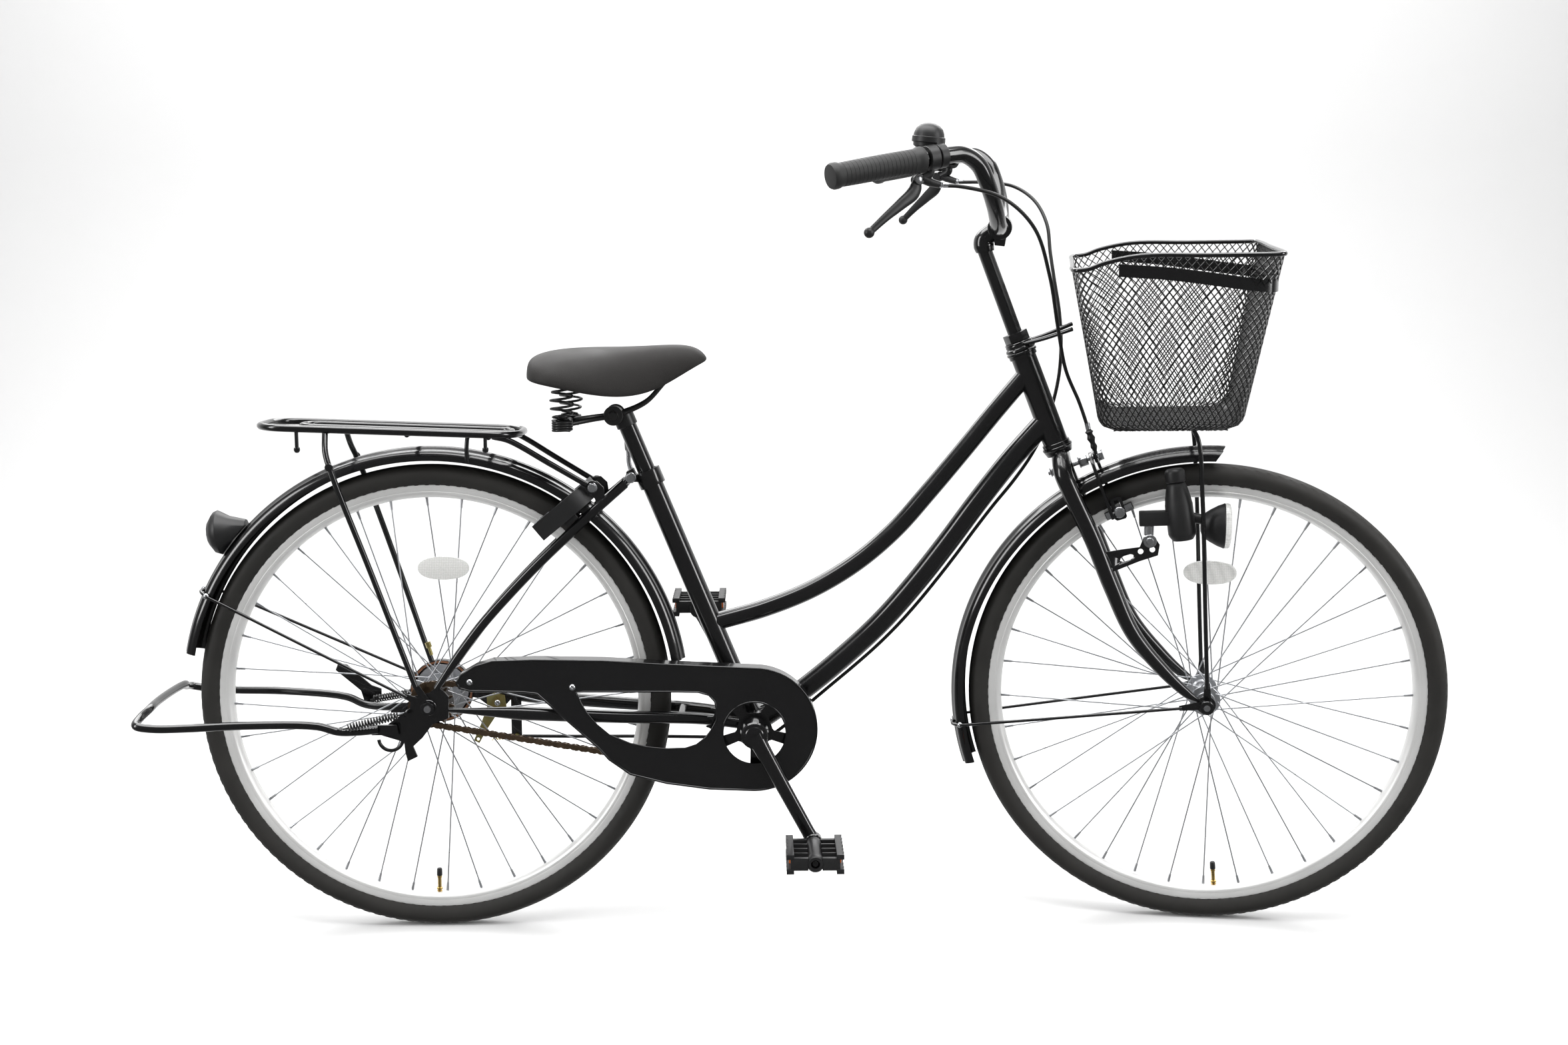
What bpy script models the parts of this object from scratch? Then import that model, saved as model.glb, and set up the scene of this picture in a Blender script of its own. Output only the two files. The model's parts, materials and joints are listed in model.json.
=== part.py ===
"""City bike with a front basket, rear rack, kickstand, ring lock, chain case and dynamo lamp.

Metres, +Z up, +X forward, +Y to the rider's left. The origin is where the rear tyre touches the ground,
on the bike's middle plane. The steering assembly is drawn straight ahead and then turned about the head
tube's axis, because it hangs on the empty called steering_axis.
"""

import math

import bmesh
import bpy
from mathutils import Matrix, Vector

for old in list(bpy.data.objects):
    bpy.data.objects.remove(old, do_unlink=True)

# Driving dimensions
AXLE_HEIGHT = 0.330
WHEELBASE = 1.0818
TYRE_RADIUS = 0.330
TYRE_WIDTH = 0.036
BEAD_RADIUS = 0.302
RIM_RADIUS = 0.3017
RIM_INNER_RADIUS = 0.283
RIM_WIDTH = 0.0234
WHEEL_STEPS = 32
SPOKES_PER_SIDE = 18
SPOKE_RADIUS = 0.001
SPOKE_CROSSES = 3

HEAD_TOP = Vector((0.8183, 0.0, 0.8136))
HEAD_BOTTOM = Vector((0.8713, 0.0, 0.6778))
STEER_AT_REST = math.radians(-10.0)

CRANK_AXIS = Vector((0.4475, 0.0, 0.290))
CRANK_LENGTH = 0.170
CRANK_LEAN = math.radians(28.3)
CHAIN_PITCH = 0.0127
CHAINRING_TEETH = 32
SPROCKET_TEETH = 14
CHAIN_LINE = -0.044

SEAT_TUBE_TOP = Vector((0.3000, 0.0, 0.6480))
SEAT_POST_TOP = Vector((0.2740, 0.0, 0.7110))
GAP = 0.0003

FRONT_AXLE = Vector((WHEELBASE, 0.0, AXLE_HEIGHT))
REAR_AXLE = Vector((0.0, 0.0, AXLE_HEIGHT))
STEER_AXIS = (HEAD_TOP - HEAD_BOTTOM).normalized()
SEAT_AXIS = (SEAT_TUBE_TOP - CRANK_AXIS).normalized()
WELD = 2e-6
FLAT_ANGLE = math.radians(0.6)

PARTS = bpy.data.collections.new("city_bike")
WORKSHOP = bpy.data.collections.new("workshop")
bpy.context.scene.collection.children.link(PARTS)
bpy.context.scene.collection.children.link(WORKSHOP)


# Materials
def material(name, colour, metallic, roughness):
    finish = bpy.data.materials.new(name)
    finish.use_nodes = True
    shader = finish.node_tree.nodes["Principled BSDF"]
    shader.inputs["Base Color"].default_value = (*colour, 1.0)
    shader.inputs["Metallic"].default_value = metallic
    shader.inputs["Roughness"].default_value = roughness
    finish.diffuse_color = (*colour, 1.0)
    return finish


BLACK_PAINT = material("black_paint", (0.012, 0.012, 0.013), 0.0, 0.18)
RUBBER = material("tyre_rubber", (0.035, 0.033, 0.030), 0.0, 0.75)
ALUMINIUM = material("satin_aluminium", (0.72, 0.72, 0.70), 1.0, 0.38)
STEEL = material("bright_steel", (0.60, 0.61, 0.62), 1.0, 0.28)
ZINC = material("yellow_zinc", (0.62, 0.50, 0.22), 1.0, 0.35)
CHAIN_STEEL = material("brown_chain_steel", (0.20, 0.16, 0.12), 1.0, 0.42)
VINYL = material("saddle_vinyl", (0.040, 0.036, 0.034), 0.0, 0.60)
PLASTIC = material("black_plastic", (0.022, 0.022, 0.023), 0.0, 0.48)
REFLECTOR = material("clear_reflector", (0.80, 0.80, 0.78), 0.0, 0.25)


# Shapes: each returns a closed mesh whose place is in its vertices
def as_body(obj, weld=WELD):
    """The evaluated shape of an object as a plain welded mesh, faces outwards."""
    bpy.context.view_layer.update()
    graph = bpy.context.evaluated_depsgraph_get()
    mesh = bpy.data.meshes.new_from_object(obj.evaluated_get(graph))
    mesh.transform(obj.matrix_world)
    bm = bmesh.new()
    bm.from_mesh(mesh)
    bmesh.ops.remove_doubles(bm, verts=bm.verts, dist=weld)
    bmesh.ops.recalc_face_normals(bm, faces=bm.faces)
    bm.to_mesh(mesh)
    bm.free()
    body = bpy.data.objects.new("body", mesh)
    WORKSHOP.objects.link(body)
    bpy.data.objects.remove(obj)
    return body


def from_bmesh(bm):
    mesh = bpy.data.meshes.new("body")
    bmesh.ops.recalc_face_normals(bm, faces=bm.faces)
    bm.to_mesh(mesh)
    bm.free()
    body = bpy.data.objects.new("body", mesh)
    WORKSHOP.objects.link(body)
    return body


def facing(direction):
    """A rotation that turns +Z to the given direction."""
    return Vector(direction).to_track_quat("Z", "X").to_matrix().to_4x4()


def rod(start, end, radius, sides=8, end_radius=None):
    start = Vector(start)
    end = Vector(end)
    bm = bmesh.new()
    bmesh.ops.create_cone(
        bm, cap_ends=True, segments=sides, radius1=radius,
        radius2=radius if end_radius is None else end_radius, depth=(end - start).length,
        matrix=Matrix.Translation((start + end) / 2) @ facing(end - start))
    return from_bmesh(bm)


def block(centre, size, turn=None):
    """A box; turn is a rotation about its centre."""
    bm = bmesh.new()
    place = Matrix.Translation(centre) @ (turn or Matrix()) @ Matrix.Diagonal((*size, 1.0))
    bmesh.ops.create_cube(bm, size=1.0, matrix=place)
    return from_bmesh(bm)


def pitch(degrees):
    """A turn about the Y axis that lifts +X."""
    return Matrix.Rotation(-math.radians(degrees), 4, "Y")


def smooth(points, count):
    """Evenly spaced points along a smooth curve through the given ones."""
    points = [Vector(point) for point in points]
    ends = [points[0] * 2 - points[1]] + points + [points[-1] * 2 - points[-2]]
    fine = []
    for a, b, c, d in zip(ends, ends[1:], ends[2:], ends[3:]):
        for step in range(20):
            t = step / 20
            fine.append(0.5 * (2 * b + (c - a) * t + (2 * a - 5 * b + 4 * c - d) * t * t
                               + (3 * b - a - 3 * c + d) * t ** 3))
    fine.append(points[-1])
    lengths = [0.0]
    for a, b in zip(fine, fine[1:]):
        lengths.append(lengths[-1] + (b - a).length)
    spaced = []
    place = 0
    for index in range(count):
        target = lengths[-1] * index / (count - 1)
        while place < len(fine) - 2 and lengths[place + 1] < target:
            place += 1
        share = (target - lengths[place]) / max(lengths[place + 1] - lengths[place], 1e-9)
        spaced.append(fine[place].lerp(fine[place + 1], min(share, 1.0)))
    return spaced


def tube(points, radius, sides=8, closed=False, radii=None):
    """A round tube along the points; radii scale it point by point."""
    curve = bpy.data.curves.new("tube", "CURVE")
    curve.dimensions = "3D"
    curve.render_resolution_u = 0
    curve.bevel_depth = radius
    curve.bevel_resolution = (sides - 4) // 2
    curve.use_fill_caps = not closed
    spline = curve.splines.new("POLY")
    spline.points.add(len(points) - 1)
    spline.use_cyclic_u = closed
    for index, point in enumerate(points):
        spline.points[index].co = (*point, 1.0)
        if radii:
            spline.points[index].radius = radii[index]
    obj = bpy.data.objects.new("tube", curve)
    WORKSHOP.objects.link(obj)
    return as_body(obj)


def plate(outlines, thickness, y=0.0, place=None):
    """A flat sheet in the XZ plane at y; outlines after the first are holes."""
    curve = bpy.data.curves.new("plate", "CURVE")
    curve.dimensions = "2D"
    curve.fill_mode = "BOTH"
    curve.extrude = thickness / 2
    curve.render_resolution_u = 0
    for outline in outlines:
        spline = curve.splines.new("POLY")
        spline.points.add(len(outline) - 1)
        spline.use_cyclic_u = True
        for index, point in enumerate(outline):
            spline.points[index].co = (point[0], point[1], 0.0, 1.0)
    obj = bpy.data.objects.new("plate", curve)
    WORKSHOP.objects.link(obj)
    obj.matrix_world = place or Matrix.Translation((0, y, 0)) @ Matrix.Rotation(math.pi / 2, 4, "X")
    return as_body(obj)


def turned(profile, steps, centre, axis=(0, 1, 0), ring=False, half_step=False):
    """A turned solid; the profile's points are (radius, distance along the axis)."""
    mesh = bpy.data.meshes.new("profile")
    edges = [(index, index + 1) for index in range(len(profile) - 1)]
    if ring:
        edges.append((len(profile) - 1, 0))
    mesh.from_pydata([(radius, 0.0, along) for radius, along in profile], edges, [])
    obj = bpy.data.objects.new("turned", mesh)
    WORKSHOP.objects.link(obj)
    screw = obj.modifiers.new("turn", "SCREW")
    screw.steps = steps
    screw.render_steps = steps
    screw.use_merge_vertices = True
    screw.merge_threshold = 1e-5
    start = math.pi / steps if half_step else 0.0
    obj.matrix_world = Matrix.Translation(centre) @ facing(axis) @ Matrix.Rotation(start, 4, "Z")
    return as_body(obj)


def combine(body, other, operation):
    modifier = body.modifiers.new("join", "BOOLEAN")
    modifier.operation = operation
    modifier.solver = "EXACT"
    modifier.object = other
    result = as_body(body)
    bpy.data.objects.remove(other)
    return result


def fused(*bodies):
    result = bodies[0]
    for other in bodies[1:]:
        result = combine(result, other, "UNION")
    return result


def cut(body, *tools):
    for tool in tools:
        body = combine(body, tool, "DIFFERENCE")
    return body


def mirrored(body):
    """A copy on the bike's other side."""
    mesh = body.data.copy()
    mesh.transform(Matrix.Scale(-1, 4, (0, 1, 0)))
    mesh.flip_normals()
    other = bpy.data.objects.new("body", mesh)
    WORKSHOP.objects.link(other)
    return other


def moved(body, place):
    body.data.transform(place)
    return body


def circle(centre_x, centre_z, radius, steps, start=0.0, turn=360.0):
    """Points on an arc; a whole circle leaves out its last point."""
    last = steps if abs(turn) == 360.0 else steps - 1
    return [(centre_x + radius * math.cos(math.radians(start + turn * index / last)),
             centre_z + radius * math.sin(math.radians(start + turn * index / last)))
            for index in range(steps)]


def merge_flat_faces(mesh):
    """Join neighbouring faces that lie in one plane, and edges that lie on one line."""
    bm = bmesh.new()
    bm.from_mesh(mesh)
    bmesh.ops.dissolve_limit(bm, angle_limit=FLAT_ANGLE, verts=bm.verts, edges=bm.edges)
    bm.to_mesh(mesh)
    bm.free()


STEERING = bpy.data.objects.new("steering_axis", None)
PARTS.objects.link(STEERING)
STEERING.matrix_world = Matrix.Translation(HEAD_BOTTOM) @ Matrix.Rotation(STEER_AT_REST, 4, STEER_AXIS)


def piece(name, body, finish, origin=(0.0, 0.0, 0.0), parent=None):
    """Turn a finished body into a named part whose origin is a point on its joint."""
    origin = Vector(origin)
    merge_flat_faces(body.data)
    body.name = name
    body.data.name = name
    body.data.transform(Matrix.Translation(-origin))
    body.data.materials.clear()
    body.data.materials.append(finish)
    body.data.shade_smooth()
    body.data.set_sharp_from_angle(angle=math.radians(35))
    body.parent = parent
    body.location = origin - (HEAD_BOTTOM if parent else Vector())
    WORKSHOP.objects.unlink(body)
    PARTS.objects.link(body)
    return body


# Wheels
def make_tyre(axle):
    half = TYRE_WIDTH / 2
    profile = [(TYRE_RADIUS, 0.0060), (0.3185, half), (BEAD_RADIUS, 0.0122)]
    profile += [(radius, -along) for radius, along in reversed(profile)]
    crown = 1 / math.cos(math.pi / WHEEL_STEPS)
    profile = [(radius * crown, along) for radius, along in profile]
    return turned(profile, WHEEL_STEPS, axle, ring=True, half_step=True)


def make_rim(axle):
    half = RIM_WIDTH / 2
    profile = [(RIM_RADIUS, half), (0.2905, half), (RIM_INNER_RADIUS, 0.0050)]
    profile += [(radius, -along) for radius, along in reversed(profile)]
    crown = 1 / math.cos(math.pi / WHEEL_STEPS)
    profile = [(radius * crown, along) for radius, along in profile]
    return turned(profile, WHEEL_STEPS, axle, ring=True, half_step=True)


def spoke_ends(axle, flange_y, flange_radius, side, index, first_angle):
    """The two ends of one spoke of a wheel laced three-cross."""
    step = 2 * math.pi / SPOKES_PER_SIDE
    trailing = 1 if index % 2 else -1
    rim_angle = first_angle + (index + 0.5 * (side > 0)) * step
    hub_angle = rim_angle + trailing * (2 * SPOKE_CROSSES - 0.5) * step / 2
    inner_y = flange_y + trailing * side * 0.0019
    hub = Vector((math.cos(hub_angle) * flange_radius, inner_y, math.sin(hub_angle) * flange_radius))
    rim = Vector((math.cos(rim_angle) * 0.2812, side * 0.0020, math.sin(rim_angle) * 0.2812))
    return axle + hub, axle + rim


def make_hub(axle, right_flange, left_flange, flange_radius, core, first_angle):
    """A turned hub with its 36 spokes."""
    hub = turned(core, 8, axle, ring=True)
    spokes = []
    for side, flange_y in ((-1, right_flange), (1, left_flange)):
        for index in range(SPOKES_PER_SIDE):
            start, end = spoke_ends(axle, flange_y, flange_radius - 0.0035, side, index, first_angle)
            spokes.append(rod(start, end, SPOKE_RADIUS, 3))
    bpy.ops.object.select_all(action="DESELECT")
    for spoke in spokes:
        spoke.select_set(True)
    bpy.context.view_layer.objects.active = spokes[0]
    bpy.ops.object.join()
    return fused(hub, spokes[0])


def make_spoke_reflector(centre):
    half_length = 0.0365
    half_height = 0.0170
    outline = [(centre.x + half_length * math.cos(angle),
                centre.z + half_height * math.sin(angle) * (1.0 + 0.15 * math.cos(angle) ** 2))
               for angle in (2 * math.pi * index / 12 for index in range(12))]
    return plate([outline], 0.0060, centre.y)


def hub_core(right_flange, left_flange, flange_radius, barrel, bore, end_right, end_left):
    """The closed profile of a hub shell: outer side, then the bore back."""
    half = 0.0016
    return [(bore, end_right), (barrel, end_right), (barrel, right_flange - half),
            (flange_radius, right_flange - half), (flange_radius, right_flange + half),
            (barrel * 0.85, right_flange + 2 * half), (barrel * 0.85, left_flange - 2 * half),
            (flange_radius, left_flange - half), (flange_radius, left_flange + half),
            (barrel, left_flange + half), (barrel, end_left), (bore, end_left)]


def make_wheels():
    rear_core = hub_core(-0.027, 0.024, 0.0290, 0.0190, 0.0065, -0.0335, 0.0360)
    rear_core[-3:-1] = [(0.0190, 0.0380), (0.0385, 0.0385), (0.0385, 0.0520), (0.0190, 0.0520)]
    rear_core[-1] = (0.0065, 0.0520)
    front_core = hub_core(-0.030, 0.030, 0.0210, 0.0135, 0.0062, -0.0370, 0.0370)
    piece("rear_tyre", make_tyre(REAR_AXLE), RUBBER, REAR_AXLE)
    piece("rear_rim", make_rim(REAR_AXLE), ALUMINIUM, REAR_AXLE)
    piece("rear_hub", make_hub(REAR_AXLE, -0.027, 0.024, 0.0290, rear_core, math.radians(1.4)),
          STEEL, REAR_AXLE)
    piece("front_tyre", make_tyre(FRONT_AXLE), RUBBER, FRONT_AXLE, STEERING)
    piece("front_rim", make_rim(FRONT_AXLE), ALUMINIUM, FRONT_AXLE, STEERING)
    piece("front_hub", make_hub(FRONT_AXLE, -0.030, 0.030, 0.0210, front_core, math.radians(2.0)),
          STEEL, FRONT_AXLE, STEERING)
    piece("rear_spoke_reflector", make_spoke_reflector(Vector((0.0176, -0.0200, 0.5168))),
          REFLECTOR, REAR_AXLE)
    piece("front_spoke_reflector", make_spoke_reflector(Vector((1.0827, -0.0210, 0.5107))),
          REFLECTOR, FRONT_AXLE, STEERING)


make_wheels()


# Frame
DROPOUT_Y = 0.060
DROPOUT_THICKNESS = 0.005
STAND_PIVOT = Vector((-0.0513, 0.0, 0.2987))
SPRING_HOOK = Vector((-0.0300, 0.0, 0.3235))
STAND_HOOK = Vector((-0.1181, 0.0, 0.3049))
CLAMP_BOLT = Vector((0.2780, 0.0, 0.6410))
RACK_BOLT = Vector((0.2270, 0.0, 0.6297))
STAY_FOOT = Vector((0.0102, 0.0, 0.3550))
STAY_RISE = Vector((0.574, 0.0, 0.819))


def down_tube_route():
    return smooth([(0.8560, 0, 0.7190), (0.8271, 0, 0.6896), (0.7988, 0, 0.6525), (0.7548, 0, 0.5966),
                   (0.7138, 0, 0.5404), (0.6697, 0, 0.4840), (0.6371, 0, 0.4461),
                   (0.5993, 0, 0.4082), (0.5226, 0, 0.3426), (0.4560, 0, 0.2950)], 9)


def stay_seat(half_width):
    """The two corners of the dropout's edge that a seat stay stands on."""
    across = Vector((STAY_RISE.z, 0, -STAY_RISE.x)) * half_width
    return [((STAY_FOOT - across).x, (STAY_FOOT - across).z),
            ((STAY_FOOT + across).x, (STAY_FOOT + across).z)]


def make_dropout(side):
    outline = [(0.0270, 0.3440), (0.0262, 0.3140), (0.0043, 0.3058), (-0.0103, 0.2867)]
    if side < 0:
        outline += [(-0.0238, 0.2742), (-0.0181, 0.2598), (-0.0315, 0.2534), (-0.0345, 0.2650)]
    outline += [(-0.0359, 0.2807), (-0.0660, 0.2900), (-0.0572, 0.3060), (-0.0431, 0.3160),
                (-0.0266, 0.3282), (-0.0244, 0.3443)]
    outline += stay_seat(0.0080)
    holes = [circle(REAR_AXLE.x, REAR_AXLE.z, 0.0060, 8), circle(STAND_PIVOT.x, STAND_PIVOT.z, 0.0046, 6)]
    body = plate([outline] + holes, DROPOUT_THICKNESS, side * DROPOUT_Y)
    hook = rod(SPRING_HOOK + Vector((0, side * 0.0600, 0)), SPRING_HOOK + Vector((0, side * 0.0745, 0)),
               0.0026, 6)
    body = fused(body, hook)
    if side < 0:
        loop = [Vector((x, -DROPOUT_Y, z)) for x, z in circle(-0.0545, 0.2850, 0.0165, 6, 185, 165)]
        body = fused(body, tube(loop, 0.0026, 5))
    return body


def make_chain_stay():
    route = smooth([(0.4430, -0.0240, 0.2930), (0.3720, -0.0300, 0.3035), (0.2620, -0.0410, 0.3095),
                    (0.1500, -0.0510, 0.3165), (0.0240, -0.0600, 0.3250)], 6)
    return tube(route, 0.0092, 8, radii=[0.86, 0.88, 0.95, 1.0, 1.05, 0.25])


def make_main_frame():
    top_tube = tube(smooth([(0.8290, 0, 0.7840), (0.7962, 0, 0.7453), (0.7515, 0, 0.6899),
                            (0.6899, 0, 0.6157), (0.6580, 0, 0.5783), (0.6195, 0, 0.5409),
                            (0.5691, 0, 0.5034), (0.5359, 0, 0.4847), (0.4929, 0, 0.4650),
                            (0.4554, 0, 0.4524), (0.3960, 0, 0.4360)], 10), 0.0127, 8)
    down_tube = tube(down_tube_route(), 0.0152, 8)
    seat_tube = rod(CRANK_AXIS, SEAT_TUBE_TOP, 0.0148, 12)
    head_tube = rod(HEAD_BOTTOM, HEAD_TOP, 0.0175, 10)
    cups = [rod(HEAD_TOP - STEER_AXIS * 0.009, HEAD_TOP - STEER_AXIS * 0.0004, 0.0205, 10, 0.0215),
            rod(HEAD_BOTTOM + STEER_AXIS * 0.009, HEAD_BOTTOM + STEER_AXIS * 0.0004, 0.0205, 10, 0.0215)]
    shell = rod(CRANK_AXIS - Vector((0, 0.034, 0)), CRANK_AXIS + Vector((0, 0.034, 0)), 0.0205, 10)
    right_stay = make_chain_stay()
    left_stay = mirrored(right_stay)
    bridge = rod((0.3450, -0.0320, 0.3060), (0.3450, 0.0320, 0.3060), 0.0060, 6)
    case_seats = [rod((0.1970, -0.0500, 0.3260), (0.1970, -0.0601, 0.3260), 0.0050, 6),
                  rod((0.4130, -0.0080, 0.3740), (0.4130, -0.0601, 0.3740), 0.0040, 6)]
    frame = fused(shell, seat_tube, top_tube, down_tube, head_tube, *cups, right_stay, left_stay, bridge,
                  make_dropout(-1), make_dropout(1), *case_seats)
    steerer_bore = rod(HEAD_BOTTOM - STEER_AXIS * 0.02, HEAD_TOP + STEER_AXIS * 0.02, 0.0137, 12)
    post_bore = rod(SEAT_TUBE_TOP - SEAT_AXIS * 0.185, SEAT_TUBE_TOP + SEAT_AXIS * 0.02, 0.0133, 12)
    axle_bore = rod(CRANK_AXIS - Vector((0, 0.05, 0)), CRANK_AXIS + Vector((0, 0.05, 0)), 0.0110, 8)
    piece("main_frame", cut(frame, steerer_bore, post_bore, axle_bore), BLACK_PAINT)


def make_seat_stay():
    """The right seat stay, with its lug at the seat clamp and its ear for the rack."""
    foot = STAY_FOOT + STAY_RISE * GAP + Vector((0, -DROPOUT_Y - 0.0010, 0))
    route = [foot, (0.0330, -0.0583, 0.3878), (0.0607, -0.0562, 0.4274), (0.0927, -0.0535, 0.4631),
             (0.1245, -0.0505, 0.4986), (0.1668, -0.0460, 0.5402), (0.2088, -0.0395, 0.5794),
             (0.2359, -0.0320, 0.6038), (0.2700, -0.0185, 0.6330)]
    stay = tube(smooth(route, 8), 0.0070, 8, radii=[0.62, 0.95] + [1.0] * 6)
    lug = plate([circle(CLAMP_BOLT.x, CLAMP_BOLT.z, 0.0070, 8),
                 circle(CLAMP_BOLT.x, CLAMP_BOLT.z, 0.0040, 6)],
                0.0036, -0.0146)
    web = rod((0.2640, -0.0200, 0.6285), (0.2725, -0.0135, 0.6360), 0.0034, 6)
    ear = plate([[(0.2212, 0.6258), (0.2205, 0.6370), (0.2330, 0.6385), (0.2420, 0.6300),
                  (0.2450, 0.6080), (0.2335, 0.5990), (0.2302, 0.6135)]], 0.0026, -0.0332)
    return fused(stay, lug, web, ear)


def make_seat_clamp():
    centre = SEAT_TUBE_TOP - SEAT_AXIS * 0.0095
    band = turned([(0.0156, 0.0115), (0.0186, 0.0115), (0.0186, -0.0115), (0.0156, -0.0115)], 12, centre,
                  SEAT_AXIS, ring=True)
    ears = [plate([[(0.2715, 0.6340), (0.2715, 0.6480), (0.2813, 0.6530), (0.2894, 0.6340)],
                   circle(CLAMP_BOLT.x, CLAMP_BOLT.z, 0.0040, 6)], 0.0036, y) for y in (-0.0060, 0.0060)]
    piece("seat_clamp", fused(band, *ears), BLACK_PAINT)
    bolt = rod(CLAMP_BOLT - Vector((0, 0.0260, 0)), CLAMP_BOLT + Vector((0, 0.0240, 0)), 0.0031, 6)
    nut = rod(CLAMP_BOLT - Vector((0, 0.0270, 0)), CLAMP_BOLT - Vector((0, 0.0172, 0)), 0.0070, 8)
    cam = rod(CLAMP_BOLT + Vector((0, 0.0167, 0)), CLAMP_BOLT + Vector((0, 0.0260, 0)), 0.0065, 8)
    arm = tube(smooth([(0.2780, 0.0225, 0.6430), (0.2735, 0.0240, 0.6570), (0.2728, 0.0240, 0.6730),
                       (0.2722, 0.0240, 0.6900)], 5), 0.0040, 6, radii=[1.0, 0.9, 0.9, 1.2, 0.9])
    piece("seat_clamp_lever", fused(bolt, nut, cam, arm), STEEL, CLAMP_BOLT)


# Fenders
def fender_shell(axle, start, end, steps):
    """The pressed sheet of a fender with its raised middle."""
    half = [(0.3370, 0.0250), (0.3485, 0.0200), (0.3540, 0.0050)]
    profile = half + [(radius, -along) for radius, along in reversed(half)]
    mesh = bpy.data.meshes.new("profile")
    mesh.from_pydata([(radius, 0.0, along) for radius, along in profile],
                     [(index, index + 1) for index in range(len(profile) - 1)], [])
    obj = bpy.data.objects.new("fender", mesh)
    WORKSHOP.objects.link(obj)
    screw = obj.modifiers.new("turn", "SCREW")
    screw.angle = -math.radians(end - start)
    screw.steps = steps
    screw.render_steps = steps
    screw.use_merge_vertices = False
    wall = obj.modifiers.new("wall", "SOLIDIFY")
    wall.thickness = 0.0013
    wall.offset = 0.0
    obj.matrix_world = (Matrix.Translation(axle) @ Matrix.Rotation(-math.pi / 2, 4, "X")
                        @ Matrix.Rotation(-math.radians(start), 4, "Z"))
    return as_body(obj)


def eyelet(axle, y, lean, length, radius=0.0095, bore=0.0062):
    """A flat ring on an axle with a tail towards its wire; lean is the tail's angle in degrees."""
    ring = circle(axle.x, axle.z, radius, 6, lean + 34, 292)
    along = Vector((math.cos(math.radians(lean)), math.sin(math.radians(lean))))
    across = Vector((-along.y, along.x)) * 0.0045
    centre = Vector((axle.x, axle.z))
    tail = [tuple(centre + along * length - across), tuple(centre + along * length + across)]
    return plate([ring + tail, circle(axle.x, axle.z, bore, 6)], 0.0016, y)


def fender_stay(axle, angle, eyelet_y, crown=0.3545):
    """A wire from one end of the axle over the fender to the other, with its two eyelets."""
    top = Vector((math.cos(math.radians(angle)), 0, math.sin(math.radians(angle))))
    side = [axle + top * 0.0330 + Vector((0, -eyelet_y - 0.0014, 0)),
            axle + top * 0.3100 + Vector((0, -0.0330, 0)), axle + top * 0.3480 + Vector((0, -0.0275, 0)),
            axle + top * (crown + 0.0002) + Vector((0, -0.0130, 0)), axle + top * crown]
    other = [Vector((point.x, -point.y, point.z)) for point in reversed(side[:-1])]
    wire = tube(side + other, 0.0022, 5)
    return [wire, eyelet(axle, -eyelet_y, angle, 0.0370), eyelet(axle, eyelet_y, angle, 0.0370)]


def make_rear_fender():
    shell = fender_shell(REAR_AXLE, 9.0, 168.7, 12)
    piece("rear_fender", fused(shell, *fender_stay(REAR_AXLE, 154.1, 0.0636)), BLACK_PAINT)


def make_tail_reflector():
    lens = Vector((-0.2985, 0.0, 0.5650))
    body = turned([(0.0, 0.0130), (0.0170, 0.0105), (0.0290, 0.0020), (0.0315, -0.0050),
                   (0.0220, -0.0200), (0.0150, -0.0420), (0.0, -0.0420)], 12, lens, (-0.995, 0, -0.10))
    fender_space = rod(REAR_AXLE - Vector((0, 0.06, 0)), REAR_AXLE + Vector((0, 0.06, 0)), 0.3562, 64)
    piece("tail_reflector", cut(body, fender_space), PLASTIC)


# Rear rack
def rounded_loop(front, rear, half_width, z_front, z_rear, corner, steps=2):
    """A closed loop of rod in plan, rounded at its four corners."""
    points = []
    for x, y, start in ((front, half_width, 0), (rear, half_width, 90), (rear, -half_width, 180),
                        (front, -half_width, 270)):
        centre_x = x - math.copysign(corner, x - (front + rear) / 2)
        centre_y = y - math.copysign(corner, y)
        for index in range(steps + 1):
            angle = math.radians(start + 90 * index / steps)
            px = centre_x + corner * math.cos(angle)
            share = (px - rear) / (front - rear)
            points.append((px, centre_y + corner * math.sin(angle), z_rear + (z_front - z_rear) * share))
    return points


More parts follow.
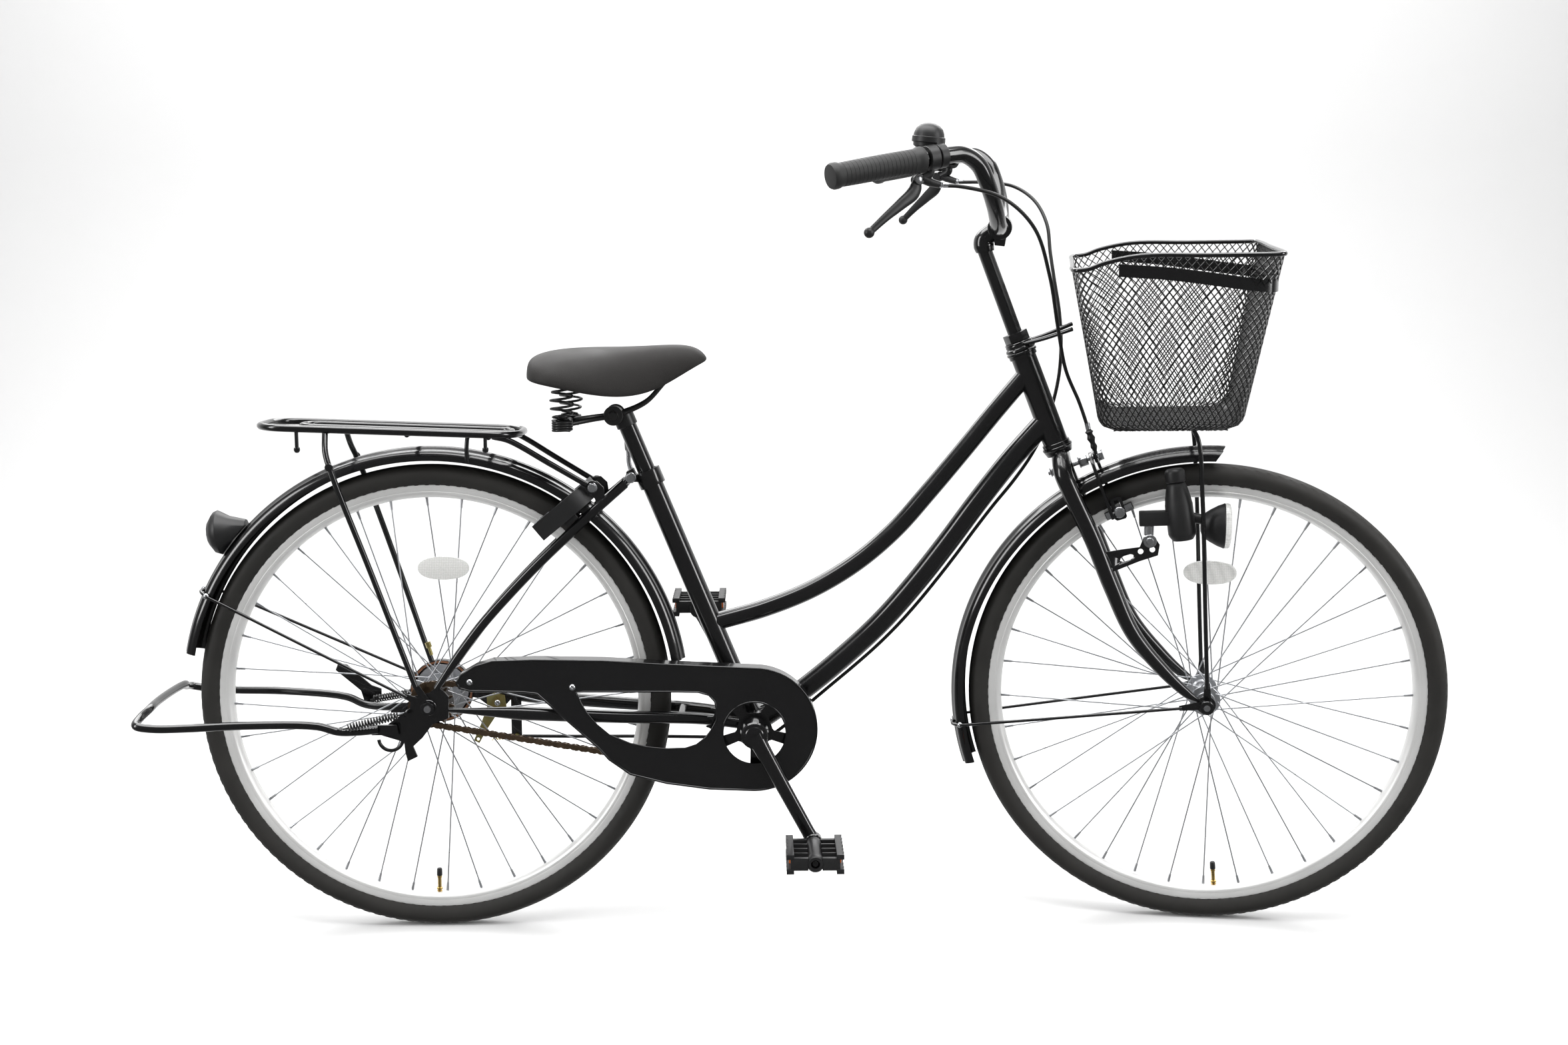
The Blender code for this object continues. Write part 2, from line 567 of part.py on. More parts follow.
def make_rear_rack():
    outer = tube(rounded_loop(0.1280, -0.2260, 0.0620, 0.7035, 0.7165, 0.0420), 0.0050, 5, closed=True)
    inner = tube(rounded_loop(0.1140, -0.1730, 0.0260, 0.7040, 0.7150, 0.0200), 0.0040, 5, closed=True)
    bodies = [outer, inner]
    for x, z in ((0.0900, 0.7010), (-0.0200, 0.7050), (-0.1300, 0.7090)):
        bodies.append(rod((x, -0.0600, z), (x, 0.0600, z), 0.0035, 4))
    for side in (-1, 1):
        leg = smooth([(-0.1300, side * 0.0600, 0.7090), (-0.1265, side * 0.0760, 0.6820),
                      (-0.1160, side * 0.0870, 0.6520), (-0.0700, side * 0.0800, 0.5200),
                      (-0.0300, side * 0.0720, 0.4000), (-0.0165, side * 0.0692, 0.3600)], 6)
        strut = smooth([(0.0950, side * 0.0560, 0.7020), (0.1160, side * 0.0500, 0.6960),
                        (0.1700, side * 0.0440, 0.6640), (0.2200, side * 0.0392, 0.6340)], 3)
        bodies += [tube(leg, 0.0042, 5), tube(strut, 0.0042, 5),
                   eyelet(REAR_AXLE, side * 0.0655, 119, 0.0400),
                   plate([circle(RACK_BOLT.x, RACK_BOLT.z, 0.0095, 8)], 0.0030, side * 0.0363),
                   rod((RACK_BOLT.x, side * 0.0370, RACK_BOLT.z), (RACK_BOLT.x, side * 0.0430, RACK_BOLT.z),
                       0.0062, 6)]
    for x, length in ((0.0860, 0.0200), (-0.1680, 0.0280)):
        z = 0.7165 - (x + 0.226) * 0.0367
        bodies.append(rod((x, -0.0620, z), (x, -0.0620, z - length), 0.0026, 5, 0.0038))
    hook = [Vector((0.0620, -0.0258, 0.7050)), Vector((0.0560, -0.0290, 0.6950)),
            Vector((0.0555, -0.0295, 0.6640))]
    bodies.append(tube(hook, 0.0030, 5))
    piece("rear_rack", fused(*bodies), BLACK_PAINT)


# Chain case
CASE_Y = -0.0612
CASE_HOLE = 0.0440


def make_chain_case():
    front = circle(CRANK_AXIS.x, CRANK_AXIS.z + 0.005, 0.0860, 10, 84, -178)
    outline = [(0.0383, 0.3633), (0.0440, 0.3740), (0.0650, 0.3860), (0.0874, 0.3928), (0.1441, 0.3944),
               (0.3268, 0.3870)] + front
    outline += [(0.3250, 0.2200), (0.2753, 0.2330), (0.2461, 0.2540), (0.2326, 0.2700), (0.1918, 0.3070),
                (0.1486, 0.3476), (0.0560, 0.3520), (0.0420, 0.3560)]
    lens = [(0.2026, 0.3492), (0.2168, 0.3190), (0.2466, 0.2887), (0.2758, 0.2763), (0.3254, 0.2684),
            (0.3672, 0.2740), (0.3880, 0.2950), (0.3960, 0.3200), (0.3850, 0.3440), (0.3400, 0.3486)]
    face = plate([outline, lens, circle(CRANK_AXIS.x, CRANK_AXIS.z, CASE_HOLE, 16)], 0.0016, CASE_Y)
    run = outline[1:6] + front + [(0.3250, 0.2200), (0.2753, 0.2330), (0.2520, 0.2480)]
    inside = []
    for index, point in enumerate(run):
        before = Vector(run[max(index - 1, 0)])
        after = Vector(run[min(index + 1, len(run) - 1)])
        along = (after - before).normalized()
        inside.append((point[0] + along.y * 0.0016, point[1] - along.x * 0.0016))
    wall = plate([run + list(reversed(inside))], 0.0240, CASE_Y + 0.0115)
    piece("chain_case", fused(face, wall), BLACK_PAINT)


# Rear band brake
BRAKE_PIVOT = Vector((0.0790, 0.0, 0.3120))


def make_band_brake():
    housing = turned([(0.0070, 0.0526), (0.0400, 0.0526), (0.0400, 0.0385), (0.0450, 0.0385),
                      (0.0450, 0.0500), (0.0400, 0.0543), (0.0070, 0.0543)][::-1], 12, REAR_AXLE, ring=True)
    axle = rod((0, -0.0780, AXLE_HEIGHT), (0, 0.0780, AXLE_HEIGHT), 0.0050, 8)
    bodies = [housing, axle]
    for side in (-1, 1):
        bodies.append(rod((0, side * 0.0667, AXLE_HEIGHT), (0, side * 0.0745, AXLE_HEIGHT), 0.0098, 6))
    bodies.append(rod((0, 0.0526, AXLE_HEIGHT), (0, 0.0571, AXLE_HEIGHT), 0.0100, 8))
    bodies.append(rod((0, -0.0571, AXLE_HEIGHT), (0, -0.0505, AXLE_HEIGHT), 0.0090, 8))
    bracket = plate([[(0.0410, 0.3410), (0.1130, 0.3350), (0.1130, 0.2620), (0.0980, 0.2560),
                      (0.0980, 0.3160), (0.0870, 0.3040), (0.0700, 0.3040), (0.0520, 0.3180),
                      (0.0425, 0.3200)]], 0.0024, 0.0420)
    pin = rod(BRAKE_PIVOT + Vector((0, 0.0350, 0)), BRAKE_PIVOT + Vector((0, 0.0425, 0)), 0.0032, 6)
    barrel = rod((0.1060, 0.0380, 0.2620), (0.1060, 0.0470, 0.2620), 0.0045, 8)
    piece("band_brake", fused(*bodies, bracket, pin, barrel), STEEL)
    arm = plate([[(0.0900, 0.3230), (0.0920, 0.3060), (0.0780, 0.2950), (0.0640, 0.2740),
                  (0.0520, 0.2530), (0.0440, 0.2570), (0.0540, 0.2790), (0.0640, 0.3060),
                  (0.0640, 0.3200), (0.0750, 0.3270)],
                 circle(BRAKE_PIVOT.x, BRAKE_PIVOT.z, 0.0042, 8)], 0.0024, 0.0388)
    piece("rear_brake_arm", arm, ZINC, BRAKE_PIVOT + Vector((0, 0.0388, 0)))


# Ring lock
LOCK_FOOT = Vector((0.1536, 0.0, 0.5670))
LOCK_ALONG = Vector((0.768, 0.0, 0.640)).normalized()
LOCK_UP = Vector((-LOCK_ALONG.z, 0.0, LOCK_ALONG.x))
LOCK_RING = 0.0460
LOCK_CENTRE = 0.0420
LOCK_RING_LEVEL = -0.0045


def lock_place(level):
    """The lock's plane: X along the seat stay, Y across the bike, Z up."""
    place = Matrix.Identity(4)
    place.col[0][:3] = LOCK_ALONG
    place.col[1][:3] = (0, 1, 0)
    place.col[2][:3] = LOCK_UP
    place.translation = LOCK_FOOT + LOCK_UP * level
    return place


def lock_arch(half_width, reach, foot_half_width, steps):
    arch = [(0.045 + reach * math.sin(angle), half_width * math.cos(angle))
            for angle in (math.pi * index / (steps - 1) for index in range(steps))]
    return [(0.0, foot_half_width)] + arch + [(0.0, -foot_half_width)]


def make_ring_lock():
    shape = lock_arch(0.0520, 0.0540, 0.0500, 9) + list(reversed(lock_arch(0.0312, 0.0392, 0.0330, 7)))
    case = plate([shape], 0.0250, place=lock_place(0.0015))
    channel = plate([circle(LOCK_CENTRE, 0, LOCK_RING + 0.0040, 20),
                     circle(LOCK_CENTRE, 0, LOCK_RING - 0.0040, 20)],
                    0.0080, place=lock_place(LOCK_RING_LEVEL))
    case = cut(case, channel)
    feet = []
    for side in (-1, 1):
        place = lock_place(-0.0141) @ Matrix.Translation((0.0450, side * 0.0405, 0))
        feet.append(moved(block((0, 0, 0), (0.0200, 0.0100, 0.0072)), place))
    piece("ring_lock", fused(case, *feet), PLASTIC)
    place = lock_place(LOCK_RING_LEVEL)
    bar = [place @ Vector((LOCK_CENTRE - LOCK_RING * math.cos(angle), LOCK_RING * math.sin(angle), 0))
           for angle in (math.radians(48.0 + 112.0 * index / 9) for index in range(10))]
    piece("ring_lock_bolt", tube(bar, 0.0032, 6), STEEL, place @ Vector((LOCK_CENTRE, 0, 0)))


# Kickstand
STAND_Y = 0.0655
LOCK_LEVER_Y = 0.1012


def make_kickstand():
    side = [(-0.0700, -0.0692, 0.3000), (-0.0950, -0.0750, 0.2990), (-0.1209, -0.0830, 0.3010),
            (-0.1478, -0.0900, 0.3105), (-0.2400, -0.1060, 0.3160), (-0.3200, -0.1180, 0.3155),
            (-0.3600, -0.1250, 0.3170), (-0.3815, -0.1240, 0.3206), (-0.3860, -0.1000, 0.3260),
            (-0.3780, -0.0800, 0.3330), (-0.3800, -0.0400, 0.3345)]
    route = [Vector(point) for point in side]
    route += [Vector((point.x, -point.y, point.z)) for point in reversed(route)]
    legs = tube(smooth(route, 20), 0.0058, 6)
    bodies = [legs]
    for sign in (-1, 1):
        bracket = plate([[(-0.0790, 0.2920), (-0.0800, 0.3060), (-0.0440, 0.3065), (-0.0420, 0.2920)]],
                        0.0045, sign * (STAND_Y + 0.0012))
        pin = rod(STAND_PIVOT + Vector((0, sign * 0.0570, 0)), STAND_PIVOT + Vector((0, sign * 0.0675, 0)),
                  0.0036, 6)
        hook = rod(STAND_HOOK + Vector((0, sign * 0.0820, 0)), STAND_HOOK + Vector((0, sign * 0.0960, 0)),
                   0.0028, 6)
        bodies += [bracket, pin, hook]
    bodies.append(rod(STAND_HOOK + Vector((0, 0.0900, 0)), STAND_HOOK + Vector((0, 0.0994, 0)), 0.0040, 6))
    piece("kickstand", fused(*bodies), BLACK_PAINT, STAND_PIVOT)
    lever = plate([[(-0.0990, 0.3120), (-0.1050, 0.3030), (-0.1130, 0.2985), (-0.1240, 0.3000),
                    (-0.1290, 0.3170), (-0.1650, 0.3480), (-0.1610, 0.3580), (-0.1480, 0.3560),
                    (-0.1130, 0.3250), (-0.0990, 0.3200)]], 0.0030, LOCK_LEVER_Y)
    piece("stand_lock_lever", lever, BLACK_PAINT, STAND_HOOK + Vector((0, LOCK_LEVER_Y, 0)))


def coil(start, end, radius, wire, curls, per_curl=7, sides=5):
    """A coil spring between two points, with straight ends; prints its least gap to itself."""
    start = Vector(start)
    end = Vector(end)
    axis = (end - start).normalized()
    across = axis.orthogonal().normalized()
    up = axis.cross(across)
    lead = wire * 2
    run = (end - start).length - 2 * lead
    points = [start]
    for index in range(curls * per_curl + 1):
        angle = 2 * math.pi * index / per_curl
        points.append(start + axis * (lead + run * index / (curls * per_curl))
                      + (across * math.cos(angle) + up * math.sin(angle)) * radius)
    points.append(end)
    return tube(points, wire, sides)


def make_stand_springs():
    for name, side in (("stand_spring_right", -1), ("stand_spring_left", 1)):
        rear = STAND_HOOK + Vector((0, side * 0.0900, 0))
        front = SPRING_HOOK + Vector((0, side * 0.0720, 0))
        clear = (front - rear).normalized() * 0.0048
        spring = coil(rear + clear, front - clear, 0.0052, 0.0011, 4)
        piece(name, spring, STEEL)


make_main_frame()
right_seat_stay = make_seat_stay()
left_seat_stay = mirrored(right_seat_stay)
piece("seat_stay_right", right_seat_stay, BLACK_PAINT)
piece("seat_stay_left", left_seat_stay, BLACK_PAINT)
make_seat_clamp()
make_rear_fender()
make_tail_reflector()
make_rear_rack()
make_chain_case()
make_band_brake()
make_ring_lock()
make_kickstand()
make_stand_springs()


# Seat
def make_seat_post():
    body = rod(SEAT_TUBE_TOP - SEAT_AXIS * 0.130, SEAT_POST_TOP, 0.0126, 12)
    piece("seat_post", body, BLACK_PAINT, SEAT_TUBE_TOP)


def make_saddle():
    """Rings across the saddle from its tail to its nose: x, half width, top and lower edge."""
    stations = [(0.1425, 0.052, 0.7960, 0.7840), (0.1520, 0.086, 0.8080, 0.7735),
                (0.1720, 0.102, 0.8165, 0.7665), (0.2000, 0.106, 0.8200, 0.7605),
                (0.2300, 0.096, 0.8212, 0.7530), (0.2600, 0.076, 0.8215, 0.7480),
                (0.2900, 0.055, 0.8222, 0.7485), (0.3200, 0.040, 0.8235, 0.7580),
                (0.3500, 0.032, 0.8240, 0.7770), (0.3700, 0.027, 0.8190, 0.7900),
                (0.3820, 0.017, 0.8080, 0.7985)]
    bm = bmesh.new()
    rings = []
    for x, half, top, low in stations:
        ring = []
        for angle in (0, 28, 54, 78, 96):
            bulge = math.radians(angle)
            ring.append((half * math.sin(bulge) ** 0.85, low + (top - low) * max(math.cos(bulge), 0) ** 0.8))
        ring += [(half * 0.80, low + 0.006), (0.0, low + 0.35 * (top - low))]
        points = [(x, y, z) for y, z in ring] + [(x, -y, z) for y, z in reversed(ring[1:-1])]
        rings.append([bm.verts.new(point) for point in points])
    for first, second in zip(rings, rings[1:]):
        for index in range(len(first)):
            following = (index + 1) % len(first)
            bm.faces.new((first[index], first[following], second[following], second[index]))
    bm.faces.new(rings[0])
    bm.faces.new(rings[-1])
    bmesh.ops.triangulate(bm, faces=bm.faces)
    piece("saddle", from_bmesh(bm), VINYL, SEAT_TUBE_TOP)


SADDLE_CLAMP = Vector((0.2560, 0.0, 0.7270))


def make_saddle_frame():
    """Clamp on the seat post, two rails under the saddle and the bar that carries the springs."""
    clamp = rod(SADDLE_CLAMP + Vector((0, -0.0250, 0)), SADDLE_CLAMP + Vector((0, 0.0250, 0)), 0.0135, 10)
    sleeve = rod(SEAT_POST_TOP + SEAT_AXIS * GAP, SEAT_POST_TOP + SEAT_AXIS * 0.0200, 0.0150, 10)
    bar = rod((0.1900, -0.0700, 0.7160), (0.1900, 0.0700, 0.7160), 0.0055, 6)
    bodies = [clamp, sleeve, bar]
    for side in (-1, 1):
        rail = smooth([(0.1900, side * 0.0520, 0.7165), (0.2250, side * 0.0280, 0.7220),
                       (0.2600, side * 0.0190, 0.7280), (0.3000, side * 0.0150, 0.7450),
                       (0.3350, side * 0.0120, 0.7770), (0.3500, side * 0.0100, 0.7820)], 7)
        bodies.append(tube(rail, 0.0035, 5))
        bodies.append(rod((0.1900, side * 0.0600, 0.7140), (0.1900, side * 0.0600, 0.7225), 0.0155, 7))
        bodies.append(coil((0.1900, side * 0.0600, 0.7195), (0.1900, side * 0.0600, 0.7690),
                           0.0140, 0.0018, 3))
    bodies.append(rod((0.3490, -0.0130, 0.7820), (0.3490, 0.0130, 0.7820), 0.0040, 6))
    piece("saddle_frame", fused(*bodies), STEEL, SEAT_TUBE_TOP)


# Crank set
PEDAL_DROP = Vector((math.sin(CRANK_LEAN), 0, -math.cos(CRANK_LEAN))) * CRANK_LENGTH
RIGHT_PEDAL = CRANK_AXIS + PEDAL_DROP
LEFT_PEDAL = CRANK_AXIS - PEDAL_DROP


def toothed_plate(centre, teeth, phase, inner, thickness, y):
    """A sprocket whose teeth stand between the rollers of the chain."""
    pitch_radius = CHAIN_PITCH / (2 * math.sin(math.pi / teeth))
    step = 2 * math.pi / teeth
    outline = []
    for index in range(teeth):
        for share, radius in ((-0.24, pitch_radius - 0.0046), (0.0, pitch_radius + 0.0036),
                              (0.24, pitch_radius - 0.0046)):
            angle = phase + (index + share) * step
            outline.append((centre.x + radius * math.cos(angle), centre.z + radius * math.sin(angle)))
    return plate([outline] + inner, thickness, y)


def chain_geometry():
    """Pitch radii of both sprockets, the line between their centres and its tangents."""
    large = CHAIN_PITCH / (2 * math.sin(math.pi / CHAINRING_TEETH))
    small = CHAIN_PITCH / (2 * math.sin(math.pi / SPROCKET_TEETH))
    between = REAR_AXLE - CRANK_AXIS
    lean = math.atan2(between.z, between.x)
    spread = math.acos((large - small) / between.length)
    return large, small, lean, spread


def chain_route(offset=0.0):
    """Corners of the chain's loop in the XZ plane, moved outwards by offset."""
    large, small, lean, spread = chain_geometry()
    places = []
    arcs = ((CRANK_AXIS, large, lean + spread, lean + 2 * math.pi - spread),
            (REAR_AXLE, small, lean - spread, lean + spread))
    for centre, radius, start, end in arcs:
        turn = end - start
        steps = max(2, round(radius * turn / CHAIN_PITCH))
        for index in range(steps + 1):
            angle = start + turn * index / steps
            reach = radius + offset
            places.append((centre.x + reach * math.cos(angle), centre.z + reach * math.sin(angle)))
    return places


def make_crank_right():
    holes = []
    for index in range(5):
        middle = math.radians(20 + 72 * index)
        holes.append([(CRANK_AXIS.x + radius * math.cos(middle + swing),
                       CRANK_AXIS.z + radius * math.sin(middle + swing))
                      for radius, swing in ((0.0270, -0.36), (0.0540, -0.44), (0.0550, 0.0),
                                            (0.0540, 0.44), (0.0270, 0.36))])
    lean = chain_geometry()[2]
    ring = toothed_plate(CRANK_AXIS, CHAINRING_TEETH, lean + math.pi, holes, 0.0026, CHAIN_LINE)
    boss = rod(CRANK_AXIS + Vector((0, -0.0400, 0)), CRANK_AXIS + Vector((0, -0.0780, 0)), 0.0200, 12, 0.0170)
    arm = tube([CRANK_AXIS + Vector((0, -0.0715, 0)), CRANK_AXIS + PEDAL_DROP * 0.5 + Vector((0, -0.0745, 0)),
                RIGHT_PEDAL + Vector((0, -0.0790, 0))], 0.0100, 7, radii=[1.1, 0.95, 0.9])
    end = rod(RIGHT_PEDAL + Vector((0, -0.0710, 0)), RIGHT_PEDAL + Vector((0, -0.0870, 0)), 0.0125, 10)
    spindle = rod(RIGHT_PEDAL + Vector((0, -0.0800, 0)), RIGHT_PEDAL + Vector((0, -0.1780, 0)), 0.0046, 6)
    bore = rod(CRANK_AXIS + Vector((0, -0.0300, 0)), CRANK_AXIS + Vector((0, -0.0690, 0)), 0.0094, 8)
    body = cut(fused(ring, boss, arm, end, spindle), bore)
    piece("crank_right", body, BLACK_PAINT, CRANK_AXIS)


def make_crank_left():
    axle = rod(CRANK_AXIS + Vector((0, -0.0660, 0)), CRANK_AXIS + Vector((0, 0.0700, 0)), 0.0082, 8)
    boss = rod(CRANK_AXIS + Vector((0, 0.0400, 0)), CRANK_AXIS + Vector((0, 0.0780, 0)), 0.0165, 12)
    arm = tube([CRANK_AXIS + Vector((0, 0.0700, 0)), CRANK_AXIS - PEDAL_DROP * 0.5 + Vector((0, 0.0745, 0)),
                LEFT_PEDAL + Vector((0, 0.0790, 0))], 0.0100, 7, radii=[1.1, 0.95, 0.9])
    end = rod(LEFT_PEDAL + Vector((0, 0.0710, 0)), LEFT_PEDAL + Vector((0, 0.0870, 0)), 0.0125, 10)
    spindle = rod(LEFT_PEDAL + Vector((0, 0.0800, 0)), LEFT_PEDAL + Vector((0, 0.1780, 0)), 0.0046, 6)
    piece("crank_left", fused(axle, boss, arm, end, spindle), BLACK_PAINT, CRANK_AXIS)


def make_pedal(name, centre, side):
    """A platform pedal: barrel, two end cheeks and two treads with saw-tooth edges."""
    middle = centre + Vector((0, side * 0.1360, 0))
    barrel = rod(middle + Vector((0, -0.0450, 0)), middle + Vector((0, 0.0450, 0)), 0.0115, 8)
    bodies = [barrel]
    for end in (-1, 1):
        bodies.append(block(middle + Vector((0, end * 0.0410, 0)), (0.0640, 0.0070, 0.0180)))
        teeth = []
        for index in range(4):
            y = -0.0450 + 0.0900 * index / 3
            teeth.append((end * 0.0385, y))
            if index < 3:
                teeth.append((end * 0.0345, y + 0.0150))
        outline = teeth + [(end * 0.0270, 0.0450), (end * 0.0270, -0.0450)]
        place = Matrix.Translation(middle)
        bodies.append(plate([outline], 0.0270, place=place))
    bore = rod(middle + Vector((0, -0.0600, 0)), middle + Vector((0, 0.0600, 0)), 0.0060, 8)
    piece(name, cut(fused(*bodies), bore), PLASTIC, centre)


def make_rear_sprocket():
    bore = circle(REAR_AXLE.x, REAR_AXLE.z, 0.0100, 10)
    ring = toothed_plate(REAR_AXLE, SPROCKET_TEETH, chain_geometry()[2], [bore], 0.0026, CHAIN_LINE)
    wheel = turned([(0.0075, -0.0355), (0.0190, -0.0355), (0.0190, -0.0440), (0.0160, -0.0480),
                    (0.0075, -0.0480)], 10, REAR_AXLE, ring=True)
    piece("rear_sprocket", fused(ring, wheel), CHAIN_STEEL, REAR_AXLE)


def make_chain():
    """The chain's band with a window between each two rollers where its links show or are engaged."""
    large, small, lean, spread = chain_geometry()
    half_height = 0.0040
    width = 0.0084
    band = plate([chain_route(half_height), chain_route(-half_height)], width, CHAIN_LINE)
    windows = []
    for centre, teeth, middle, count in ((CRANK_AXIS, CHAINRING_TEETH, lean + math.pi, 21),
                                         (REAR_AXLE, SPROCKET_TEETH, lean, 9)):
        radius = CHAIN_PITCH / (2 * math.sin(math.pi / teeth))
        for index in range(count):
            angle = middle + (index - (count - 1) / 2 + (0.0 if count % 2 else 0.5)) * 2 * math.pi / teeth
            place = (Matrix.Translation(centre + Vector((0, CHAIN_LINE, 0))) @ Matrix.Rotation(-angle, 4, "Y")
                     @ Matrix.Translation((radius, 0, 0)))
            windows.append(moved(block((0, 0, 0), (0.0180, 0.0036, 0.0064)), place))
    top = REAR_AXLE + Vector((math.cos(lean - spread), 0, math.sin(lean - spread))) * small
    start = REAR_AXLE + Vector((math.cos(lean + spread), 0, math.sin(lean + spread))) * small
    finish = CRANK_AXIS + Vector((math.cos(lean + spread), 0, math.sin(lean + spread))) * large
    if start.z > top.z:
        start = top
        finish = CRANK_AXIS + Vector((math.cos(lean - spread), 0, math.sin(lean - spread))) * large
    along = (finish - start).normalized()
    for index in range(5):
        centre = start + along * CHAIN_PITCH * (index + 1.68) + Vector((0, CHAIN_LINE, 0))
        turn = Matrix.Rotation(-math.atan2(along.z, along.x), 4, "Y")
        windows.append(block(centre, (0.0062, 0.0036, 0.0140), turn))
    bpy.ops.object.select_all(action="DESELECT")
    for window in windows:
        window.select_set(True)
    bpy.context.view_layer.objects.active = windows[0]
    bpy.ops.object.join()
    piece("chain", cut(band, windows[0]), CHAIN_STEEL)


# Steering assembly, drawn straight ahead
STEM_TOP = Vector((0.7640, 0.0, 0.9560))
BAR_CENTRE = Vector((0.7870, 0.0, 0.9816))
BAR_RADIUS = 0.0110
GRIP_START = Vector((0.6970, -0.1970, 1.0735))
GRIP_END = Vector((0.5870, -0.2755, 1.0530))
GRIP_AXIS = (GRIP_END - GRIP_START).normalized()
CALIPER_PIVOT = Vector((0.9150, 0.0, 0.6637))
CALIPER_AXIS = Vector((STEER_AXIS.z, 0.0, -STEER_AXIS.x))
LAMP_PIVOT = Vector((0.9993, -0.0440, 0.5600))
PAD_CENTRE = Vector((0.9571, 0.0, 0.5943))


def make_fork():
    crown_top = HEAD_BOTTOM - STEER_AXIS * 0.0004
    steerer = rod(crown_top - STEER_AXIS * 0.0200, HEAD_TOP + STEER_AXIS * 0.0262, 0.0125, 10)
    race = rod(crown_top - STEER_AXIS * 0.0080, crown_top, 0.0185, 10, 0.0205)
    upper_cup = rod(HEAD_TOP + STEER_AXIS * 0.0004, HEAD_TOP + STEER_AXIS * 0.0120, 0.0210, 10, 0.0180)
    lock_nut = rod(HEAD_TOP + STEER_AXIS * 0.0115, HEAD_TOP + STEER_AXIS * 0.0260, 0.0175, 6)
    bodies = [steerer, race, upper_cup, lock_nut]
    for side in (-1, 1):
        blade = smooth([(0.8760, side * 0.0010, 0.6660), (0.8760, side * 0.0230, 0.6640),
                        (0.8795, side * 0.0390, 0.6480), (0.8900, side * 0.0425, 0.6240),
                        (0.9217, side * 0.0440, 0.5581), (0.9487, side * 0.0455, 0.4929),
                        (0.9795, side * 0.0475, 0.4274), (1.0219, side * 0.0500, 0.3763),
                        (1.0560, side * 0.0518, 0.3450)], 9) + [Vector((1.0735, side * 0.0522, 0.3343))]
        radii = [1.0, 1.02, 1.02, 1.0, 0.98, 0.95, 0.86, 0.74, 0.55, 0.16]
        bodies.append(tube(blade, 0.0125, 7, radii=radii))
        end = plate([circle(FRONT_AXLE.x, FRONT_AXLE.z, 0.0130, 10),
                     circle(FRONT_AXLE.x, FRONT_AXLE.z, 0.0057, 8)],
                    0.0044, side * 0.0522)
        bodies.append(end)
    plate_outline = [(0.9400, 0.5420), (0.9600, 0.5460), (0.9850, 0.5500), (0.9900, 0.5640), (1.0040, 0.5660),
                     (1.0120, 0.5540), (1.0100, 0.5330), (0.9850, 0.5260), (0.9400, 0.5080)]
    slot = [(0.9600, 0.5290), (0.9650, 0.5350), (0.9760, 0.5380), (0.9790, 0.5330), (0.9720, 0.5280),
            (0.9630, 0.5250)]
    bodies.append(plate([plate_outline, slot], 0.0026, -0.0480))
    bolt = rod(CALIPER_PIVOT - CALIPER_AXIS * 0.0600, CALIPER_PIVOT + CALIPER_AXIS * 0.0150, 0.0030, 6)
    nut = rod(CALIPER_PIVOT - CALIPER_AXIS * 0.0570, CALIPER_PIVOT - CALIPER_AXIS * 0.0480, 0.0060, 6)
    cap = rod(CALIPER_PIVOT + CALIPER_AXIS * 0.0116, CALIPER_PIVOT + CALIPER_AXIS * 0.0170, 0.0070, 6)
    lug = rod((0.8740, 0, 0.6712), Vector((0.8740, 0, 0.6712)) - STEER_AXIS * 0.0330, 0.0090, 8)
    bodies += [lug, bolt, nut, cap]
    for side in (-1, 1):
        bracket = smooth([(0.8180, side * 0.0120, 0.8230), (0.8480, side * 0.0240, 0.8320),
                          (0.8870, side * 0.0420, 0.8470)], 3)
        bodies.append(tube(bracket, 0.0030, 5))
    quill_bore = rod(HEAD_TOP - STEER_AXIS * 0.0400, HEAD_TOP + STEER_AXIS * 0.0400, 0.0110, 10)
    piece("fork", cut(fused(*bodies), quill_bore), BLACK_PAINT, HEAD_BOTTOM, STEERING)


def make_stem():
    shaft = rod(HEAD_TOP - STEER_AXIS * 0.0380, STEM_TOP, 0.0101, 10)
    bend = [STEM_TOP - STEER_AXIS * 0.0080, STEM_TOP + Vector((0.0010, 0, 0.0080)), BAR_CENTRE]
    neck = tube(smooth(bend, 5), 0.0135, 8, radii=[0.9, 1.0, 1.0, 0.95, 0.9])
    clamp = rod(BAR_CENTRE + Vector((0, -0.0190, 0)), BAR_CENTRE + Vector((0, 0.0190, 0)), 0.0165, 10)
    bolt = rod(BAR_CENTRE + Vector((-0.0020, 0, -0.0240)), BAR_CENTRE + Vector((-0.0020, 0, -0.0140)),
               0.0060, 6)
    bore = rod(BAR_CENTRE + Vector((0, -0.0400, 0)), BAR_CENTRE + Vector((0, 0.0400, 0)), 0.0122, 8)
    piece("stem", cut(fused(shaft, neck, clamp, bolt), bore), BLACK_PAINT, HEAD_BOTTOM, STEERING)


def make_handlebar():
    right = smooth([BAR_CENTRE + Vector((0, -0.0300, 0)), (0.7862, -0.0700, 0.9900),
                    (0.7830, -0.1080, 1.0130), (0.7740, -0.1350, 1.0430), (0.7630, -0.1460, 1.0660),
                    (0.7450, -0.1600, 1.0790), GRIP_START - GRIP_AXIS * 0.0340], 9)
    right.append(GRIP_END - GRIP_AXIS * 0.0080)
    left = [Vector((point.x, -point.y, point.z)) for point in right]
    piece("handlebar", tube(list(reversed(left)) + right, BAR_RADIUS, 8), BLACK_PAINT, HEAD_BOTTOM, STEERING)


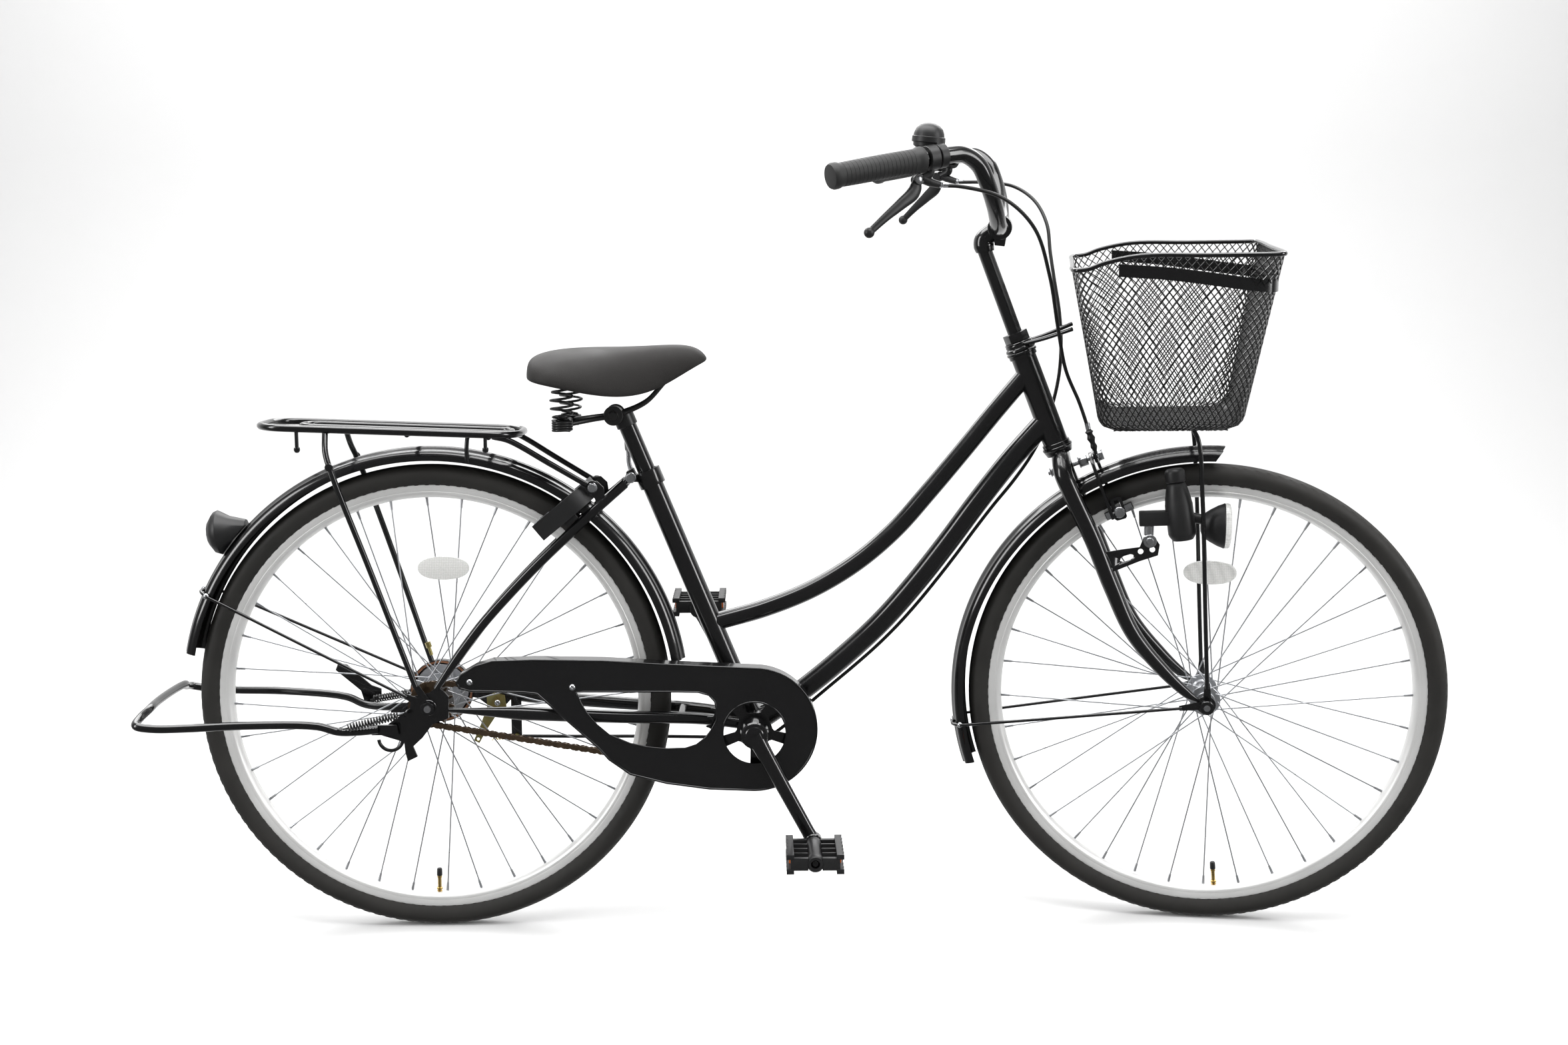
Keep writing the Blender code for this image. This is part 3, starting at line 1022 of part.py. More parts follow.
def make_grip():
    """A ribbed grip, closed at its outer end."""
    length = (GRIP_END - GRIP_START).length
    profile = [(0.0, length), (0.0150, length), (0.0165, length - 0.0080), (0.0150, length - 0.0120),
               (0.0152, 0.0130), (0.0164, 0.0100), (0.0164, 0.0030), (0.0125, 0.0030),
               (0.0125, length - 0.0060), (0.0, length - 0.0060)]
    return turned(profile, 8, GRIP_START, GRIP_AXIS)


LEVER_PIVOT = Vector((0.6890, -0.1980, 1.0480))
LEVER_TIP = Vector((0.6330, -0.2480, 0.9840))
LEVER_AXIS = GRIP_AXIS.cross(LEVER_TIP - LEVER_PIVOT).normalized()


def make_brake_bracket():
    """Clamp on the bar with the lever's fork and the cable's adjuster."""
    centre = GRIP_START - GRIP_AXIS * 0.0100
    clamp = turned([(0.0124, 0.0070), (0.0160, 0.0070), (0.0160, -0.0070), (0.0124, -0.0070)], 8, centre,
                   GRIP_AXIS, ring=True)
    neck = rod(centre + Vector((-0.0010, 0.0010, -0.0140)), LEVER_PIVOT + Vector((0.0090, 0.0050, 0.0020)),
               0.0050, 6)
    nose = rod(LEVER_PIVOT + Vector((0.0020, 0.0010, 0.0010)), (0.7190, -0.1860, 1.0405), 0.0052, 6, 0.0040)
    base = rod(LEVER_PIVOT - LEVER_AXIS * 0.0057, LEVER_PIVOT + LEVER_AXIS * 0.0057, 0.0070, 8)
    slot = rod(LEVER_PIVOT - LEVER_AXIS * 0.0035, LEVER_PIVOT + LEVER_AXIS * 0.0035, 0.0092, 8)
    body = cut(fused(clamp, neck, base, nose), slot)
    return fused(body, rod(LEVER_PIVOT - LEVER_AXIS * 0.0045, LEVER_PIVOT + LEVER_AXIS * 0.0045, 0.0022, 6))


def make_brake_lever():
    route = smooth([LEVER_PIVOT + Vector((0.0000, 0.0000, 0.0)), (0.6850, -0.2040, 1.0330),
                    (0.6700, -0.2190, 1.0180), (0.6520, -0.2340, 1.0020), LEVER_TIP], 7)
    blade = tube(route, 0.0046, 6, radii=[0.6, 0.7, 1.05, 1.0, 0.95, 0.95, 1.2])
    eye = rod(LEVER_PIVOT - LEVER_AXIS * 0.0031, LEVER_PIVOT + LEVER_AXIS * 0.0031, 0.0064, 8)
    ball = turned([(0.0, 0.0070), (0.0055, 0.0040), (0.0070, 0.0), (0.0055, -0.0040), (0.0, -0.0070)], 6,
                  LEVER_TIP, (0, 0, 1))
    bore = rod(LEVER_PIVOT - LEVER_AXIS * 0.0080, LEVER_PIVOT + LEVER_AXIS * 0.0080, 0.0028, 6)
    return fused(cut(fused(eye, blade), bore), ball)


BELL_CENTRE = Vector((0.7000, -0.1640, 1.0960))


def make_bell():
    dome = turned([(0.0, 0.0230), (0.0120, 0.0205), (0.0190, 0.0120), (0.0212, 0.0),
                   (0.0195, -0.0020), (0.0190, -0.0060), (0.0, -0.0095)], 9,
                  BELL_CENTRE, (0.10, 0, 0.995))
    post = rod(BELL_CENTRE + Vector((0.0020, 0, -0.0070)), (0.7150, -0.1790, 1.0928), 0.0036, 6)
    centre = GRIP_START - GRIP_AXIS * 0.0245
    clamp = turned([(0.0124, 0.0055), (0.0155, 0.0055), (0.0155, -0.0055), (0.0124, -0.0055)], 8, centre,
                   GRIP_AXIS, ring=True)
    piece("bell", fused(dome, post, clamp), PLASTIC, HEAD_BOTTOM, STEERING)
    place = Matrix.Translation(BELL_CENTRE + Vector((0, 0, -0.0145)))
    lever = plate([[(-0.0090, -0.0060), (-0.0340, -0.0120), (-0.0360, 0.0020), (-0.0180, 0.0090),
                    (-0.0060, 0.0080)]], 0.0036, place=place)
    piece("bell_lever", lever, PLASTIC, BELL_CENTRE + Vector((-0.0120, 0, -0.0145)), STEERING)


def make_front_fender():
    shell = fender_shell(FRONT_AXLE, 87.3, 198.3, 9)
    tab = plate([[(-0.0070, 0.0055), (0.0070, 0.0055), (0.0070, -0.0285), (-0.0070, -0.0285)],
                 circle(0, 0, 0.0037, 6)], 0.0020, place=caliper_place(-0.0252, 1))
    stay = fender_stay(FRONT_AXLE, 188.3, 0.0556)
    piece("front_fender", fused(shell, tab, *stay), BLACK_PAINT, HEAD_BOTTOM, STEERING)


def caliper_place(level, side):
    """A plane across the caliper's bolt: X outwards on that side, Y up the steering axis."""
    place = Matrix.Identity(4)
    place.col[0][:3] = (0, side, 0)
    place.col[1][:3] = STEER_AXIS
    place.col[2][:3] = CALIPER_AXIS * side
    place.translation = CALIPER_PIVOT + CALIPER_AXIS * level
    return place


def make_caliper_arm(level, side):
    """One arm of the side-pull brake: its plate in the plane across the caliper's bolt, and its pad."""
    place = caliper_place(level, side)
    outline = [(-0.0090, 0.0060), (0.0060, 0.0090), (0.0280, 0.0020), (0.0370, -0.0150), (0.0370, -0.0480),
               (0.0340, -0.0860), (0.0268, -0.0860), (0.0268, -0.0240), (0.0235, -0.0150),
               (0.0090, -0.0085), (-0.0060, -0.0080)]
    arm = plate([outline, circle(0, 0, 0.0040, 8)], 0.0046, place=place)
    pad = block(PAD_CENTRE + Vector((0, side * 0.0185, 0)), (0.0420, 0.0095, 0.0110), pitch(25.3))
    post = rod(PAD_CENTRE + Vector((0, side * 0.0200, 0)), PAD_CENTRE + Vector((0, side * 0.0330, 0)),
               0.0068, 6)
    reach = rod(PAD_CENTRE + Vector((0, side * 0.0265, 0)),
                place @ Vector((0.0304, -0.0810, 0)), 0.0050, 6)
    return fused(arm, pad, post, reach)


# Basket
BASKET_TOP_REAR = (0.8850, 0.9300)
BASKET_TOP_FRONT = (1.1480, 0.9520)
BASKET_BOTTOM_REAR = (0.9260, 0.7200)
BASKET_BOTTOM_FRONT = (1.1080, 0.7240)
BASKET_TOP_HALF = 0.1830
BASKET_BOTTOM_HALF = 0.1380
NET_THICKNESS = 0.0024


def net(name, corners, columns, rows, frame=0.006):
    """A flat net with diamond gaps between its lower edge and its upper edge.

    The corners are low left, low right, high right and high left, seen along the outward normal.
    """
    low_left, low_right, high_right, high_left = (Vector(corner) for corner in corners)
    across = (low_right - low_left).normalized()
    normal = across.cross(high_left - low_left).normalized()
    up = normal.cross(across)
    place = Matrix.Identity(4)
    place.col[0][:3] = across
    place.col[1][:3] = up
    place.col[2][:3] = normal
    place.translation = low_left
    flat = []
    for corner in (low_left, low_right, high_right, high_left):
        offset = corner - low_left
        flat.append(Vector((offset.dot(across), offset.dot(up))))

    def spot(s, t):
        low = flat[0].lerp(flat[1], s)
        high = flat[3].lerp(flat[2], s)
        return low.lerp(high, t)

    holes = []
    margin_s = frame / (flat[1] - flat[0]).length
    margin_t = frame / (flat[3] - flat[0]).length
    for row in range(rows):
        shift = 0.5 if row % 2 else 0.0
        for column in range(columns - (row % 2)):
            s = margin_s + (1 - 2 * margin_s) * (column + 0.5 + shift) / columns
            t = margin_t + (1 - 2 * margin_t) * (row + 1) / (rows + 1)
            wide = (1 - 2 * margin_s) / columns * 0.46
            tall = (1 - 2 * margin_t) / (rows + 1) * 0.90
            holes.append([tuple(spot(s - wide, t)), tuple(spot(s, t + tall)), tuple(spot(s + wide, t)),
                          tuple(spot(s, t - tall))])
    body = plate([[tuple(point) for point in flat]] + holes, NET_THICKNESS, place=place)
    piece(name, body, BLACK_PAINT, HEAD_BOTTOM, STEERING)


def make_basket():
    clear = 0.0040
    drop = 0.0050
    rear_low = Vector((BASKET_BOTTOM_REAR[0], 0, BASKET_BOTTOM_REAR[1]))
    front_low = Vector((BASKET_BOTTOM_FRONT[0], 0, BASKET_BOTTOM_FRONT[1]))
    rear_top = Vector((BASKET_TOP_REAR[0], 0, BASKET_TOP_REAR[1] - drop))
    front_top = Vector((BASKET_TOP_FRONT[0], 0, BASKET_TOP_FRONT[1] - drop))
    low_side = Vector((0, BASKET_BOTTOM_HALF, 0))
    top_side = Vector((0, BASKET_TOP_HALF, 0))
    inset = Vector((0, clear, 0))
    net("basket_net_front", (front_low - low_side + inset, front_low + low_side - inset,
                             front_top + top_side - inset, front_top - top_side + inset), 4, 4)
    net("basket_net_back", (rear_low + low_side - inset, rear_low - low_side + inset,
                            rear_top - top_side + inset, rear_top + top_side - inset), 4, 4)
    ahead = Vector((clear, 0, 0))
    for name, side in (("basket_net_right", -1), ("basket_net_left", 1)):
        corners = [rear_low + low_side * side + ahead, front_low + low_side * side - ahead,
                   front_top + top_side * side - ahead, rear_top + top_side * side + ahead]
        if side > 0:
            corners = [corners[1], corners[0], corners[3], corners[2]]
        net(name, corners, 3, 4)
    down = Vector((0, 0, -0.0040))
    floor_side = low_side - Vector((0, 0.0030, 0))
    inward = Vector((0.0030, 0, 0))
    rear, front = rear_low + down + inward, front_low + down - inward
    net("basket_bottom", (rear - floor_side, front - floor_side, front + floor_side, rear + floor_side), 3, 3)
    rim = []
    for x, y, z in ((BASKET_TOP_FRONT[0], 1, 0.9545), (0.9700, 1, 0.9520), (BASKET_TOP_REAR[0], 1, 0.9335),
                    (BASKET_TOP_REAR[0], -1, 0.9335), (0.9700, -1, 0.9520),
                    (BASKET_TOP_FRONT[0], -1, 0.9545)):
        rim.append(Vector((x, y * BASKET_TOP_HALF, z)))
    loop = []
    for index, point in enumerate(rim):
        if 0.95 < point.x < 1.0:
            loop.append(point)
            continue
        before = (rim[index - 1] - point).normalized()
        after = (rim[(index + 1) % len(rim)] - point).normalized()
        corner = 0.0300
        loop += [point + before * corner, point + (before + after) * corner * 0.3, point + after * corner]
    piece("basket_rim", tube(loop, 0.0030, 6, closed=True), BLACK_PAINT, HEAD_BOTTOM, STEERING)


def make_basket_stays():
    bodies = []
    for side in (-1, 1):
        leg = smooth([(FRONT_AXLE.x, side * 0.0590, FRONT_AXLE.z + 0.0250), (1.0760, side * 0.0600, 0.4500),
                      (1.0660, side * 0.0610, 0.6200), (1.0580, side * 0.0600, 0.7000),
                      (1.0520, side * 0.0560, 0.7125)], 6)
        bodies += [tube(leg, 0.0030, 5), eyelet(FRONT_AXLE, side * 0.0575, 90, 0.0330)]
    bodies.append(rod((1.0520, -0.0560, 0.7125), (1.0520, 0.0560, 0.7125), 0.0030, 6))
    piece("basket_stays", fused(*bodies), BLACK_PAINT, HEAD_BOTTOM, STEERING)


def make_front_axle():
    axle = rod((WHEELBASE, -0.0700, AXLE_HEIGHT), (WHEELBASE, 0.0700, AXLE_HEIGHT), 0.0046, 6)
    bodies = [axle]
    for side in (-1, 1):
        bodies.append(rod((WHEELBASE, side * 0.0587, AXLE_HEIGHT), (WHEELBASE, side * 0.0665, AXLE_HEIGHT),
                          0.0090, 6))
        bodies.append(rod((WHEELBASE, side * 0.0380, AXLE_HEIGHT), (WHEELBASE, side * 0.0497, AXLE_HEIGHT),
                          0.0078, 6))
    piece("front_axle", fused(*bodies), STEEL, FRONT_AXLE, STEERING)


# Dynamo and head lamp
ROLLER_FOOT = Vector((1.0310, -0.0415, 0.6400))
ROLLER_TOP = Vector((1.0282, -0.0408, 0.6580))


def make_dynamo():
    axis = (ROLLER_TOP - ROLLER_FOOT).normalized()
    bottle = turned([(0.0, 0.0), (0.0120, 0.0), (0.0140, -0.0050), (0.0180, -0.0260), (0.0190, -0.0720),
                     (0.0140, -0.0800), (0.0, -0.0800)], 8, ROLLER_FOOT - axis * 0.0004, axis)
    block_body = block((1.0050, -0.0440, 0.5900), (0.0430, 0.0200, 0.0190), pitch(3))
    hinge = rod((0.9970, -0.0440, 0.5850), (0.9970, -0.0440, 0.5665), 0.0070, 8)
    neck = rod((1.0450, -0.0390, 0.5930), (1.0790, -0.0380, 0.5860), 0.0070, 6)
    lamp = turned([(0.0, -0.0330), (0.0160, -0.0300), (0.0280, -0.0100), (0.0315, 0.0010), (0.0315, 0.0070),
                   (0.0200, 0.0090), (0.0, 0.0090)], 10, (1.0990, 0, 0.5800), (1, 0, 0))
    lamp = moved(lamp, Matrix.Translation((0, -0.0380, 0)) @ Matrix.Scale(0.72, 4, (0, 1, 0)))
    piece("dynamo_lamp", fused(bottle, block_body, hinge, neck, lamp), PLASTIC, LAMP_PIVOT, STEERING)
    roller = turned([(0.0, 0.0182), (0.0110, 0.0182), (0.0135, 0.0150), (0.0135, 0.0), (0.0, 0.0)], 12,
                    ROLLER_FOOT, axis)
    piece("dynamo_roller", roller, PLASTIC, ROLLER_FOOT, STEERING)


# Cables
CABLE_RADIUS = 0.0025


def make_cables():
    front = smooth([(0.7204, -0.1857, 1.0402), (0.7420, -0.1790, 1.0390), (0.7950, -0.1560, 1.0240),
                    (0.8350, -0.1250, 0.9850), (0.8560, -0.0880, 0.9200), (0.8680, -0.0560, 0.8500),
                    (0.8800, -0.0350, 0.7900), (0.8990, -0.0240, 0.7450), (0.9130, -0.0240, 0.7060)], 14)
    piece("front_brake_cable", tube(front, CABLE_RADIUS, 5), BLACK_PAINT, HEAD_BOTTOM, STEERING)
    turn = (Matrix.Translation(HEAD_BOTTOM) @ Matrix.Rotation(STEER_AT_REST, 4, STEER_AXIS)
            @ Matrix.Translation(-HEAD_BOTTOM))
    free = [turn @ Vector(point) for point in ((0.7204, 0.1857, 1.0402), (0.7420, 0.1790, 1.0400),
                                               (0.7980, 0.1560, 1.0350), (0.8420, 0.1220, 1.0000))]
    free += [Vector(point) for point in ((0.8700, 0.0700, 0.9300), (0.8800, 0.0500, 0.8500),
                                         (0.8780, 0.0400, 0.7800), (0.8560, 0.0300, 0.7000))]
    under = []
    route = down_tube_route()
    for before, point, after in zip(route, route[1:], route[2:]):
        along = (after - before).normalized()
        under.append(point + Vector((-along.z, 0, along.x)) * 0.0215 + Vector((0, 0.0060, 0)))
    under = under[1:]
    tail = [Vector(point) for point in ((0.4600, 0.0250, 0.2600), (0.4150, 0.0380, 0.2590),
                                        (0.3000, 0.0440, 0.2600), (0.1800, 0.0430, 0.2610),
                                        (0.1137, 0.0424, 0.2620))]
    rear = smooth(free + under + tail, 28)
    piece("rear_brake_cable", tube(rear, CABLE_RADIUS, 5), BLACK_PAINT)


make_seat_post()
make_saddle()
make_saddle_frame()
make_crank_right()
make_crank_left()
make_pedal("pedal_right", RIGHT_PEDAL, -1)
make_pedal("pedal_left", LEFT_PEDAL, 1)
make_rear_sprocket()
make_chain()
make_fork()
make_stem()
make_handlebar()
right_grip = make_grip()
left_grip = mirrored(right_grip)
piece("grip_right", right_grip, RUBBER, HEAD_BOTTOM, STEERING)
piece("grip_left", left_grip, RUBBER, HEAD_BOTTOM, STEERING)
right_bracket = make_brake_bracket()
left_bracket = mirrored(right_bracket)
piece("brake_bracket_right", right_bracket, PLASTIC, HEAD_BOTTOM, STEERING)
piece("brake_bracket_left", left_bracket, PLASTIC, HEAD_BOTTOM, STEERING)
right_lever = make_brake_lever()
left_lever = mirrored(right_lever)
piece("brake_lever_right", right_lever, PLASTIC, LEVER_PIVOT, STEERING)
piece("brake_lever_left", left_lever, PLASTIC, (LEVER_PIVOT.x, -LEVER_PIVOT.y, LEVER_PIVOT.z), STEERING)
make_bell()
make_front_fender()
piece("caliper_arm_right", make_caliper_arm(0.0030, -1), STEEL, CALIPER_PIVOT, STEERING)
piece("caliper_arm_left", make_caliper_arm(0.0085, 1), STEEL, CALIPER_PIVOT, STEERING)
make_basket()
make_basket_stays()
make_front_axle()
make_dynamo()
make_cables()
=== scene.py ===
# %% [markdown]
# # A city bicycle in Blender
# The real object is a step-through bicycle with 26-inch wheels, a basket, a rack and a chain case. Its rigid
# parts come in as a fixed frame. This script gives each of them its finish, and builds the pieces that need
# more detail than the frame holds: tyres with tread, laced wheels, chain, saddle, basket net and cables.

# %% Load the frame
import json
from math import acos, atan2, copysign, cos, degrees, pi, radians, sin, sqrt

import bpy
from mathutils import Matrix, Vector

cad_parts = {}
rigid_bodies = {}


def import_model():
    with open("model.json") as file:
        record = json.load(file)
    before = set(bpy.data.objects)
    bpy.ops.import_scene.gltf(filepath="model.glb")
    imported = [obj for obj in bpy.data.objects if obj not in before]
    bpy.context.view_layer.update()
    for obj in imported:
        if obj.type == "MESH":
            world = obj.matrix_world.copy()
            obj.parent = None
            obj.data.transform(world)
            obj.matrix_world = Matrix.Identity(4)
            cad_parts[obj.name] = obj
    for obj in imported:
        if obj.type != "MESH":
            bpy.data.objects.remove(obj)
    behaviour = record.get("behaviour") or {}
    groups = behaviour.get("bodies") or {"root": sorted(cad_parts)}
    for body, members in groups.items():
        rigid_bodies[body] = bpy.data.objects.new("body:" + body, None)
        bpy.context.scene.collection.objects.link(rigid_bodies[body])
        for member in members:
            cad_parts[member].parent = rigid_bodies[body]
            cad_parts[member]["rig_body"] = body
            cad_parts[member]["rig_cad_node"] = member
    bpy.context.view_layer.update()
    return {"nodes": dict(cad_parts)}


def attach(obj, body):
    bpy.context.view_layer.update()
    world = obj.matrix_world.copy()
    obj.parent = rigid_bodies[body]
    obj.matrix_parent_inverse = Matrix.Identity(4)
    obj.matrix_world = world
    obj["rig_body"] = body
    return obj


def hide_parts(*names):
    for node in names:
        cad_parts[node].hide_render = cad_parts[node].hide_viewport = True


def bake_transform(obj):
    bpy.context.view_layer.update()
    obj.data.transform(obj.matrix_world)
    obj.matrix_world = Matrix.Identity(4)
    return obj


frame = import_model()
print("nodes in the frame:", len(frame["nodes"]))

# %% [markdown]
# ## The camera
# The photograph was taken from the chain side, about two and a half metres away and slightly above the axles.
# The lens and the place were solved from the outlines of both wheels, so they are written down as numbers.

# %% Place the camera
bpy.ops.object.camera_add(location=(0.4572, -2.5317, 0.9105))
camera = bpy.context.object
camera.name = "camera"
camera.data.lens = 42.01
camera.data.sensor_width = 36.0
view_turn = (Matrix.Rotation(radians(-0.742), 4, "Z") @ Matrix.Rotation(radians(90 - 7.539), 4,
    "X") @ Matrix.Rotation(-0.0033, 4, "Z"))
camera.rotation_euler = view_turn.to_euler()
bpy.context.scene.camera = camera
print("lens", camera.data.lens, "mm")

# %% [markdown]
# ## A small kit for modelling with operators
# An operator works on everything that is selected, so each step starts by clearing the selection. The steering
# was turned ten degrees when the photograph was taken. Its pieces are drawn straight ahead and turned at the
# end.

# %% The steering and the axles
HEAD_BOTTOM, HEAD_TOP = Vector((0.8713, 0.0, 0.6778)), Vector((0.8183, 0.0, 0.8136))
STEER_AXIS = (HEAD_TOP - HEAD_BOTTOM).normalized()
STEERED = (Matrix.Translation(HEAD_BOTTOM) @ Matrix.Rotation(radians(-10), 4, STEER_AXIS)
    @ Matrix.Translation(-HEAD_BOTTOM))
TURNED = ("steering", "front_wheel", "lever_right", "lever_left", "caliper_right", "caliper_left", "bell_thumb",
    "dynamo", "dynamo_roller_body")
REAR_AXLE, FRONT_AXLE = Vector((0.0, 0.0, 0.33)), Vector((1.0818, 0.0, 0.33))
print("wheelbase", round(FRONT_AXLE.x, 4), "m")

# %% Selecting and joining
def clear():
    """Nothing selected, and no piece in edit mode."""
    if bpy.context.object and bpy.context.object.mode != "OBJECT":
        leave()
    bpy.ops.object.select_all(action="DESELECT")

def take(*objects):
    """Select these pieces, with the first one active."""
    clear()
    for obj in objects:
        obj.select_set(True)
    bpy.context.view_layer.objects.active = objects[0]
    return objects[0]

def join(*objects):
    """Several meshes become one, and it keeps the first one's name."""
    first = take(*objects)
    if len(objects) > 1:
        bpy.ops.object.join()
    return first

def edit(select="SELECT"):
    """Edit mode, with everything selected or nothing."""
    bpy.ops.object.mode_set(mode="EDIT")
    bpy.ops.mesh.select_all(action=select)

def leave():
    bpy.ops.object.mode_set(mode="OBJECT")

# %% [markdown]
# Most operators leave a mesh that needs the same care: its doubled points are merged, its modifier is applied,
# its edges are rounded a little, and it is shaded smooth.

# %% Welding and smoothing
def weld(obj, distance=0.00002):
    """Merge the points that lie on each other, and point all faces outwards."""
    take(obj)
    edit()
    bpy.ops.mesh.remove_doubles(threshold=distance)
    bpy.ops.mesh.normals_make_consistent(inside=False)
    leave()
    return obj

def soften(obj, angle=35.0):
    """Smooth shading that keeps the edges sharper than this angle."""
    take(obj)
    bpy.ops.object.shade_smooth_by_angle(angle=radians(angle))
    return obj

def apply(obj, modifier):
    """Make the modifier's shape the piece's own."""
    take(obj)
    bpy.ops.object.modifier_apply(modifier=modifier.name)
    return obj

def round_edges(obj, width=0.0004, segments=2, angle=32.0):
    """A small bevel, so that an edge catches the light as a real one does."""
    bevel = obj.modifiers.new("edge", "BEVEL")
    bevel.width = width
    bevel.segments = segments
    bevel.limit_method = "ANGLE"
    bevel.angle_limit = radians(angle)
    bevel.use_clamp_overlap = True
    return apply(obj, bevel)

# %% [markdown]
# A finished piece gets its name, its finish and the body it moves with. A piece of the frame that it stands for
# is hidden.

# %% Settling a piece
def settle(obj, name, coat, body, stands_for=()):
    """Join a list of pieces, put the place into the mesh, name it, coat it, and hang it on its body."""
    obj = join(*obj) if isinstance(obj, list) else take(obj)
    if body in TURNED:
        obj.matrix_world = STEERED @ obj.matrix_world
    bpy.ops.object.transform_apply(location=True, rotation=True, scale=True)
    obj.name = name
    obj.data.name = name
    obj.data.materials.clear()
    obj.data.materials.append(coat)
    if body:
        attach(obj, body)
    if stands_for:
        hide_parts(*stands_for)
    print(name, len(obj.data.polygons), "faces")
    return obj

# %% [markdown]
# Round bars, spokes and wires are all lengths of cylinder or bent tube. A curve with a round bevel is the
# simplest way to bend a tube, because its section stays round along the whole bend.

# %% Rods and wires
def rod(start, end, radius, sides=16, end_radius=None):
    """A cylinder or cone between two points."""
    start, end = Vector(start), Vector(end)
    clear()
    bpy.ops.mesh.primitive_cone_add(vertices=sides, radius1=radius, radius2=end_radius or radius,
        depth=(end - start).length, location=(start + end) / 2,
        rotation=(end - start).to_track_quat("Z", "Y").to_euler())
    return bpy.context.object

def wire(points, radius, sides=12, closed=False, radii=None, order=4, resolution=10):
    """A tube along a smooth path through these guide points, which may change its width on the way."""
    clear()
    bpy.ops.curve.primitive_nurbs_path_add(location=(0, 0, 0))
    path = bpy.context.object
    path.data.splines.clear()
    spline = path.data.splines.new("POLY")
    points = through(points, resolution, closed) if order == 4 else [Vector(point) for point in points]
    if radii:
        radii = spread(radii, len(points))
    spline.points.add(len(points) - 1)
    for index, point in enumerate(points):
        spline.points[index].co = (*point, 1.0)
        spline.points[index].radius = radii[index] if radii else 1.0
    spline.use_cyclic_u = closed
    spline.use_smooth = True
    path.data.dimensions = "3D"
    path.data.bevel_depth = radius
    path.data.bevel_resolution = max(0, sides // 2 - 2)
    path.data.use_fill_caps = not closed
    take(path)
    bpy.ops.object.convert(target="MESH")
    return soften(weld(bpy.context.object), 50)

# %% [markdown]
# A wire is given by a few guide points, as a bender would mark them. The line between them is a spline that
# passes through every one, and the tube's width is read off its own list in the same way. The longest lists are
# written in millimetres, as on a drawing, and mm turns them into metres.

# %% Lines through guide points
def mm(points):
    """Points given in millimetres, in metres; they are rounded so that 28.4 becomes exactly 0.0284."""
    return [tuple(round(number / 1000, 6) for number in point) for point in points]

def sideways(y):
    return Vector((0, y, 0))

def through(points, resolution, closed=False):
    """Points on a smooth line that passes through every guide point."""
    points = [Vector(point) for point in points]
    count = len(points)
    if count < 3:
        return points
    line = []
    for index in range(count if closed else count - 1):
        p1, p2 = points[index], points[(index + 1) % count]
        p0 = points[index - 1] if index or closed else p1 * 2 - p2
        p3 = points[(index + 2) % count] if closed or index + 2 < count else p2 * 2 - p1
        t1 = (p2 - p1).length ** 0.5
        t0, t2 = max((p1 - p0).length ** 0.5, 1e-6), max((p3 - p2).length ** 0.5, 1e-6)
        m1 = ((p1 - p0) / t0 - (p2 - p0) / (t0 + t1) + (p2 - p1) / t1) * t1
        m2 = ((p2 - p1) / t1 - (p3 - p1) / (t1 + t2) + (p3 - p2) / t2) * t1
        for step in range(resolution):
            t = step / resolution
            line.append(p1 * (2 * t ** 3 - 3 * t ** 2 + 1) + m1 * (t ** 3 - 2 * t ** 2 + t)
                + p2 * (3 * t ** 2 - 2 * t ** 3) + m2 * (t ** 3 - t ** 2))
    if not closed:
        line.append(points[-1])
    return line

def spread(values, count):
    """The same run of values, read at this many even steps."""
    last = len(values) - 1
    read = []
    for index in range(count):
        place = index / (count - 1) * last
        low = min(int(place), last - 1)
        read.append(values[low] + (values[low + 1] - values[low]) * (place - low))
    return read

# %% [markdown]
# Hubs, tyres and screws are round: half a section is drawn and spun about the axis, as on a lathe. A ring of
# points is the simplest thing to bend into a section, and for an open section one of its edges is taken out.

# %% Turned parts
def turned(profile, centre, axis=(0, 1, 0), steps=48, closed=False):
    """A part as from a lathe: the profile gives radius and place along the axis, and is spun round."""
    centre, axis = Vector(centre), Vector(axis).normalized()
    side = axis.orthogonal().normalized()
    clear()
    bpy.ops.mesh.primitive_circle_add(vertices=len(profile), radius=1.0, location=(0, 0, 0))
    part = bpy.context.object
    for vertex, (radius, along) in zip(part.data.vertices, profile):
        vertex.co = centre + side * radius + axis * along
    if not closed:
        open_ring(part, len(profile) - 1, 0)
    edit()
    bpy.ops.mesh.spin(steps=steps, angle=2 * pi, center=centre, axis=axis, use_auto_merge=True)
    leave()
    return weld(part)

def both_ways(half):
    """A section that is the same on both sides of its middle, from its first half."""
    return half + [(radius, -along) for radius, along in reversed(half) if along]

def open_ring(obj, first, second):
    """Take out the edge between these two points of a circle."""
    take(obj)
    edit("DESELECT")
    bpy.ops.mesh.select_mode(type="EDGE")
    leave()
    for edge in obj.data.edges:
        edge.select = set(edge.vertices) == {first, second}
    bpy.ops.object.mode_set(mode="EDIT")
    bpy.ops.mesh.delete(type="EDGE")
    leave()

# %% [markdown]
# A wheel repeats one spoke many times. Each copy gets its own mesh, so that all of them can be joined later.

# %% Copies and turns
def repeated(obj, places):
    """Copies of a piece, each with its own mesh, moved by these matrices; the first stays where it is."""
    copies = [obj]
    for place in places:
        copy = obj.copy()
        copy.data = obj.data.copy()
        copy.matrix_world = place @ obj.matrix_world
        bpy.context.scene.collection.objects.link(copy)
        copies.append(copy)
    for copy in copies:
        take(copy)
        bpy.ops.object.transform_apply(location=True, rotation=True, scale=True)
    return copies

def about(centre, angle, axis="Y"):
    """A turn by this angle about a line through centre."""
    return Matrix.Translation(centre) @ Matrix.Rotation(angle, 4, axis) @ Matrix.Translation(-Vector(centre))

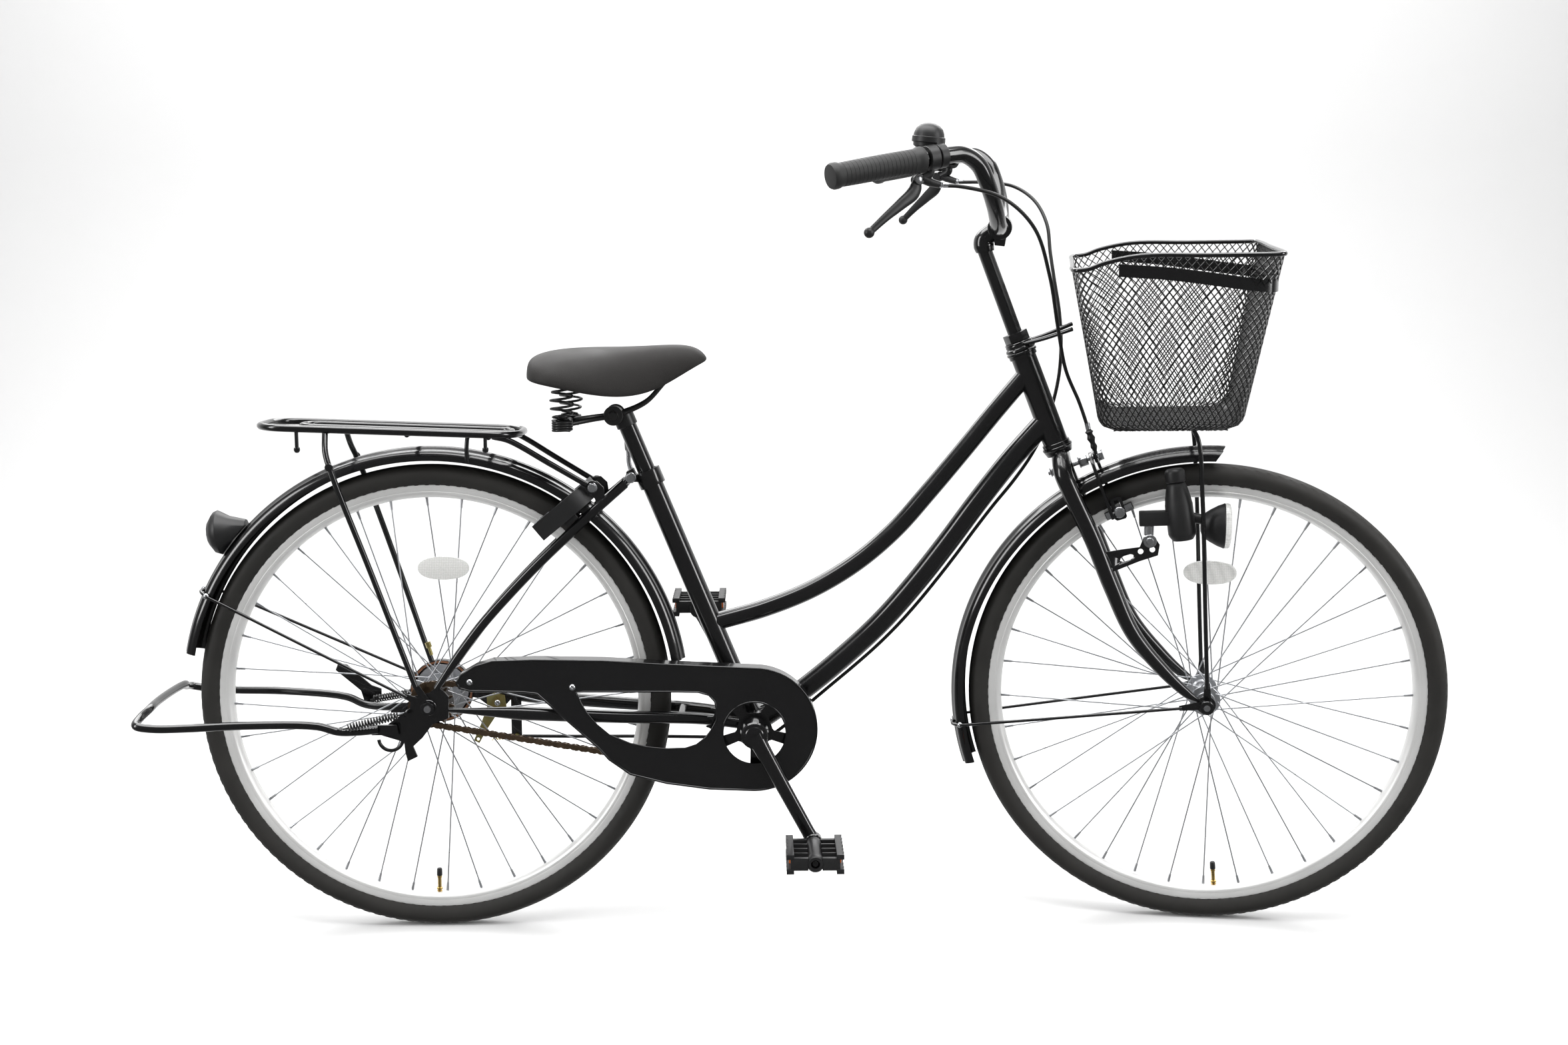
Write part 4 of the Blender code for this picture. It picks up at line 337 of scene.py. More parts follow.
# %% [markdown]
# ## Floor and light
# The photograph has a white ground and a soft light from all round, and its black tubes stay black but for long
# thin highlights. So the bicycle stands in a bright bowl of paper that its gloss doesn't mirror. What the gloss
# does mirror is a sky that is bright behind and dim in front, and four large soft lamps.

# %% Build the paper floor
clear()
bpy.ops.mesh.primitive_cube_add(size=1.0, location=(0.45, 0.0, 3.0))
paper = bpy.context.object
paper.scale = (12.0, 9.0, 6.0)
bpy.ops.object.transform_apply(location=True, rotation=True, scale=True)
edit("DESELECT")
bpy.ops.mesh.select_mode(type="FACE")
leave()
for face in paper.data.polygons:
    face.select = face.normal.z > 0.9
bpy.ops.object.mode_set(mode="EDIT")
bpy.ops.mesh.delete(type="FACE")
leave()
round_edges(paper, 1.4, 12)
paper.name = "paper_floor"
soften(paper, 60)
white_paper = bpy.data.materials.new("white_paper")
white_paper.use_nodes = True
sockets = white_paper.node_tree.nodes["Principled BSDF"].inputs
sockets["Base Color"].default_value = (0.66, 0.66, 0.66, 1.0)
sockets["Roughness"].default_value = 0.9
paper.data.materials.append(white_paper)
paper.visible_glossy = False
print("paper floor", len(paper.data.polygons), "faces")

# %% [markdown]
# An area lamp is a softbox. One hangs above, two stand left and right of the camera to draw the long highlights
# on the tubes, and the largest one lights the paper from behind.

# %% Hang the lamps
for name, place, aim, size, power in (("lamp_above", (0.3, -0.5, 3.4), (0.5, 0.0, 0.3), (4.2, 2.0), 165),
        ("lamp_left", (-3.0, -1.7, 1.8), (0.4, 0.0, 0.5), (1.0, 2.6), 60),
        ("lamp_right", (3.9, -1.7, 1.8), (0.6, 0.0, 0.5), (1.0, 2.6), 60),
        ("lamp_behind", (0.5, 3.0, 3.4), (0.5, 1.6, 0.0), (6.0, 2.5), 200)):
    bpy.ops.object.light_add(type="AREA", location=place)
    lamp = bpy.context.object
    lamp.name = name
    lamp.data.shape = "RECTANGLE"
    lamp.data.size, lamp.data.size_y = size
    lamp.data.energy = power
    lamp.rotation_euler = (Vector(aim) - Vector(place)).to_track_quat("-Z", "Y").to_euler()

# %% [markdown]
# The sky is only seen in the gloss. A ramp on its Y direction makes it dim towards the camera and white behind
# the bicycle, so that black enamel stays black and still has bright edges.

# %% Paint the sky
sky = bpy.data.worlds.new("white_room")
bpy.context.scene.world = sky
sky.use_nodes = True
nodes, links = sky.node_tree.nodes, sky.node_tree.links
direction = nodes.new("ShaderNodeTexCoord")
parts = nodes.new("ShaderNodeSeparateXYZ")
ramp = nodes.new("ShaderNodeValToRGB")
links.new(direction.outputs["Generated"], parts.inputs["Vector"])
links.new(parts.outputs["Y"], ramp.inputs["Fac"])
ramp.color_ramp.elements[0].position = 0.0
ramp.color_ramp.elements[0].color = (0.16, 0.16, 0.16, 1.0)
ramp.color_ramp.elements[1].position = 0.55
ramp.color_ramp.elements[1].color = (1.0, 1.0, 1.0, 1.0)
links.new(ramp.outputs["Color"], nodes["Background"].inputs["Color"])
nodes["Background"].inputs["Strength"].default_value = 0.9
bpy.context.scene.view_settings.view_transform = "Standard"

# %% [markdown]
# ## Finishes
# Each finish is a small network of nodes on the Principled shader. Noise on Object coordinates changes the
# colour a little, breaks up the shine and gives a fine bump, at the scale that the real surface has in metres.

# %% A base for every finish
def add_node(tree, kind, **sockets):
    """A new shader node with these values in its sockets, whose names are written with _ for a blank."""
    node = tree.nodes.new("ShaderNode" + kind)
    fill(node, sockets)
    return node

def fill(node, sockets):
    for socket, value in sockets.items():
        node.inputs[socket.replace("_", " ")].default_value = value

def finish(name, colour, roughness, metallic=0.0, grain=900.0, bump=0.1, depth=0.00005, mottling=0.15,
        spread_of_roughness=0.08, patch=14.0, **sockets):
    """A material whose colour and shine vary in soft patches, with a fine grain in relief."""
    material = bpy.data.materials.new(name)
    material.use_nodes = True
    tree, plug = material.node_tree, material.node_tree.links.new
    shader = tree.nodes["Principled BSDF"]
    fill(shader, {"Metallic": metallic, **sockets})
    place = add_node(tree, "TexCoord")
    patches = add_node(tree, "TexNoise", Scale=patch, Detail=4.0)
    plug(place.outputs["Object"], patches.inputs["Vector"])
    tone = add_node(tree, "Mix")
    tone.name = "tone"
    tone.data_type = "RGBA"
    tone.inputs[6].default_value = (*[part * (1 - mottling) for part in colour], 1.0)
    tone.inputs[7].default_value = (*[min(1.0, part * (1 + mottling)) for part in colour], 1.0)
    plug(patches.outputs["Fac"], tone.inputs[0])
    plug(tone.outputs[2], shader.inputs["Base Color"])
    shine = add_node(tree, "MapRange", From_Min=0.3, From_Max=0.7, To_Min=roughness - spread_of_roughness,
        To_Max=roughness + spread_of_roughness)
    plug(patches.outputs["Fac"], shine.inputs["Value"])
    plug(shine.outputs["Result"], shader.inputs["Roughness"])
    fine = add_node(tree, "TexNoise", Scale=grain, Detail=3.0)
    plug(place.outputs["Object"], fine.inputs["Vector"])
    relief = add_node(tree, "Bump", Strength=bump, Distance=depth)
    relief.name = "relief"
    plug(fine.outputs["Fac"], relief.inputs["Height"])
    plug(relief.outputs["Normal"], shader.inputs["Normal"])
    return material

# %% [markdown]
# Black enamel is nearly a mirror: its character is in the clear coat and a very faint ripple, called orange
# peel. Moulded plastic and rubber are matt, so their grain does the work.

# %% Paint, plastic and rubber
black_enamel = finish("black_enamel", (0.0035, 0.0035, 0.0038), 0.2, grain=120, bump=0.03, depth=0.00004,
    spread_of_roughness=0.05, Coat_Weight=0.6, Coat_Roughness=0.04)
moulded_plastic = finish("moulded_plastic", (0.01, 0.01, 0.0105), 0.42, grain=2600, bump=0.3,
    depth=0.00008, mottling=0.25)
tyre_rubber = finish("tyre_rubber", (0.015, 0.0138, 0.012), 0.66, grain=1500, bump=0.45, depth=0.00012,
    mottling=0.3, patch=30)
grip_rubber = finish("grip_rubber", (0.014, 0.014, 0.014), 0.58, grain=2200, bump=0.35, depth=0.0001)
cable_cover = finish("cable_cover", (0.006, 0.006, 0.006), 0.34, grain=900, bump=0.1)
wire_enamel = finish("wire_enamel", (0.004, 0.004, 0.004), 0.3, grain=700, bump=0.12, Coat_Weight=0.3,
    Coat_Roughness=0.15)

# %% [markdown]
# The bright metals differ in how they were treated. The rims are drawn aluminium with a satin face, the bolts
# and brake arms are zinc-plated steel with cloudy patches, and the drum's arms have a yellow, oily chromate
# film.

# %% Metals
satin_aluminium = finish("satin_aluminium", (0.78, 0.78, 0.77), 0.42, 0.6, grain=1800, bump=0.15, mottling=0.05)
bright_zinc = finish("bright_zinc", (0.62, 0.63, 0.65), 0.27, 1.0, grain=600, bump=0.15,
    mottling=0.14, patch=90)
spoke_steel = finish("spoke_steel", (0.5, 0.51, 0.53), 0.34, 0.85, grain=1500, bump=0.1,
    mottling=0.08, patch=60)
black_spring = finish("black_spring", (0.01, 0.01, 0.01), 0.34, grain=1200, bump=0.15, mottling=0.3)
brass = finish("brass", (0.62, 0.44, 0.16), 0.3, 1.0, grain=900, bump=0.15, mottling=0.15, patch=80)
copper = finish("copper", (0.62, 0.3, 0.17), 0.32, 1.0, grain=900, bump=0.15, mottling=0.15, patch=60)
chain_bronze = finish("chain_bronze", (0.15, 0.105, 0.068), 0.4, 0.9, grain=1400, bump=0.35,
    mottling=0.35, patch=160)
yellow_chromate = finish("yellow_chromate", (0.6, 0.44, 0.15), 0.33, 1.0, grain=800, bump=0.15, patch=70)
film = yellow_chromate.node_tree.nodes["tone"]
film.inputs[6].default_value = (0.62, 0.4, 0.1, 1.0)
film.inputs[7].default_value = (0.44, 0.5, 0.26, 1.0)

# %% [markdown]
# The saddle cover is a dark vinyl with a pebbled grain. A Voronoi texture gives the pebbles: the distance to
# the edge of each cell is low in the creases, so it serves as the height of the relief.

# %% Saddle vinyl
saddle_vinyl = finish("saddle_vinyl", (0.014, 0.0126, 0.0118), 0.62, grain=2400, bump=0.2, depth=0.0001,
    mottling=0.2, Specular_IOR_Level=0.28)
vinyl = saddle_vinyl.node_tree
pebbles = add_node(vinyl, "TexVoronoi", Scale=620.0)
pebbles.feature = "DISTANCE_TO_EDGE"
creases = add_node(vinyl, "Bump", Strength=0.55, Distance=0.0004)
vinyl.links.new(vinyl.nodes["Texture Coordinate"].outputs["Object"], pebbles.inputs["Vector"])
vinyl.links.new(pebbles.outputs["Distance"], creases.inputs["Height"])
vinyl.links.new(vinyl.nodes["relief"].outputs["Normal"], creases.inputs["Normal"])
vinyl.links.new(creases.outputs["Normal"], vinyl.nodes["Principled BSDF"].inputs["Normal"])

# %% [markdown]
# A spoke reflector is clear plastic over a field of tiny prisms. White cells with darker joints, in relief,
# read as that from a metre away. The lamp's lens is the same, and the pedal reflectors are orange.

# %% Reflectors and lens
def prisms(name, colour, scale=420.0):
    """Clear plastic with prisms behind it."""
    material = finish(name, colour, 0.16, grain=1200, bump=0.05, mottling=0.06, spread_of_roughness=0.04,
        Coat_Weight=0.8, Coat_Roughness=0.03)
    tree, plug = material.node_tree, material.node_tree.links.new
    cells = add_node(tree, "TexVoronoi", Scale=scale, Randomness=0.15)
    facets = add_node(tree, "Bump", Strength=0.7, Distance=0.0008)
    plug(tree.nodes["Texture Coordinate"].outputs["Object"], cells.inputs["Vector"])
    plug(cells.outputs["Distance"], facets.inputs["Height"])
    plug(facets.outputs["Normal"], tree.nodes["Principled BSDF"].inputs["Normal"])
    tone = tree.nodes["tone"]
    tone.inputs[7].default_value = (*[part * 0.45 for part in colour], 1.0)
    plug(cells.outputs["Distance"], tone.inputs[0])
    return material

clear_prisms = prisms("clear_prisms", (0.78, 0.78, 0.76))
orange_prisms = prisms("orange_prisms", (0.8, 0.17, 0.02), 900.0)
print("finishes:", len(bpy.data.materials))

# %% [markdown]
# ## Coating the frame's own pieces
# A piece from the frame that already has the right shape only needs its finish. Its mesh is loose triangles, so
# a copy is merged, its edges are rounded a little, and it is shaded smooth between the edges that are truly
# sharp.

# %% A dressed copy of a frame piece
def dressed(node, coat, body, edge=0.0004):
    """Copy a frame piece, merge it, round its edges and coat it; the copy stands for the piece."""
    copy = frame["nodes"][node].copy()
    copy.data = copy.data.copy()
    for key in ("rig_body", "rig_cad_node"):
        if key in copy:
            del copy[key]
    copy.parent = None
    copy.hide_render = False
    copy.hide_viewport = False
    bpy.context.scene.collection.objects.link(copy)
    take(weld(copy))
    edit()
    bpy.ops.mesh.dissolve_limited(angle_limit=radians(0.8))
    leave()
    if edge:
        round_edges(copy, edge, 2, 38)
    return settle(soften(copy, 38), node + "_dressed", coat, body, [node])

# %% [markdown]
# ## Tyres
# A city tyre is a rounded tube with a shallow herringbone tread. The section is drawn once and spun round the
# axle in more than a thousand steps. Then the points of the tread are moved a little towards the axle wherever
# a groove runs, which gives true grooves in the outline as well.

# %% Spin a tyre and press its tread
TYRE_STEPS, TREAD_BLOCKS, TREAD_DEPTH = 1040, 130, 0.0009
TYRE_HALF = mm([(302.1, -12.1), (304.5, -13.8), (308, -15.8), (312, -17.2), (316.5, -17.7), (320.5, -16.6),
    (323.6, -14.8), (326.2, -12), (328.1, -9), (329.3, -6), (329.85, -3), (330, 0)])

def groove(along, angle):
    """How deep the tread is cut at this distance from the middle line, from 0 to 1."""
    reach = abs(along)
    if reach > 0.0155:
        return 0.0
    beat = (angle * TREAD_BLOCKS / (2 * pi) + reach / 0.0085) % 1.0
    slot = 1.0 if beat < 0.32 else 0.0
    ring = 1.0 if 0.005 < reach < 0.0072 else 0.0
    return max(slot * (0.75 if reach > 0.004 else 0.0), ring)

def build_tyre(name, axle, body):
    tyre = turned(both_ways(TYRE_HALF), axle, steps=TYRE_STEPS, closed=True)
    for vertex in tyre.data.vertices:
        out = Vector((vertex.co.x - axle.x, 0, vertex.co.z - axle.z))
        cut = groove(vertex.co.y, atan2(out.z, out.x))
        vertex.co -= out.normalized() * (TREAD_DEPTH * cut)
    settle(soften(tyre, 28), name + "_round", tyre_rubber, body, [name])

build_tyre("rear_tyre", REAR_AXLE, "rear_wheel")
build_tyre("front_tyre", FRONT_AXLE, "front_wheel")

# %% [markdown]
# ## Rims
# The rim is a drawn aluminium section: a flat braking wall, a small step, and a rounded well towards the hub.
# Its drawing lines run round the wheel, so they are made from the distance to the axle and not from a plain
# noise.

# %% Spin the rims
RIM_HALF = mm([(300.8, 9.2), (301.8, 10.4), (301.8, 11.4), (300.6, 11.9), (299, 11.7), (293.2, 11.6),
    (292.8, 11.3), (292.4, 11.6), (290.2, 11.4), (288.4, 10.4), (286.2, 8), (284.5, 5.6),
    (283.5, 3), (283.2, 0)])

def drawn_rings(material, axle):
    """Fine rings round the axle, in relief."""
    tree, plug = material.node_tree, material.node_tree.links.new
    centre = add_node(tree, "Mapping", Location=(-axle.x, 0.0, -axle.z))
    flat, length = add_node(tree, "VectorMath"), add_node(tree, "VectorMath")
    flat.operation, length.operation = "MULTIPLY", "LENGTH"
    flat.inputs[1].default_value = (1.0, 0.0, 1.0)
    rings = add_node(tree, "TexNoise", Scale=2600.0)
    rings.noise_dimensions = "1D"
    plug(tree.nodes["Texture Coordinate"].outputs["Object"], centre.inputs["Vector"])
    plug(centre.outputs["Vector"], flat.inputs[0])
    plug(flat.outputs["Vector"], length.inputs[0])
    plug(length.outputs["Value"], rings.inputs["W"])
    plug(rings.outputs["Fac"], tree.nodes["relief"].inputs["Height"])
    fill(tree.nodes["relief"], {"Strength": 0.3})

def build_rim(name, axle, body):
    rim = turned(both_ways(RIM_HALF), axle, steps=192, closed=True)
    coat = satin_aluminium.copy()
    coat.name = "drawn_aluminium_" + body
    drawn_rings(coat, STEERED @ axle if body in TURNED else axle)
    settle(soften(rim, 40), name + "_drawn", coat, body, [name])

build_rim("rear_rim", REAR_AXLE, "rear_wheel")
build_rim("front_rim", FRONT_AXLE, "front_wheel")

# %% [markdown]
# ## Hubs and spokes
# Each wheel is laced three-cross with 36 spokes, 18 to a side. Every spoke leaves its flange through a hole,
# with a short elbow, and ends in a nipple at the rim. One spoke and its nipple are modelled and the rest are
# copies, turned by a ninth of the wheel.

# %% The hubs' sections
REAR_HUB = mm([(6.5, -33.5), (12, -33.5), (18.5, -33), (19, -30), (19, -28.6), (28.4, -28.6), (29, -28),
    (29, -26), (28.4, -25.4), (19.5, -25.4), (16.5, -22.5), (16.2, 19.5), (19.5, 22.4), (28.4, 22.4), (29, 23),
    (29, 25), (28.4, 25.6), (19, 25.6), (19, 38), (38, 38.4), (38.5, 39), (38.5, 51.5), (38, 52),
    (19, 52), (6.5, 52)])
FRONT_HUB = both_ways(mm([(6.2, -37), (12.8, -37), (13.5, -36.2), (13.5, -31.6), (20.4, -31.6), (21, -31),
    (21, -29), (20.4, -28.4), (14, -28.4), (11.5, -26.2), (10.5, -18)]))
HUB_SECTION = {"rear": (REAR_HUB, (-0.027, 0.024), 0.029, 1.4), "front": (FRONT_HUB, (-0.03, 0.03), 0.021, 2.0)}

# %% [markdown]
# A spoke starts with its head inside the flange, bends in the hole and runs straight to the rim. Of two
# neighbours on one side, one trails and one leads, and they cross three times.

# %% Lace a wheel
SPOKES_PER_SIDE, SPOKE_CIRCLE = 18, 0.284

def spoke(axle, flange_y, flange_radius, side, index, first_angle):
    """One spoke with its elbow, its head and its nipple."""
    step = 2 * pi / SPOKES_PER_SIDE
    trailing = 1 if index % 2 else -1
    rim_angle = first_angle + (index + 0.5 * (side > 0)) * step
    hub_angle = rim_angle + trailing * 5.5 * step / 2
    hole = Vector((cos(hub_angle) * flange_radius, flange_y, sin(hub_angle) * flange_radius))
    lifted = hole + sideways(trailing * side * 0.0022)
    rim = Vector((cos(rim_angle) * SPOKE_CIRCLE, side * 0.002, sin(rim_angle) * SPOKE_CIRCLE))
    along = (rim - lifted).normalized()
    path = [axle + hole - sideways(trailing * side * 0.0016), axle + hole, axle + lifted + along * 0.0012,
        axle + lifted + along * 0.012, axle + rim - along * 0.01]
    steel = wire(path, 0.001, 8, order=1)
    head = rod(path[0] - sideways(trailing * side * 0.0008),
        path[0] + sideways(trailing * side * 0.0004), 0.0019, 8)
    nipple = rod(axle + rim - along * 0.0125, axle + rim, 0.0016, 8, 0.0021)
    return join(steel, head, nipple)

def build_hub(end, axle, body):
    profile, flanges, radius, first = HUB_SECTION[end]
    pieces = [soften(turned(profile, axle, closed=True), 30)]
    turns = [about(axle, radians(-40 * count)) for count in range(1, 9)]
    for side, flange in zip((-1, 1), flanges):
        for index in (0, 1):
            one = spoke(axle, flange, radius - 0.0035, side, index, radians(first))
            pieces += repeated(one, turns)
    settle(pieces, end + "_hub_laced", spoke_steel, body, [end + "_hub"])

build_hub("rear", REAR_AXLE, "rear_wheel")
build_hub("front", FRONT_AXLE, "front_wheel")

# %% [markdown]
# ## Valves and spoke reflectors
# The valve is a brass stem with a rubber foot, a knurled nut and a black cap, all turned about the line from
# the rim to the axle.

# %% Valves
def build_valve(axle, place, body):
    foot = Vector((place[0], 0.0, place[1]))
    towards = (axle - foot).normalized()
    start = axle - towards * SPOKE_CIRCLE
    stem = turned(mm([(0, -2), (3.6, -2), (3.6, 1.5), (2.8, 2), (2.8, 3.5), (4, 3.5), (4, 6), (2.6, 6.5),
        (2.6, 20), (3.3, 20.5), (3.3, 23.5), (0, 23.5)]), start, towards, 24)
    cap = turned(mm([(0, 23.6), (3.6, 23.6), (3.9, 24.5), (3.7, 33), (2.8, 34.5), (0, 34.5)]),
        start, towards, 24)
    settle(soften(stem, 30), "valve_stem_" + body, brass, body)
    settle(soften(cap, 30), "valve_cap_" + body, moulded_plastic, body)

build_valve(REAR_AXLE, (-0.0037, 0.062), "rear_wheel")
build_valve(FRONT_AXLE, (1.105, 0.062), "front_wheel")

# %% [markdown]
# The spoke reflector is a lens-shaped plate. Its two faces are inset and sunk a little, which leaves a flat rim
# round the field of prisms, and a thin bar through it stands for its clip.

# %% Spoke reflectors
def extrude(thickness):
    """Give the flat face of the active piece this thickness, towards the left side of the bicycle."""
    edit()
    bpy.ops.mesh.extrude_region_move(TRANSFORM_OT_translate={"value": (0, thickness, 0)})
    bpy.ops.mesh.select_all(action="SELECT")
    bpy.ops.mesh.normals_make_consistent(inside=False)
    leave()

def build_spoke_reflector(node, centre, body):
    centre = Vector(centre)
    clear()
    bpy.ops.mesh.primitive_circle_add(vertices=48, radius=1.0, fill_type="NGON", location=(0, 0, 0))
    plate = bpy.context.object
    for vertex in plate.data.vertices:
        angle = atan2(vertex.co.y, vertex.co.x)
        vertex.co = centre + Vector((0.0362 * cos(angle), -0.0022,
            0.0167 * sin(angle) * (1 + 0.15 * cos(angle) ** 2)))
    extrude(0.0044)
    for face in plate.data.polygons:
        face.select = len(face.vertices) > 8
    bpy.ops.object.mode_set(mode="EDIT")
    bpy.ops.mesh.select_mode(type="FACE")
    bpy.ops.mesh.inset(thickness=0.0022, depth=0.0)
    bpy.ops.mesh.inset(thickness=0.0006, depth=-0.0005)
    leave()
    soften(round_edges(plate, 0.0004, 2, 40), 40)
    bar = rod(centre + Vector((-0.03, 0.0, -0.001)), centre + Vector((0.03, 0.0, -0.001)), 0.0016, 10)
    settle([plate, bar], node + "_plate", clear_prisms, body, [node])

build_spoke_reflector("rear_spoke_reflector", (0.0176, -0.02, 0.5168), "rear_wheel")
build_spoke_reflector("front_spoke_reflector", (1.0827, -0.021, 0.5107), "front_wheel")

# %% [markdown]
# ## Frame tubes
# Seen from close by, a frame is a set of round tubes that run into each other. A tube with 32 sides has a
# smooth outline, and its long highlight shows every change of its curve, so the guide points must be few and
# even. The tubes simply enter one another: on a painted frame the braze fillet hides the joint.

# %% The lines of the frame
CRANK_AXIS = Vector((0.4475, 0.0, 0.29))
SEAT_TUBE_TOP = Vector((0.3, 0.0, 0.648))
SEAT_AXIS = (SEAT_TUBE_TOP - CRANK_AXIS).normalized()
DOWN_TUBE = mm([(856, 0, 719), (827.1, 0, 689.6), (798.8, 0, 652.5), (754.8, 0, 596.6), (713.8, 0, 540.4),
    (669.7, 0, 484), (637.1, 0, 446.1), (599.3, 0, 408.2), (522.6, 0, 342.6), (456, 0, 295)])
TOP_TUBE = mm([(829, 0, 784), (796.2, 0, 745.3), (751.5, 0, 689.9), (689.9, 0, 615.7), (658, 0, 578.3),
    (619.5, 0, 540.9), (569.1, 0, 503.4), (535.9, 0, 484.7), (492.9, 0, 465), (455.4, 0, 452.4), (396, 0, 436)])
CHAIN_STAY = mm([(443, -24, 293), (372, -30, 303.5), (262, -41, 309.5), (150, -51, 316.5), (24, -60, 325)])

def even(points, count):
    """The same line, read at evenly spaced guide points, which irons out small waves in its highlight."""
    dense = through(points, 24)
    lengths = [0.0]
    for before, after in zip(dense, dense[1:]):
        lengths.append(lengths[-1] + (after - before).length)
    read, place = [], 0
    for index in range(count):
        goal = lengths[-1] * index / (count - 1)
        while place < len(dense) - 2 and lengths[place + 1] < goal:
            place += 1
        share = (goal - lengths[place]) / max(lengths[place + 1] - lengths[place], 1e-9)
        read.append(dense[place].lerp(dense[place + 1], min(max(share, 0.0), 1.0)))
    return read

def mirror(points):
    """The same line on the other side of the bicycle."""
    return [(point[0], -point[1], point[2]) for point in points]

# %% [markdown]
# Dropouts, lugs and brackets are cut from flat plate. An outline becomes one face, is extruded, and its holes
# are cut with round tools. A collar is a short turned ring, such as a headset cup.

# %% Plates and collars
def arc(x, z, radius, angles):
    """Points of a circle in the XZ plane, at these angles."""
    return [(x + radius * cos(radians(angle)), z + radius * sin(radians(angle))) for angle in angles]

def oblong(left, right, low, high):
    return [(left, low), (right, low), (right, high), (left, high)]

def in_plane(points, y):
    return [(x, y, z) for x, z in points]

def plate(outline, thickness, y, holes=(), edge=0.0004, place=None):
    """A flat plate in the XZ plane, cut out to this outline, with round holes, and with soft edges."""
    clear()
    bpy.ops.mesh.primitive_circle_add(vertices=len(outline), radius=1.0, fill_type="NGON", location=(0, 0, 0))
    sheet = bpy.context.object
    for vertex, (x, z) in zip(sheet.data.vertices, outline):
        vertex.co = (x, y - thickness / 2, z)
    extrude(thickness)
    for x, z, radius in holes:
        drill(sheet, rod((x, y - thickness, z), (x, y + thickness, z), radius, 32))
    if place is not None:
        sheet.data.transform(place)
    if edge:
        round_edges(sheet, edge, 2, 40)
    return soften(sheet, 35)

def drill(body, tool):
    """Cut one closed shape out of another."""
    cutter = body.modifiers.new("cut", "BOOLEAN")
    cutter.operation = "DIFFERENCE"
    cutter.solver = "EXACT"
    cutter.object = tool
    apply(body, cutter)
    bpy.data.objects.remove(tool)
    return body

def collar(start, end, radius):
    """A short turned collar with rounded edges."""
    start, end = Vector(start), Vector(end)
    length, soft = (end - start).length, 0.0006
    section = [(0.0, 0.0), (radius - soft, 0.0), (radius, soft), (radius, length / 2), (radius, length - soft),
        (radius - soft, length), (0.0, length)]
    return soften(turned(section, start, end - start, 40), 35)

# %% [markdown]
# The right dropout reaches further down than the left one, and a wire loop on it guards the cable. Then all
# tubes, collars and dropouts become the main frame.

# %% Main frame
def dropout(side):
    outline = mm([(27, 344), (26.2, 314), (4.3, 305.8), (-10.3, 286.7)])
    if side < 0:
        outline += [(-0.0238, 0.2742), (-0.0181, 0.2598), (-0.0315, 0.2534), (-0.0345, 0.265)]
    outline += mm([(-35.9, 280.7), (-66, 290), (-57.2, 306), (-43.1, 316), (-26.6, 328.2), (-24.4, 344.3),
        (1, 350), (12, 359), (19, 353)])
    parts = [plate(outline, 0.005, side * 0.06, [(-0.0513, 0.2987, 0.0046)], edge=0.0007),
        rod((-0.03, side * 0.06, 0.3235), (-0.03, side * 0.0745, 0.3235), 0.0026, 16)]
    if side < 0:
        parts.append(wire(in_plane(arc(-0.0545, 0.285, 0.0165, range(185, 351, 11)), -0.06), 0.0026, 12))
    return parts

frame_parts = [wire(even(DOWN_TUBE, 9), 0.0152, 32), wire(even(TOP_TUBE, 9), 0.0127, 32),
    rod(CRANK_AXIS, SEAT_TUBE_TOP, 0.0148, 40),
    collar(HEAD_BOTTOM + STEER_AXIS * 0.008, HEAD_TOP - STEER_AXIS * 0.008, 0.0175),
    collar(HEAD_TOP - STEER_AXIS * 0.0095, HEAD_TOP - STEER_AXIS * 0.004, 0.0196),
    collar(HEAD_TOP - STEER_AXIS * 0.004, HEAD_TOP - STEER_AXIS * 0.0004, 0.0212),
    collar(HEAD_BOTTOM + STEER_AXIS * 0.0004, HEAD_BOTTOM + STEER_AXIS * 0.004, 0.0212),
    collar(HEAD_BOTTOM + STEER_AXIS * 0.004, HEAD_BOTTOM + STEER_AXIS * 0.0095, 0.0196),
    collar(CRANK_AXIS - sideways(0.034), CRANK_AXIS + sideways(0.034), 0.0205)]
for line in (CHAIN_STAY, mirror(CHAIN_STAY)):
    frame_parts.append(wire(line, 0.0092, 24, radii=[0.86, 0.88, 0.95, 1.0, 1.05, 0.25]))
frame_parts += dropout(-1) + dropout(1)
frame_parts += [rod((0.345, -0.032, 0.306), (0.345, 0.032, 0.306), 0.006, 24),
    rod((0.197, -0.05, 0.326), (0.197, -0.0601, 0.326), 0.005, 20),
    rod((0.413, -0.008, 0.374), (0.413, -0.0601, 0.374), 0.004, 20)]
for part in frame_parts:
    soften(part, 35)
settle(frame_parts, "main_frame_tubes", black_enamel, "frame", ["main_frame"])

# %% [markdown]
# The seat stays are bolted to the clamp behind the seat tube. They taper where they meet the dropouts, and
# carry an ear of flat plate for the rack.

